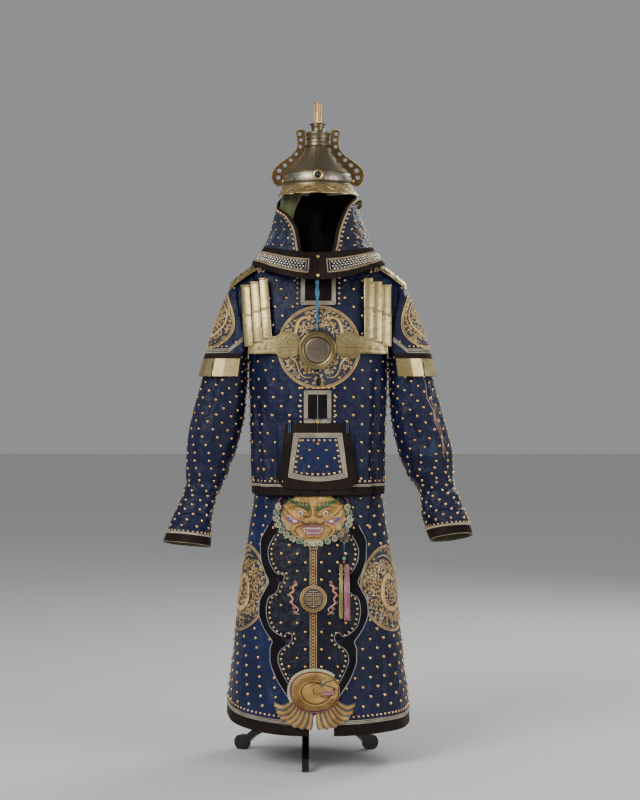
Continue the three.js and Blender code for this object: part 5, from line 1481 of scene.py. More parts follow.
def dress_skirt():
    levels = np.arange(186, 912, 27)
    places = lattice(skirt, FRONT + 0.05, FRONT + 2 * math.pi - 0.02, levels, 51)
    stud_object("skirt_studs", skirt, ROUND, places, 5.3, keep=off_skirt)
    stroke_object("skirt_hem_piping", PIPING, skirt, ROUND, hem_piping(), lift=0.3)
    angle = np.linspace(0, 2 * math.pi, 420)[:-1]
    row = spaced(skirt, np.stack([angle, hem_z(angle) + HEM_BAND + 23], -1), 15.5)
    stud_object("skirt_hem_studs", skirt, ROUND, row, 4.2, keep=clear_of_apron_foot)
    edges = []
    for back in (0, 5.5):
        z = np.linspace(150, 260, 20)
        x = blend_z(GAP["right"], z) + 4 + back
        edges.append((np.stack([angle_at_x(skirt_at, x, z), z], -1), 1.9, 2.6))
    stroke_object("skirt_edge_piping", PIPING, skirt, ROUND, edges, lift=0.3)


# Apron: scalloped velvet border, piping, studs, fret column, medallion and small dragons

BORDER = [  # z, half width of the inner field, in order down the right side
    (672, 109), (636, 127), (605, 127), (585, 120), (566, 108), (560, 98), (566, 88), (556, 82), (541, 86),
    (531, 97), (517, 100), (503, 110), (492, 126), (462, 133), (432, 130), (408, 120), (390, 98), (386, 82),
    (396, 74), (392, 62), (378, 60), (364, 68), (350, 88), (332, 98), (310, 98), (276, 84), (240, 62),
    (214, 40),
]


def border_line(side, offset=0.0):
    points = np.array([(APRON_X + side * (half - offset), z) for z, half in BORDER], float)
    return curve_through(points, 150)


def outer_line(side, inset=0.0):
    z = np.linspace(700, 176, 150)
    return np.stack([APRON_X + side * (apron_half(z) - inset), z], -1)


FIELD = [  # z, half width of the field inside the border, without its hooks
    (700, 104), (672, 110), (636, 126), (605, 127), (575, 118), (558, 110), (544, 103), (531, 100),
    (514, 104), (500, 116), (486, 128), (462, 133), (432, 130), (408, 120), (394, 106), (380, 90),
    (364, 80), (350, 88), (332, 98), (310, 98), (276, 84), (240, 62), (214, 40), (176, 18),
]
HOOKS = [[(562, 114), (561, 102), (555, 95), (549, 92)], [(398, 110), (392, 96), (388, 82), (386, 71)]]
field_at = through(FIELD, 1)


def make_border():
    levels = np.linspace(700, 178, 150)
    for side, label in SIDES:
        inner = APRON_X + side * field_at(levels)
        outer = APRON_X + side * (apron_half(levels) - 1)
        patch(f"apron_border_{label}", DEEP_VELVET, apron_surface, FLAT, inner, outer, levels,
              APRON_LIFT + 1.4, 1.6, 9)
        hooks = [(curve_through([(APRON_X + side * half, z) for z, half in hook], 18),
                  taper(18, 11, 9, 0.8), 2.6) for hook in HOOKS]
        ends = [(APRON_X + side * hook[-1][1], hook[-1][0]) for hook in HOOKS]
        stroke_object(f"apron_hooks_{label}", DEEP_VELVET, apron_surface, FLAT, hooks,
                      lift=APRON_LIFT - 0.2, sides=8)
        stud_object(f"apron_hook_ends_{label}", apron_surface, FLAT, ends, 9.4, APRON_LIFT - 2.2,
                    material=DEEP_VELVET, around=18)
        rows = [(border_line(side), 1.2, 2.2), (outer_line(side, 0.2), 1.3, 2.2)]
        stroke_object(f"apron_piping_{label}", BLUE_PIPING, apron_surface, FLAT, rows,
                      lift=APRON_LIFT + 1.4)
        line = spaced(apron_surface, border_line(side, 8.0), 15.0)
        stud_object(f"apron_edge_studs_{label}", apron_surface, FLAT, line, 4.4, APRON_LIFT)


def field_half(z):
    half = np.full(np.shape(z), 999.0)
    line = border_line(1, 8.0)
    for x, level in line:
        near = np.abs(z - level) < 9
        half = np.where(near, np.minimum(half, x - APRON_X), half)
    return half - 10


def make_apron_studs():
    places = []
    for i, z in enumerate(np.arange(228, 700, 24.5)):
        for x in np.arange(-138, 140, 46) + (23 if i % 2 else 0):
            near_column = abs(x) < 17 or math.hypot(x, z - DISC_Z) < 50
            dragon_place = 40 < abs(x) < 82 and 440 < z < 536
            if not near_column and not dragon_place and abs(x) < field_half(np.array(z)):
                places.append((APRON_X + x, z))
    stud_object("apron_studs", apron_surface, FLAT, places, 5.2, APRON_LIFT)


COLUMN_HALF, DISC_RADIUS = 10, 38
COLUMN_STRETCHES = [(297, 452), (532, 634)]  # below and above the disc


def column_fret():
    """Two edge lines and a row of small rings up each stretch of the column, and its pointed head."""
    strokes = []
    for low, high in COLUMN_STRETCHES:
        for side in (-1, 1):
            edge = np.stack([np.full(40, APRON_X + side * (COLUMN_HALF - 0.9)), np.linspace(low, high, 40)],
                            -1)
            strokes.append((edge, 0.9, 1.6))
        for z in np.arange(low + 5, high - 4, 9.4):
            strokes.append((circle(APRON_X, z, 4.5, 14), 1.0, 2.0, True))
    head = [(APRON_X - 10, 634), (APRON_X - 13, 644), (APRON_X, 652), (APRON_X + 13, 644),
            (APRON_X + 10, 634)]
    strokes.append((closed_outline(head, 3), 1.1, 1.8, True))
    return strokes


def line_on_disc(x, z, to_x, to_z):
    return np.array([(APRON_X + x, DISC_Z + z), (APRON_X + to_x, DISC_Z + to_z)])


def disc_fret():
    """A plain geometric fret of level and upright bars inside three rings."""
    strokes = [(circle(APRON_X, DISC_Z, radius, 72), width, height, True)
               for radius, width, height in ((36.6, 1.5, 2.4), (32.6, 0.8, 1.6), (29.8, 0.8, 1.6))]
    for z in (-15, -9, -3, 3, 9, 15):
        reach = math.sqrt(26 ** 2 - z * z)
        strokes.append((line_on_disc(-reach, z, -3, z), 0.9, 1.5))
        strokes.append((line_on_disc(3, z, reach, z), 0.9, 1.5))
    for side in (-1, 1):
        for x in (7, 14):
            for low, high in ((-15, -9), (-3, 3), (9, 15)):
                strokes.append((line_on_disc(side * x, low, side * x, high), 0.8, 1.4))
    for z in (-21, 21):
        strokes.append((line_on_disc(-13, z, 13, z), 1.0, 1.5))
    strokes.append((line_on_disc(0, -25, 0, 25), 1.0, 1.6))
    return strokes


def make_column():
    top = APRON_LIFT + 2.5
    stroke_object("column_fret", GOLD_THREAD, apron_surface, FLAT, column_fret(), lift=top)
    levels = np.linspace(294, 640.8, 120)
    bulge = np.sqrt(np.maximum(0, DISC_RADIUS ** 2 - (levels - DISC_Z) ** 2))
    half = np.maximum(np.where(np.abs(levels - DISC_Z) < 37.8, bulge, COLUMN_HALF), COLUMN_HALF)
    piece = patch("column_band", COUCHED, apron_surface, FLAT, APRON_X - half, APRON_X + half,
                  levels, top, 2.5)
    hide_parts("apron_column")
    stroke_object("column_medallion", GOLD_THREAD, apron_surface, FLAT, disc_fret(), lift=top)
    dots = [(APRON_X + 23 * math.cos(a), DISC_Z + 23 * math.sin(a)) for a in np.radians([30, 150, 210, 330])]
    stud_object("column_medallion_beads", apron_surface, FLAT, dots, 1.6, top, material=BLUE_CORD)


SMALL_BODY = [
    (40, 40), (52, 34), (50, 22), (60, 12), (52, 0), (56, -12), (44, -22), (36, -30), (42, -40), (34, -44),
]
SMALL_CURLS = [  # x, z, heading
    (46, 46, 2.3), (60, 30, 0.5), (66, 10, -0.2), (60, -10, 0.2), (52, -26, -0.8), (50, -38, -1),
]


def make_small_dragons():
    """Two little dragons beside the disc, each a bent body with curls."""
    strokes, eyes = [], []
    for side in (-1, 1):
        path = [(APRON_X + side * (x + 6), DISC_Z + z) for x, z in SMALL_BODY]
        strokes.append((curve_through(path, 40), taper(40, 4.2, 1.2, 1.2), 3.6))
        for x, z, heading in SMALL_CURLS:
            curl = spiral(APRON_X + side * (x + 4), DISC_Z + z, 5.2, heading, 1.1, side)
            strokes.append((curl, 1.3, 2.4))
        eyes.append((APRON_X + side * 48, DISC_Z + 40))
    stroke_object("apron_small_dragons", CORAL, apron_surface, FLAT, strokes, lift=APRON_LIFT)
    stud_object("small_dragon_eyes", apron_surface, FLAT, eyes, 1.4, APRON_LIFT + 3, material=PEARL)


# Padded animals of the apron, as height fields laid on it

def relief(name, material, centre, outline, height, base, rings=36, around=128):
    """A padded form within an outline: its edge by angle, its height by place and share of the way out."""
    share = np.linspace(1, 0, rings)[:, None] ** 0.8
    edge = outline(full_turn(around))
    x, y = share * edge[None, :, 0], share * edge[None, :, 1]
    rise = height(x, y, np.broadcast_to(share, x.shape))
    top = moved(apron_surface, centre[0] + x, centre[1] + y, base + rise, FLAT)
    under = moved(apron_surface, centre[0] + edge[None, :, 0], centre[1] + edge[None, :, 1], base, FLAT)
    points = np.concatenate([top[:-1].reshape(-1, 3), top[-1:, 0], under.reshape(-1, 3)])
    faces = ring_quads(rings - 1, around)
    last, tip, below = (rings - 2) * around, (rings - 1) * around, (rings - 1) * around + 1
    for j in range(around):
        k = (j + 1) % around
        faces.append((last + j, last + k, tip))
        faces.append((below + j, below + k, k, j))
    faces.append(tuple(below + j for j in range(around))[::-1])
    return trim(name, (points, turned_out(points, faces)), material)


MASK_AT = (APRON_X, 723)
MASK_FORMS = [  # x, z, wide, tall, out, on both sides
    (0, -7, 18, 12, 15, False), (19, -12, 9, 8, 9, True), (0, 17, 9, 22, 9, False),
    (20, 34, 12, 9, 9, True), (40, 36, 14, 8, 10, True), (60, 34, 13, 8, 8, True), (34, 10, 13, 9, 8, True),
    (52, -12, 16, 11, 9, True), (70, 2, 13, 12, 7, True), (78, 24, 10, 13, 6, True),
    (50, -36, 10, 11, 8, True), (0, -56, 26, 7, 10, False), (0, 55, 19, 9, 7, False),
    (38, 57, 15, 8, 6, True), (0, -34, 30, 11, -6, False),
]


def mask_height(x, z, share):
    total = 4 + 8 * np.sqrt(np.maximum(0, 1 - share * share))
    for place, level, wide, tall, out, both in MASK_FORMS:
        for side in ((-1, 1) if both else (1,)):
            total = total + out * bump(np.hypot((x - side * place) / wide, (z - level) / tall))
    wrinkle = 0.5 * np.sin(np.hypot(x * 0.8, z - 80) * 0.42) * fade((z - 46) / 12)
    return np.maximum(total + wrinkle, 2)


def mask_outline(angle):
    jaw = 1 - 0.30 * np.maximum(0, -np.sin(angle)) ** 1.5
    x = 90 * signed_power(np.cos(angle), 0.78) * jaw
    z = 68 * signed_power(np.sin(angle), 0.86)
    return np.stack([x, z], -1)


def on_mask(x, z):
    """The mask's own face, for what is sewn on it."""
    across = np.minimum(1, np.hypot(x / 92, z / 66))
    rise = mask_height(x, z, across)
    return moved(apron_surface, MASK_AT[0] + x, MASK_AT[1] + z, APRON_LIFT + rise, FLAT)


def mirrored(strokes):
    both = []
    for path, width, height, *closed in strokes:
        path = np.asarray(path, float)
        both += [(path, width, height, *closed), (path * [-1, 1], width, height, *closed)]
    return both


def sew(name, material, strokes, sides=6):
    stroke_object(name, material, on_mask, FLAT, strokes, None, 0.0, None, sides)


MASK_RIDGES = [
    (curve_through([(24, -4), (44, 0), (62, 12), (72, 26), (82, 34)], 24), taper(24, 2.2, 2.6), 4.6),
    (curve_through([(30, -18), (46, -24), (56, -36), (48, -50)], 22), taper(22, 2.4, 2.2), 4.6),
    (curve_through([(17, 12), (32, 22), (50, 25)], 14), 2.6, 4.6),
    (curve_through([(20, 6), (34, 1), (50, 9)], 14), 1.5, 3.0),
]
MASK_FOLDS = [
    (curve_through([(14, 14), (30, 20), (52, 23)], 14), 0.9, 3.2),
    (curve_through([(18, 3), (34, -3), (54, 7)], 14), 0.9, 3.0),
    (curve_through([(7, 30), (5, 14), (9, 2), (21, -3)], 18), 0.9, 2.8),
    (curve_through([(0, -19), (9, -18), (14, -20), (24, -20), (30, -12)], 20), 1.1, 3.2),
    (curve_through([(32, -20), (44, -29), (50, -40), (40, -54)], 20), 1.0, 3.0),
    (curve_through([(56, 2), (70, 12), (84, 30)], 16), 0.9, 2.8),
    (curve_through([(0, -57), (14, -58), (26, -52)], 14), 0.9, 2.6),
]
MASK_CURLS = [  # x, z, size, start, turns, spin, points, half width, height
    (24, 58, 7, 0.4, 1.7, 1, 22, 1.1, 2.0), (46, 57, 8, 2.2, 1.8, -1, 24, 1.1, 2.0),
    (19, -12, 7.0, 3.3, 1.6, -1, 20, 1.2, 2.2), (77, 14, 6, 1.0, 1.6, 1, 20, 1.0, 2.0),
    (66, -20, 7, 1.0, 1.7, 1, 22, 1.1, 2.0),
]
UPPER_LIP = [(-30, -29), (-15, -23), (0, -26), (15, -23), (30, -29)]
LEAF = [(36, -13), (50, -20), (66, -14), (76, -2), (62, -2), (48, -6), (36, -13)]
MASK_LIPS = [
    (resampled(LEAF, 2.5)[:-1], 1.9, 3.0, True),
    (curve_through(UPPER_LIP, 30)[15:], 1.7, 3.4),
    (curve_through([(30, -29), (27, -42), (14, -50), (0, -51)], 20), 1.5, 3.2),
]
MASK_TONGUE = [(curve_through([(-16, -38), (-6, -40), (6, -40), (16, -38)], 20), taper(20, 2.6, 2.6, 1.4),
                5.0)]
MASK_WHITES = [(curve_through([(44, -13), (54, -14)], 6), 3.4, 2.6)]
MASK_BLUE = [(curve_through([(58, -12), (64, -9), (70, -4)], 8), 3.2, 2.8)]
MASK_FANGS = [(curve_through([(25, -29), (26, -36), (22, -44)], 9), taper(9, 3.0, 0.5), 5.6)]
MASK_STUDS = [  # name, material, radius, places, lift
    ("mask_eyes", PEARL, 8.2, [(34, 10), (-34, 10)], -1.0),
    ("mask_irises", CORAL, 4.8, [(34, 9), (-34, 9)], 3.6),
    ("mask_pupils", DARK_BEAD, 2.6, [(34, 9), (-34, 9)], 6.6),
    ("mask_teeth", PEARL, 2.7, [(5.2 * k - 18.2, -31) for k in range(8)], 1.0),
    ("mask_lower_teeth", PEARL, 2.3, [(5.0 * k - 15.0, -46) for k in range(7)], 1.0),
]


def mask_brow():
    """A slanted brow with six flames rising from it."""
    brow = [(curve_through([(10, 19), (24, 27), (44, 35), (66, 46)], 20), taper(20, 4.6, 2.2), 3.8)]
    for step in range(6):
        x, z = 14 + 9.5 * step, 25 + 4.0 * step
        flame = curve_through([(x, z), (x + 1.4 * step - 2, z + 8), (x + 2.4 * step - 1, z + 16)], 9)
        brow.append((flame, taper(9, 3.8, 0.4, 1.2), 3.6))
    return brow


def mask_cords():
    curls = [(spiral(*shape), half_width, height) for *shape, half_width, height in MASK_CURLS]
    return mirrored(curls) + [(spiral(0, 44, 9, -1.57, 2.0, 1, 26), 1.1, 2.0)]


def make_mask():
    piece = relief("mask_face", PADDED_GOLD, MASK_AT, mask_outline, mask_height, APRON_LIFT)
    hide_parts("mask")
    sew("mask_brows", GREEN_THREAD, mirrored(mask_brow()))
    sew("mask_folds", DARK_LINE, mirrored(MASK_FOLDS))
    sew("mask_ridges", GOLD_THREAD, mirrored(MASK_RIDGES))
    sew("mask_cords", PALE_THREAD, mask_cords())
    sew("mask_magenta", MAGENTA, mirrored(MASK_LIPS))
    sew("mask_tongue", MAGENTA, MASK_TONGUE)
    sew("mask_whites", PEARL, mirrored(MASK_WHITES))
    sew("mask_blue", BLUE_THREAD, mirrored(MASK_BLUE))
    sew("mask_fangs", PEARL, mirrored(MASK_FANGS))
    make_mane()
    for name, material, radius, places, lift in MASK_STUDS:
        stud_object(name, on_mask, FLAT, places, radius, lift, None, material, around=14)


def make_mane():
    """Curls of several colours round the cheeks and jaw, over a dark padded ground."""
    def place(x, z):
        return x + MASK_AT[0], z + MASK_AT[1]
    pad, cream, sage, gold = [], [], [], []
    for side in (-1, 1):
        turn = np.radians(np.linspace(24, -97, 40))
        pad.append((np.stack([side * 98 * np.cos(turn), 4 + 72 * np.sin(turn)], -1), 14, 5.0))
        pad.append((np.stack([side * 78 * np.cos(turn), 4 + 56 * np.sin(turn)], -1), 12, 5.0))
        for k, degrees in enumerate(np.linspace(20, -92, 10)):
            at = math.radians(degrees)
            curl = spiral(side * 103 * math.cos(at), 3 + 78 * math.sin(at), 10.0, 0.6 * k, 1.8, side, 26)
            (sage if k % 3 == 1 else cream).append((curl, taper(26, 1.6, 2.3), 8.5))
        for k, degrees in enumerate(np.linspace(6, -84, 8)):
            at = math.radians(degrees)
            curl = spiral(side * 84 * math.cos(at), 3 + 62 * math.sin(at), 8.0, 1.0 + 0.7 * k, 1.7, -side, 22)
            (gold if k % 2 else sage).append((curl, taper(22, 1.3, 1.9), 8.5))
    for name, material, strokes, lift in (("pad", COUCHED, pad, 0.6), ("cream", CREAM_SILK, cream, 2.2),
                                          ("sage", SAGE, sage, 2.2), ("gold", PALE_THREAD, gold, 2.4)):
        stroke_object(f"mask_mane_{name}", material, apron_surface, FLAT, strokes, place,
                      APRON_LIFT + lift, sides=6)
    ears = [(curve_through([(90, 26), (98, 36), (96, 50), (88, 58)], 14), taper(14, 7.0, 3.0), 8.0)]
    stroke_object("mask_ears", DARK_MAGENTA, apron_surface, FLAT, mirrored(ears), place,
                  APRON_LIFT + 1.5)


# Creature at the apron's foot, and the pendant with its tassels

CREATURE_AT = (-9, 232)
COIL_SIZE = (70, 58)


def creature_outline(angle):
    x = COIL_SIZE[0] * signed_power(np.cos(angle), 0.9)
    return np.stack([x, COIL_SIZE[1] * signed_power(np.sin(angle), 0.92)], -1)


COIL_START, COIL_END = -12, -338  # degrees, the way the body winds in
HEAD_AT = (26, 3)


def coil_line(far, near, start=COIL_START, end=COIL_END, count=60):
    """A line winding in with the body, its distance given as a share of the outline's."""
    turn = np.radians(np.linspace(start, end, count))
    share = np.linspace(far, near, count)
    return np.stack([COIL_SIZE[0] * share * np.cos(turn), COIL_SIZE[1] * share * np.sin(turn)], -1)


BODY_EDGE = coil_line(0.66, 0.40)


def creature_height(x, z, share):
    dome = 4 + 7 * np.sqrt(np.maximum(0, 1 - share ** 2))
    gap = np.sqrt((x[..., None] - BODY_EDGE[:, 0]) ** 2 + (z[..., None] - BODY_EDGE[:, 1]) ** 2).min(axis=-1)
    back = coil_line(0.86, 0.66)
    near = np.sqrt((x[..., None] - back[:, 0]) ** 2 + (z[..., None] - back[:, 1]) ** 2).min(axis=-1)
    head = 6 * bump(np.hypot((x - HEAD_AT[0]) / 26, (z - HEAD_AT[1]) / 15))
    brow = 4 * bump(np.hypot((x - HEAD_AT[0]) / 9, (z - HEAD_AT[1] - 9) / 7))
    nose = 4 * bump(np.hypot((x - HEAD_AT[0] - 24) / 9, (z - HEAD_AT[1] + 1) / 8))
    return np.maximum(dome + 3.5 * bump(near / 15) + head + brow + nose - 4.2 * bump(gap / 3.2), 1.5)


def on_body(x, z):
    """The creature's own surface, for what is sewn on it."""
    across = np.minimum(0.999, np.hypot(x / COIL_SIZE[0], z / COIL_SIZE[1]))
    rise = creature_height(x, z, across)
    return moved(apron_surface, CREATURE_AT[0] + x, CREATURE_AT[1] + z, APRON_LIFT + rise, FLAT)


def body_scales():
    """Scales in rows round the coil, open towards the tail."""
    scales = []
    for row, share in enumerate(np.linspace(0.93, 0.72, 4)):
        for turn in np.arange(-24 - 4.5 * (row % 2), -292, -9.0):
            shrink = share - 0.20 * (turn - COIL_START) / (COIL_END - COIL_START)
            at, outward = math.radians(turn), np.linspace(-math.pi / 2, math.pi / 2, 8)
            middle = np.array([COIL_SIZE[0] * shrink * math.cos(at), COIL_SIZE[1] * shrink * math.sin(at)])
            along = np.array([math.sin(at), -math.cos(at)])
            across = np.array([math.cos(at), math.sin(at)])
            arc = middle + 3.6 * np.cos(outward)[:, None] * along + 3.6 * np.sin(outward)[:, None] * across
            scales.append((arc, 0.7, 1.5))
    return scales


def make_creature():
    piece = relief("creature_body", PADDED_GOLD, CREATURE_AT, creature_outline, creature_height,
                   APRON_LIFT)
    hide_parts("apron_creature")
    x, z = HEAD_AT
    edge = [(BODY_EDGE, 1.3, 2.4), (creature_outline(np.linspace(0.2, -6.0, 120)) * 0.93, 1.3, 2.6)]
    crown = [(x - 34, z + 12), (x - 20, z + 19), (x - 4, z + 16), (x + 10, z + 12), (x + 24, z + 8),
             (x + 34, z + 1)]
    edge.append((curve_through(crown, 40), 1.0, 2.6))
    for step in range(3):
        gill = [(x - 9 - 7 * step, z + 11), (x - 15 - 7 * step, z), (x - 9 - 7 * step, z - 12)]
        edge.append((curve_through(gill, 16), 0.9, 2.4))
    edge.append((curve_through([(x - 10, z - 15), (x + 4, z - 18), (x + 20, z - 14), (x + 31, z - 6)], 26),
                 1.0, 2.4))
    edge.append((spiral(x + 25, z + 1, 4.4, 0.6, 1.3, 1, 16), 0.9, 2.4))
    stroke_object("creature_coils", DARK_BEAD, on_body, FLAT, edge)
    stroke_object("creature_scales", DARK_LINE, on_body, FLAT, body_scales())
    belly = [(coil_line(0.72, 0.48, -30, -300, 70), 1.0, 2.2)]
    cheek = [(spiral(x - 16, z, 8, 0.4, 1.7, 1, 24), 1.2, 2.4),
             (spiral(x - 27, z + 9, 6, 2.0, 1.5, -1, 20), 1.0, 2.0)]
    stroke_object("creature_cords", GOLD_THREAD, on_body, FLAT, belly + cheek)
    jaws = [(curve_through([(x - 8, z - 6), (x + 6, z - 4), (x + 18, z - 6), (x + 31, z - 1)], 22), 1.8, 2.8),
            (curve_through([(x - 6, z - 11), (x + 8, z - 13), (x + 24, z - 10)], 18), 1.5, 2.6),
            (coil_line(0.985, 0.94, -60, -250, 70), 1.6, 2.6)]
    stroke_object("creature_magenta", MAGENTA, on_body, FLAT, jaws)
    horns = [(curve_through([(x - 6, z + 14), (x + 8, z + 24), (x + 22, z + 27), (x + 34, z + 36)], 16),
              taper(16, 3.0, 1.0), 3.0), (curve_through([(x - 12, z + 15), (x - 8, z + 28),
                                                         (x + 4, z + 37)], 14), taper(14, 2.6, 0.8), 2.6)]
    stroke_object("creature_horns", GREEN_THREAD, on_body, FLAT, horns)
    stud_object("creature_eye", on_body, FLAT, [(x + 1, z + 9)], 4.2, 0.0, material=PEARL, around=14)
    stud_object("creature_pupil", on_body, FLAT, [(x + 2, z + 9)], 1.9, 3.2, material=DARK_BEAD, around=12)
    stud_object("creature_teeth", on_body, FLAT, [(x - 2 + 5 * k, z - 8.4) for k in range(6)], 1.6, 1.4,
                material=PEARL)
    rim = creature_outline(np.radians(np.linspace(205, 40, 70))) * 1.03
    scallops = spaced(apron_surface, rim + np.array(CREATURE_AT), 8.2)
    stud_object("creature_scallops", apron_surface, FLAT, scallops, 5.4, APRON_LIFT + 3.0,
                material=CREAM_SILK, around=12)
    make_plumes()


def make_plumes():
    """A wide fan of striped plumes under the creature."""
    gold, grey = [], []
    for side in (-1, 1):
        for k in range(7):
            t = (k + 0.5) / 7
            root = math.radians(-86 + 70 * t)
            start = np.array([side * 58 * math.cos(root), 50 * math.sin(root)])
            end = np.array([side * (7 + 108 * math.sin(1.5 * t)), -106 + 78 * t ** 2.2])
            way = end - start
            bend = np.array([-way[1], way[0]]) * side * (0.04 + 0.20 * t)
            path = curve_through([start, start + way * 0.35 - bend * 0.8, start + way * 0.72 - bend, end], 18)
            tip = np.clip((np.linspace(0, 1, 18) - 0.84) / 0.16, 0, 1)
            widths = taper(18, 3.6, 7.0 + 0.8 * math.sin(3.1 * t)) * np.sqrt(1 - 0.8 * tip ** 2)
            normal = np.array([-way[1], way[0]]) / np.linalg.norm(way)
            gold.append((path + CREATURE_AT, widths, 5.0))
            for edge in (-1, 1):
                beside = path + edge * normal * (widths[:, None] * 0.9 + np.linspace(0.2, 1.8, 18)[:, None])
                grey.append((beside + CREATURE_AT, taper(18, 1.2, 2.6), 5.2))
    stroke_object("plumes_gold", PADDED_GOLD, apron_surface, FLAT, gold, lift=APRON_LIFT - 0.6,
                  sides=8)
    stroke_object("plumes_grey", GREY_THREAD, apron_surface, FLAT, grey, lift=APRON_LIFT - 0.4,
                  sides=6)


PENDANT_X, PENDANT_Z = 76, 688
TASSELS = [  # name, material, slot, shift, radius, off, length
    ("tassel_yellow", YELLOW_SILK, "silk_yellow", -9, 5.0, 3.8, 152),
    ("tassel_pink", PINK_SILK, "silk_pink", 8, 7.6, 1, 158),
]


def apron_y(z, lift):
    return moved(apron_surface, np.array([float(PENDANT_X)]), np.array([float(z)]), APRON_LIFT + lift,
                 FLAT)[0, 1]


def ball(centre, radius, squash=1.0, around=14, rows=8):
    turn = full_turn(around)
    tilt = np.linspace(-math.pi / 2, math.pi / 2, rows + 1)[1:-1, None]
    flat = [1, 1, squash]
    ring = stacked(np.cos(tilt) * np.cos(turn), np.cos(tilt) * np.sin(turn), np.sin(tilt)) * radius * flat
    points = np.concatenate([ring.reshape(-1, 3),
                             [[0, 0, -radius * squash], [0, 0, radius * squash]]]) + centre
    faces, last = ring_quads(rows - 1, around), (rows - 2) * around
    for j in range(around):
        k = (j + 1) % around
        faces.append((j, len(points) - 2, k))
        faces.append((last + j, last + k, len(points) - 1))
    return points, turned_out(points, faces)


def balls(name, material, rows):
    """Round beads in one piece. Each row is (centre, radius) with an optional squash."""
    return trim(name, joined_mesh([ball(np.array(centre, float), *size) for centre, *size in rows]),
                material)


def make_pendant():
    """A string of beads with a pierced disc, and two tassels at its end."""
    top, low = apron_y(PENDANT_Z, 23), apron_y(590, 9)
    slope = (top - low) / (PENDANT_Z - 590)

    def at(down):
        return np.array([PENDANT_X, top - slope * down, PENDANT_Z - down])
    string = [at(down) for down in np.linspace(-8, 96, 50)]
    trim("pendant_string", cord_mesh(string, FORWARD, 0.9, 1.8, sides=8), BLUE_CORD)
    turn = full_turn(40)
    parts = []
    for radius, width in ((13.5, 1.6), (8.6, 1.1), (4.0, 1.1)):
        ring = at(20) + np.stack([radius * np.cos(turn), 0 * turn, radius * np.sin(turn)], -1)
        parts.append(cord_mesh(ring, FORWARD, width, 4.4, True))
    for angle in np.arange(0, 2 * math.pi, math.pi / 4):
        spoke = [at(20) + np.array([r * math.cos(angle), 0, r * math.sin(angle)]) for r in (3, 8, 14)]
        parts.append(cord_mesh(spoke, FORWARD, 0.9, 3.4))
    piece = make_object("pendant_disc", *joined_mesh(parts), STEEL)
    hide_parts("pendant")
    balls("pendant_beads", RED_BEAD, [(at(0), 5.0, 0.9), (at(90), 3.6, 0.8)])
    balls("pendant_green_beads", JADE, [(at(80), 6.0, 0.95), (at(35), 3.0, 0.8)])
    for name, material, slot, shift, radius, off, length in TASSELS:
        make_tassel(name, material, PENDANT_X + shift, radius, radius + off, length)


STRANDS = 86
GOLDEN_ANGLE = 2.399963  # spreads the strands evenly over a round tassel
CAP_RINGS = ((0, 0.35), (3, 0.8), (7, 1.02), (11, 1.06), (15, 0.98), (18, 0.9))  # drop, share of radius


def make_tassel(name, material, x, radius, lift, length):
    top, tail = apron_y(TASSEL_Z, lift), apron_y(435, lift)
    slope = (top - tail) / (TASSEL_Z - 435)
    source = np.random.default_rng(int(x))
    parts = []
    for i in range(STRANDS):
        turn = i * GOLDEN_ANGLE
        reach = radius * math.sqrt((i + 0.5) / STRANDS)
        sway = source.normal(0, 0.9, (6, 2))
        down = np.linspace(12, length * source.uniform(0.965, 1.0), 6)
        swell = 0.7 + 0.36 * fade(down / 60)
        aside = x + reach * math.cos(turn) * swell + sway[:, 0] * down / length
        behind = top - slope * down + reach * math.sin(turn) * swell * 0.9 + sway[:, 1] * down / length
        parts.append(cord_mesh(np.stack([aside, behind, TASSEL_Z - down], -1), FORWARD, 0.8, 1.5, sides=4))
    piece = make_object(f"{name}_strands", *joined_mesh(parts), material)
    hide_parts(name)
    turn = full_turn(24)
    parts = []
    for down, size in CAP_RINGS:
        ring = stacked(x + radius * size * np.cos(turn), top - slope * down + radius * size * np.sin(turn),
                       TASSEL_Z - down)
        parts.append(cord_mesh(ring, (0, 0, 1), 1.9, 3.0, True, 5))
    trim(f"{name}_cap", joined_mesh(parts), material)


# Hood trim and collar panels

def flap_line(side, label, back, low=0.1, high=0.985, count=70):
    """A line down a flap's front edge, set back from it by some millimetres."""
    drops = np.linspace(low, high, count)
    angle = flap_reach(label, drops) + back / mantle_at["width"](drops)
    return np.stack([angle if side > 0 else math.pi - angle, drops], -1)


HOOD_SPLITS = [(-0.62, 0.62), (-0.55, 0.68), (-0.68, 0.72), (-0.46, 0.56), (-0.58, 0.78)]  # angle, drop


def hood_studs(side, label):
    """A row along the flap's edge, and staggered rows behind it."""
    row = spaced(mantle, flap_line(side, label, 22, 0.14), 15)
    start, end = (-1.0, 1.55) if side > 0 else (math.pi + 1.0, math.pi - 1.55)
    places = np.concatenate([spaced(mantle, level_path(start, end, drop), 36, 18 * (i % 2) + 9)
                             for i, drop in enumerate(np.arange(0.1, 0.97, 0.115))])
    reach = flap_reach(label, places[:, 1])
    turn = places[:, 0] - reach if side > 0 else math.pi - reach - places[:, 0]
    from_edge = turn * mantle_at["width"](places[:, 1])
    return np.concatenate([row, places[from_edge > 34]])


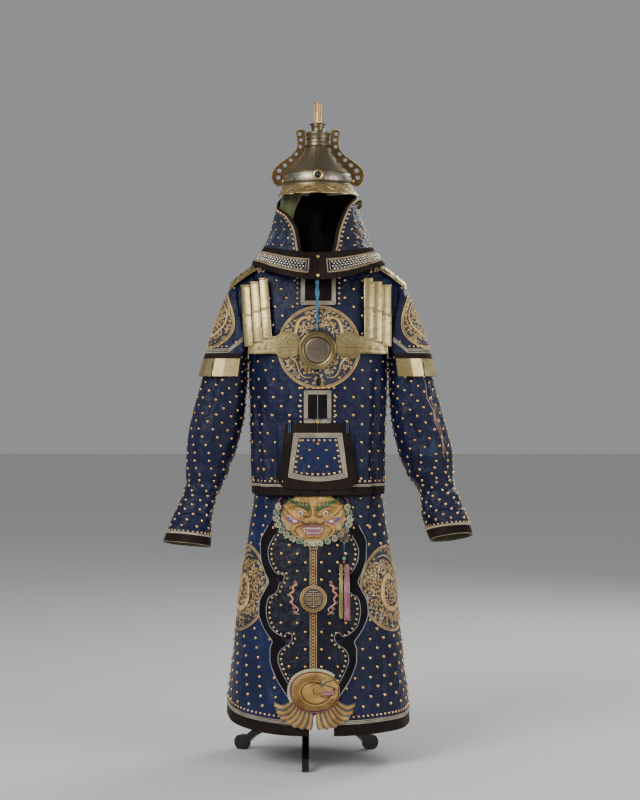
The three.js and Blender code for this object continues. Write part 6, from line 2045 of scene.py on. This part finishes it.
def dress_hood():
    for side, label in SIDES:
        velvet_edge = [(flap_line(side, label, 5), 5.5, 2.0)]
        stroke_object(f"hood_edge_{label}", VELVET, mantle, RINGS, velvet_edge, lift=0.2, sides=8)
        cords = [(flap_line(side, label, back), 1.7, 2.6) for back in (11.5, 14.5)]
        rim_start = -0.2 if side > 0 else math.pi + 0.2
        rim = [(level_path(rim_start, BACK, 0.035, 100), 1.6, 2.6)]
        stroke_object(f"hood_piping_{label}", TAN, mantle, RINGS, cords + rim, lift=0.2)
        stud_object(f"hood_studs_{label}", mantle, RINGS, hood_studs(side, label), 4.0)
        make_collar_panel(side, label)
    worn = []
    for turn, drop in HOOD_SPLITS:
        split = curve_through([(turn - 0.09, drop), (turn, drop + 0.03), (turn + 0.10, drop + 0.075)], 10)
        worn.append((split, taper(10, 0.6, 0.5, 4.0), 1.0))
    stroke_object("hood_worn_lines", WORN, mantle, RINGS, worn)


def make_collar_panel(side, label):
    """The studded satin panel on the velvet collar, with its two cords and the gathers above and below."""
    start, end = (FRONT + 0.15, BACK - 0.08) if side > 0 else (FRONT + 2 * math.pi - 0.15, BACK + 0.08)
    patch(f"collar_panel_{label}", SATIN, mantle, RINGS, start, end, np.linspace(1.24, 1.76, 12),
          1.5, 1.2, 150)
    cords = []
    for inset, width in ((0.0, 2.2), (0.055, 1.3)):
        near, low, high = start + (inset if side > 0 else -inset) * 0.8, 1.24 + inset, 1.76 - inset
        path = [(near, low), (end, low), (end, high), (near, high), (near, low)]
        cords.append((resampled(path, 0.03)[:-1], width, 2.6, True))
    stroke_object(f"collar_cords_{label}", TAN, mantle, RINGS, cords, lift=1.4)
    inner_start = start + (0.09 if side > 0 else -0.09)
    dots = [spaced(mantle, level_path(inner_start, end, drop, 400), 9.8, 4.9 * (i % 2))
            for i, drop in enumerate((1.36, 1.453, 1.547, 1.64))]
    stud_object(f"collar_studs_{label}", mantle, RINGS, np.concatenate(dots), 3.3, 1.5, material=PALE_BRASS)
    height = 2.4 + 0.8 * np.sin(np.arange(160) * 1.9)
    for drop in (1.2, 1.83):
        row = [(level_path(start, end, drop, 160), 1.8, height)]
        stroke_object(f"collar_gathers_{label}_{int(drop * 100)}", VELVET, mantle, RINGS, row,
                      lift=0.3)


def make_collar_fastening():
    """Two buttons at the collar's front, and the knot beside the hood's opening."""
    buttons = [(mantle(np.array(FRONT), np.array(drop)) + [0, -5, 0], 6.0) for drop in (1.13, 1.86)]
    balls("collar_buttons", GILT, buttons)
    knot = mantle(np.array(-0.13), np.array(0.32))
    t = full_turn(22)
    parts = []
    for start, turn in ((0, 1.0), (2.1, -1.0), (4.2, 1.0)):
        loop = knot + np.stack([8 * np.cos(t + start), -4 + 4 * np.sin(2 * t + start),
                                10 * np.sin(t) * turn], -1)
        parts.append(cord_mesh(loop, FORWARD, 4.0, 6.5, True, 8))
    trim("lining_knot", joined_mesh(parts), LINING)


# Plates, mirror, front flap and guards

def facing(name, profile, material, x, back, z, segments=72):
    """A turned form that faces forward. The profile is (radius, distance forward of its back)."""
    points, faces = lathe_mesh(creased(profile), segments)
    points = points[:, [0, 2, 1]] * [1, -1, 1] + [x, back, z]
    return make_object(name, points, turned_out(points, faces), material)


def creased(profile, gap=0.4):
    """The same profile with a short flat on each side of every corner, so that edges stay crisp."""
    profile = np.asarray(profile, float)
    rows = [profile[0]]
    for before, corner, after in zip(profile, profile[1:], profile[2:]):
        for other in (before, after):
            way = other - corner
            length = np.linalg.norm(way)
            rows.append(corner + way / length * min(gap, length * 0.3))
    rows.append(profile[-1])
    return np.array(rows)


def bezier(start, curves, count=16):
    t = np.linspace(0, 1, count)[1:, None]
    points = [np.array([start], float)]
    for a, b, end in curves:
        s, a, b, e = points[-1][-1], np.array(a, float), np.array(b, float), np.array(end, float)
        points.append((1 - t) ** 3 * s + 3 * t * (1 - t) ** 2 * a + 3 * t * t * (1 - t) * b + t ** 3 * e)
    return np.concatenate(points)


LAMES = [  # top and bottom x on the left side, on the right side, then top, break and bottom heights
    (160, 147, 148, 148, 1426, 1334, 1247), (187, 174, 175, 175, 1416, 1325, 1237),
    (214, 201, 202, 202, 1407, 1315, 1225),
]


LAME_HALF = 13.1


def lame_part(name, side, head, foot, heights, high, low, lift):
    """One strip of a lame, bowed across, with its upper edge curled out."""
    top, bottom = heights
    levels = np.concatenate([high - np.array([0, 1.2, 2.6, 4.2, 6, 8]), np.linspace(high - 10, low, 20)])
    x = side * (foot + (head - foot) * (levels - bottom) / (top - bottom))
    u, v = sheet_grid(x - LAME_HALF, x + LAME_HALF, levels, 15)
    bow = 1.8 * (1 - ((u - x[:, None]) / LAME_HALF) ** 2)
    curl = 2.6 * bump((high - 2.6 - v) / 2.4)
    piece = shell(name, PALE_GILT, harness, u, v, FLAT, lift + bow + curl, 1.4)
    return piece


def make_lames():
    """Each lame is bent across its middle, where the upper strip laps over the lower."""
    for i, (left_top, left_bottom, right_top, right_bottom, top, middle, bottom) in enumerate(LAMES):
        for side, label in SIDES:
            name = f"chest_lame_{label}_{i + 1}"
            ends = (left_top, left_bottom) if side < 0 else (right_top, right_bottom)
            upper = lame_part(f"{name}_upper", side, *ends, (top, bottom), top, middle, 3.0)
            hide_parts(name)
            lame_part(f"{name}_lower", side, *ends, (top, bottom), middle + 6, bottom, 4.3)


WING = [((54, 1262), (72, 1262), (82, 1268)), ((94, 1272), (108, 1264), (122, 1255)),
        ((140, 1257), (165, 1246), (204, 1228)), ((204.7, 1220), (205.3, 1212), (206, 1204)),
        ((180, 1200), (150, 1206), (124, 1204)), ((110, 1192), (96, 1190), (84, 1193)),
        ((72, 1192), (58, 1196), (52, 1212))]


WING_SCROLLS = [  # x, z, size, start, spin
    (82, 1236, 12, 0.6, 1), (80, 1211, 10, 5.4, -1), (106, 1234, 12, 1.4, -1), (108, 1212, 9, 4.2, 1),
    (134, 1230, 9, 2.0, 1), (152, 1222, 7, 1.0, -1), (172, 1219, 6, 0.4, 1),
]
WING_PINS = ((198, 1224), (199, 1209), (124, 1250), (124, 1209))


def engrave_wings():
    """Two lines inside the wing's outline, scrolls and a long vein, and four pins."""
    outline = bezier((52, 1243), WING, 12)
    inward = np.array([108.0, 1228.0]) - outline
    for side, label in SIDES:
        flip = np.array([side, 1])
        strokes = []
        for inset, width in ((3.5, 1.0), (8.5, 0.7)):
            inner = outline + inward / np.linalg.norm(inward, axis=1, keepdims=True) * inset
            inner = inner[np.hypot(inner[:, 0] - 2 * side, inner[:, 1] - MIRROR_Z) > 60]
            strokes.append((inner * flip, width, 1.6))
        for x, z, size, start, spin in WING_SCROLLS:
            strokes.append((spiral(x, z, size, start, 1.5, spin, 22) * flip, 0.9, 1.6))
        vein = curve_through([(66, 1224), (94, 1222), (120, 1220), (146, 1218), (196, 1215)], 40)
        strokes.append((vein * flip, 0.9, 1.5))
        stroke_object(f"mirror_wing_{label}_engraving", AGED_BRASS, harness, FLAT, strokes, lift=2.1)
        pins = [(x * side, z) for x, z in WING_PINS]
        stud_object(f"mirror_wing_{label}_pins", harness, FLAT, pins, 2.6, 2.2, around=12)


def make_mirror():
    x, back, z = -2, -138.7, MIRROR_Z
    ring = [(36, 0), (55, 0), (57, 2), (57, 9), (53, 12), (40, 10.5), (38.4, 8), (36, 6), (36, 0)]
    piece = facing("mirror_ring", ring, AGED_BRASS, x, back, z)
    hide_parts("breast_mirror")
    disc = [(0.4, 2), (36.4, 2), (36.4, 7.4), (34.5, 8.4), (24, 9.0), (10, 9.3), (0.4, 9.4)]
    piece = facing("mirror_disc", disc, STEEL, x, back, z)
    groove = [(47.6, 10.2), (49.4, 11.9), (51.4, 12.6), (50.2, 11.2), (47.6, 10.2)]
    piece = facing("mirror_bead_line", groove, AGED_BRASS, x, back, z)


CORD_ROWS = [  # z, y, half width, half depth
    (1271.6, -145, 3.2, 2.4), (1320, -149, 4.2, 3), (1360, -155, 6, 3.4), (1398, -163, 7, 4),
    (1415.6, -169, 5, 3),
]


def make_mirror_cord():
    """Two plies twisted round each other, wider at the neck knot."""
    z = np.linspace(1271.8, 1415.4, 160)
    y = through(CORD_ROWS, 1)(z)
    half, deep = through(CORD_ROWS, 2)(z), through(CORD_ROWS, 3)(z)
    turn = (z - 1271) / 11.5
    parts = []
    for phase in (0, math.pi):
        path = np.stack([-2 + half * 0.5 * np.cos(turn + phase), y + deep * 0.5 * np.sin(turn + phase), z],
                        -1)
        parts.append(cord_mesh(path, FORWARD, half * 0.52, deep * 1.05, sides=8))
    piece = make_object("mirror_cord_twist", *joined_mesh(parts), BLUE_CORD)
    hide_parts("mirror_cord")


def flap_half(z):
    straight = 92 + 22 * np.clip((998 - z) / 165, 0, 1)
    curve = 114 * np.sqrt(np.clip(1 - ((833 - z) / 27.5) ** 2, 0, 1)) ** 0.5
    return np.where(z > 833, straight, np.minimum(straight, curve))


def flap_bottom(x):
    """How much the flap's lower lines rise towards their ends."""
    return 0.0016 * x * x


def flap_piping():
    rows = []
    for inset in (0, 3.6, 7.2, 10.8):
        bottom = [(x * (84 - inset) / 84, 832 + inset + flap_bottom(x)) for x in np.linspace(-84, 84, 25)]
        top = 970 - inset
        corners = [(-68 + inset, top), *bottom, (68 - inset, top), (-68 + inset, top)]
        rows.append((resampled(corners, 4)[:-1], 2.0, 3.0, True))
    return rows


def flap_studs():
    bottom = [(x, 851 + flap_bottom(x)) for x in np.linspace(-62, 62, 20)]
    ring = [(-52, 950), (-66, 864), *bottom, (66, 864), (52, 950), (-52, 950)]
    dots = list(spaced(smooth_front, resampled(ring, 2), 15.8))
    return dots + [(-24, 922), (24, 922), (0, 898), (-26, 874), (26, 874), (-48, 898), (48, 898), (0, 940)]


def make_flap():
    """The velvet flap below the waist, its satin field, piping, studs, ties and toggles."""
    levels = np.concatenate([np.linspace(998, 833, 36), 833 - 27 * np.linspace(0, 1, 18)[1:] ** 0.7])
    half = flap_half(levels)
    u, v = sheet_grid(-1 - half, -1 + half, levels, 44)
    piece = shell("front_flap_velvet", VELVET, smooth_front, u, v, FLAT, 5.3, 3.0,
                  cut=("hung", ["coat_front_left_cloth", "coat_front_right_cloth"]))
    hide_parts("front_flap")
    levels = np.linspace(966, 836, 40)
    half = np.interp(levels, [836, 845, 966], [70, 80, 65])
    patch("flap_field", BRIGHT_SATIN, smooth_front, FLAT, -half, half, levels, 6.6, 1.2)
    stroke_object("flap_piping", PIPING, smooth_front, FLAT, flap_piping(), lift=6.4)
    stud_object("flap_studs", smooth_front, FLAT, flap_studs(), 4.6, 6.6)
    cords = [(np.array([(-1, z) for z in np.linspace(1000, 972, 10)]), 1.5, 3.0),
             (curve_through([(-44, 1013), (-20, 1013), (0, 1008), (20, 1014), (46, 1010)], 30), 1.3, 3.0)]
    cords += [(np.array([(x, z) for z in np.linspace(1002, 970, 10)]), 2.2, 3.4) for x in (-84, -79, 82, 87)]
    stroke_object("flap_cords", DARK_CORD, smooth_front, FLAT, cords, lift=6.0)
    stud_object("flap_toggles", smooth_front, FLAT, [(-1, 1004)], 6.6, 6.0, material=GILT, around=18)
    side_toggles = [(-82, 1005), (84, 1005)]
    stud_object("flap_side_toggles", smooth_front, FLAT, side_toggles, 4.6, 5.4, material=GILT, around=14)


PLATE_STEPS = (0.01, 0.5)
PLATE_ROWS = [(168, 1485.2), (198, 1468.6), (232, 1444.6), (262, 1418.5)]  # distance out, height


def plate_face(side):
    """The shoulder plate's upper face: share of the way from front to back, distance out from the middle."""
    def at(share, x):
        z = np.interp(x, [row[0] for row in PLATE_ROWS], [row[1] for row in PLATE_ROWS]) - 24 * share ** 2
        return stacked(side * x, share * 62, z)
    return at


def plate_middle(share, x):
    return stacked(0.0, 0.0, 1300.0)


def make_plates():
    """Engraved lines and knotted ties on the shoulder plates."""
    for side, label in SIDES:
        plate = plate_face(side)
        strokes = []
        for share in (-0.92, -0.8, 0.8, 0.92):
            x = np.linspace(171, 259, 40)
            point, normal = normals(plate, np.full_like(x, share), x, PLATE_STEPS, plate_middle)
            strokes.append(cord_mesh(point + normal * 0.9, normal, 0.9, 1.8))
        for k in range(5):
            share = np.linspace(-0.74, 0.74, 60)
            x = 182 + 15.5 * k + 4 * np.sin(share * 16 + k)
            point, normal = normals(plate, share, x, PLATE_STEPS, plate_middle)
            strokes.append(cord_mesh(point + normal * 0.8, normal, 0.8, 1.6))
        trim(f"shoulder_plate_{label}_engraving", joined_mesh(strokes), AGED_BRASS)
        corner = plate(np.array([-1.0]), np.array([172.0]))[0]
        turn = full_turn(20)
        knots = []
        for shift, size in ((0, 6), (9, 4.4)):
            loop = np.stack([size * np.cos(turn), 3.2 * np.sin(2 * turn), size * np.sin(turn)], -1)
            knots.append(cord_mesh(corner + [side * (shift - 8), -5, -5] + loop, FORWARD, 2.8, 5.0, True, 8))
        trim(f"shoulder_tie_{label}", joined_mesh(knots), TAN)


GUARD_LOW, GUARD_HIGH = 1184, 1412


def guard_piping(surface, middle, label):
    """Three cords that run down the guard's sides and along its foot."""
    strokes = []
    for back in (24, 29, 34):
        z = GUARD_LOW + back
        corner = [(-1.52, z + 34), (-1.24, z), *level_path(-1.2, 1.2, z, 80), (1.24, z), (1.52, z + 34)]
        strokes.append((np.array(corner), 2.0, 3.0))
    stroke_object(f"guard_{label}_piping", PIPING, surface, ARM, strokes, None, 0.2, middle)


def guard_studs(surface):
    """Staggered rows of studs, clear of the medallion."""
    centre = surface(np.array(GUARD_TURN), np.array(float(GUARD_Z)))
    grid = []
    for i, z in enumerate(np.arange(1240, 1404, 20.0)):
        row = spaced(surface, level_path(-1.42, 1.42, z, 200), 36, 18 * (i % 2) + 6)
        away = np.linalg.norm(surface(row[:, 0], row[:, 1]) - centre, axis=1) > 92
        grid.append(row[away])
    return np.concatenate(grid)


def make_guards():
    """Padded satin guards with a piped edge, over scales hung from a velvet band."""
    for side, label in SIDES:
        surface, middle = guard(side), guard_middle(side)
        u, v = sheet_grid(-math.pi / 2, math.pi / 2, np.linspace(GUARD_HIGH, GUARD_LOW, 46), 42)
        piece = shell(f"shoulder_guard_{label}_cloth", SATIN, surface, u, v, ARM, 0.0, WALL, middle,
                      cut=("hung", [f"shoulder_plate_{label}"]))
        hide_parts(f"shoulder_guard_{label}")
        guard_piping(surface, middle, label)
        u, v = sheet_grid(-1.55, 1.55, np.linspace(1205, 1185, 6), 60)
        band = shell(f"guard_band_{label}", VELVET, surface, u, v, ARM, 1.2, 1.0, middle)
        dots = spaced(surface, level_path(-1.2, 1.2, 1226, 200), 14, 6)
        stud_object(f"guard_{label}_band_studs", surface, ARM, dots, 3.6, 1.2, middle)
        stud_object(f"guard_{label}_studs", surface, ARM, guard_studs(surface), 3.8, 0.0, middle)


# Helmet, with its band, ribs, jewel, crests and plume tube

DOME = [(97, 1746), (90, 1753), (74, 1768), (57, 1787), (45, 1806), (36, 1826)]


DOME_SHARES = np.linspace(0, 1, len(DOME))
DOME_RADII, DOME_HEIGHTS = zip(*DOME)


def bowl_side(angle, share):
    r = np.interp(share, DOME_SHARES, DOME_RADII)
    return stacked(r * np.cos(angle), r * np.sin(angle), np.interp(share, DOME_SHARES, DOME_HEIGHTS))


HELMET_RINGS = [  # radius, height, size
    (104.2, 1716, 1.4), (98.6, 1744, 1.4), (36.9, 1828, 1.5), (35.6, 1849, 1.0), (23.4, 1894, 1.2),
]
BAND = [(103.4, 1714), (105.4, 1714.6), (98.6, 1745.4), (96.4, 1746), (103.4, 1714)]
NECK = [
    (36.5, 1837), (33.5, 1839), (35.5, 1862), (37, 1864), (37, 1869), (19, 1871), (20, 1884), (24, 1896),
    (21, 1896), (21, 1890), (0.4, 1890),
]
INSIDE = [(0.4, 1820), (33, 1820), (54, 1785), (71, 1766), (93, 1745), (101, 1709), (106, 1695)]
BOSS = [(8.4, -3), (16, -3), (17, 0), (16, 4), (12, 6.4), (9, 5), (8.4, 1), (8.4, -3)]
JEWEL_Z = 1731


def turned_mesh(profile, segments):
    points, faces = lathe_mesh(profile, segments)
    return points, turned_out(points, faces)


def helmet_rings():
    turn = full_turn(120)
    out = stacked(np.cos(turn), np.sin(turn), 0.0)
    return joined_mesh([cord_mesh(stacked(r * np.cos(turn), r * np.sin(turn), z), out, size, size * 1.8, True)
                        for r, z, size in HELMET_RINGS])


def helmet_rib(place, label):
    share = np.linspace(0.02, 0.98, 50)
    r = np.interp(share, DOME_SHARES, DOME_RADII)
    u, v = sheet_grid(place - 6.5 / r, place + 6.5 / r, share, 9)
    rib = shell(f"helmet_rib_{label}", IRON, bowl_side, u, v, RINGS, 3.6, 4.4)
    lines = [(np.stack([place + off / r, share], -1), 1.1, 2.2) for off in (-4.6, 4.6)]
    stroke_object(f"helmet_rib_{label}_lines", BRONZE, bowl_side, RINGS, lines, lift=3.2)


def make_helmet():
    outer = [(109, 1695), (108, 1708), (104, 1713), *map(tuple, curve_through(DOME, 26)), *NECK]
    piece = make_object("helmet_shell", *turned_mesh(creased(INSIDE + outer), 80), IRON)
    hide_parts("helmet_bowl")
    trim("helmet_band", turned_mesh(creased(BAND), 80), BAND_IRON)
    trim("helmet_rings", helmet_rings(), BRONZE)
    for place, label in ((FRONT, "front"), (BACK, "back")):
        helmet_rib(place, label)
    piece = facing("helmet_boss_ring", BOSS, GILT, 0, -99, JEWEL_Z, 40)
    balls("helmet_jewel", DARK_BEAD, [((0, -101.5, JEWEL_Z), 8.8, 1.0)])
    balls("helmet_lug", GILT, [((-103.5, -22, 1722), 6.0, 1.0), ((103.5, -22, 1722), 6.0, 1.0)])


CREST = [((38, 1882), (66, 1884), (67, 1870)), ((60, 1846), (58, 1828), (70, 1812)),
         ((84, 1792), (126, 1778), (136, 1752)), ((142, 1736), (134, 1716), (122, 1710))]
CREST_HOLES = [(55, 1866, 6), (51, 1848, 5.5), (54, 1828, 6), (66, 1806, 6), (82, 1788, 6), (99, 1772, 6.5),
               (116, 1756, 7), (119, 1735, 6.5)]


CREST_FACE = 1.4  # Y of the crest's faces


def dress_crests():
    """Beads along each crest's edge, and on both faces rings round its holes and an inner line."""
    edge = resampled(bezier((37.6, 1866), CREST, 16), 6.4)
    turn = full_turn(26)
    for side, label in SIDES:
        balls(f"crest_{label}_beads", GILT, [((side * x, 0, z), 2.3, 1.0) for x, z in edge])
        parts = []
        for x, z, r in CREST_HOLES:
            for y in (-CREST_FACE, CREST_FACE):
                ring = stacked(side * (x + (r + 0.9) * np.cos(turn)), y, z + (r + 0.9) * np.sin(turn))
                parts.append(cord_mesh(ring, (0, np.sign(y), 0), 1.0, 1.6, True))
        for y in (-CREST_FACE, CREST_FACE):
            inner = stacked(side * (edge[:, 0] - 4.2), y, edge[:, 1] - 1.5)
            parts.append(cord_mesh(inner, (0, np.sign(y), 0), 0.8, 1.4))
        trim(f"crest_{label}_rings", joined_mesh(parts), BRONZE)


def peak(angle, share):
    aside = angle / math.radians(76)
    r = 109 + share * (40 * np.sqrt(np.maximum(0, 1 - aside ** 2)) + 3 * np.cos(14 * angle))
    z = 1703 - share * (30 + 1.2 * np.cos(14 * angle))
    return stacked(r * np.sin(angle), -r * np.cos(angle), z)


def dress_peak():
    angle = np.linspace(-1.22, 1.22, 200)
    lines = [(np.stack([angle, 0.5 + 0.16 * np.sin(angle * 21)], -1), 1.6, 2.6),
             (np.stack([angle, np.full(200, 0.93)], -1), 1.2, 2.2),
             (np.stack([angle, np.full(200, 0.12)], -1), 1.2, 2.2)]
    stroke_object("helmet_peak_scroll", GILT, peak, RINGS, lines, lift=0.9)


def tube(angle, z):
    return stacked(8.5 * np.cos(angle), 8.5 * np.sin(angle), z)


def dress_tube():
    rows = [(8.4, 1890.8), (11, 1891.4), (11, 1894), (9.2, 1896), (9.2, 1958), (10, 1959), (10, 1961.6),
            (6.2, 1961.8), (6.2, 1891), (8.4, 1890.8)]
    piece = make_object("plume_tube_shell", *turned_mesh(creased(rows), 48), GILT)
    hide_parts("plume_tube")
    lines = [(np.stack([np.full(30, a), np.linspace(1897, 1957, 30)], -1), 1.0, 1.8)
             for a in np.arange(0, 2 * math.pi, math.pi / 6)]
    stroke_object("plume_tube_lines", BRASS, tube, (0.02, 0.5), lines, lift=0.9)


STAND_COLUMN = [(0.4, 100), (16, 104), (26, 122), (40, 140), (44, 170), (40, 222), (26, 240), (20, 262),
                (24, 275), (17, 290), (17, 830), (46, 846), (0.4, 849.5)]


def make_stand():
    points, faces = lathe_mesh(creased(STAND_COLUMN, 3.0), 72)
    points = points + [-36, 0, 0]
    piece = make_object("stand_column_turned", points, turned_out(points, faces), LACQUER)
    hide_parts("stand_column")


make_coat()
make_sleeves()
make_skirt()
make_apron()
make_hood()
make_lining()
dress_coat()
make_frames()
make_medallions()
dress_sleeves()
dress_skirt()
make_border()
make_apron_studs()
make_column()
make_small_dragons()
make_mask()
make_creature()
make_pendant()
dress_hood()
make_collar_fastening()
make_lames()
engrave_wings()
make_mirror()
make_mirror_cord()
make_flap()
make_plates()
make_guards()
make_helmet()
dress_crests()
dress_peak()
dress_tube()
make_stand()

# Rigid solids keep their own shapes with better finishes

FINISH = {"helmet_crest_left": BRONZE, "helmet_crest_right": BRONZE, "helmet_peak": PALE_GILT,
          "shoulder_plate_left": PALE_GILT, "shoulder_plate_right": PALE_GILT,
          "mirror_wing_left": PALE_GILT, "mirror_wing_right": PALE_GILT, "guard_scales_left": PALE_GILT,
          "guard_scales_right": PALE_GILT, "dress_form": MATT_BLACK, "head_post": MATT_BLACK,
          "stand_leg_front": LACQUER, "stand_leg_left": LACQUER, "stand_leg_right": LACQUER,}
for node, finish in FINISH.items():
    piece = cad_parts[node]
    piece = piece if isinstance(piece, bpy.types.Object) else bpy.data.objects[node]
    piece.data.materials.clear()
    piece.data.materials.append(finish)


# Floor, light and camera

def make_stage():
    bpy.ops.mesh.primitive_plane_add(size=60, location=(0, 0, 0))
    floor = bpy.context.object
    floor.name = "studio_floor"
    material, _, shader = nodes_of("pale_floor")
    shader.inputs["Base Color"].default_value = (0.76, 0.75, 0.73, 1)
    shader.inputs["Roughness"].default_value = 0.8
    floor.data.materials.append(material)
    world = bpy.data.worlds.new("studio")
    bpy.context.scene.world = world
    world.use_nodes = True
    world.node_tree.nodes["Background"].inputs["Color"].default_value = (0.70, 0.71, 0.73, 1)
    world.node_tree.nodes["Background"].inputs["Strength"].default_value = 0.42
    lamps = [  # name, place, aim, size, power
        ("key_light", (-2.6, -3.4, 3.4), (0, 0, 1.0), 2.2, 170),
        ("fill_light", (3.4, -2.6, 2.0), (0, 0, 1.0), 2.4, 70),
        ("rim_light", (2.4, 2.8, 3.2), (0, 0, 1.2), 1.8, 90),
    ]
    for name, place, aim, size, power in lamps:
        data = bpy.data.lights.new(name, "AREA")
        data.size, data.energy = size, power
        lamp = bpy.data.objects.new(name, data)
        lamp.location = place
        lamp.rotation_euler = (Vector(aim) - Vector(place)).to_track_quat("-Z", "Y").to_euler()
        bpy.context.scene.collection.objects.link(lamp)


def make_camera():
    data = bpy.data.cameras.new("camera")
    data.sensor_width = 36
    data.lens = 1783 / 800 * 36
    camera = bpy.data.objects.new("camera", data)
    camera.location = (0.006, AXIS[1] - 5.35, 1.068)
    camera.rotation_euler = (math.pi / 2, 0, 0)
    bpy.context.scene.collection.objects.link(camera)
    bpy.context.scene.camera = camera


make_stage()
make_camera()
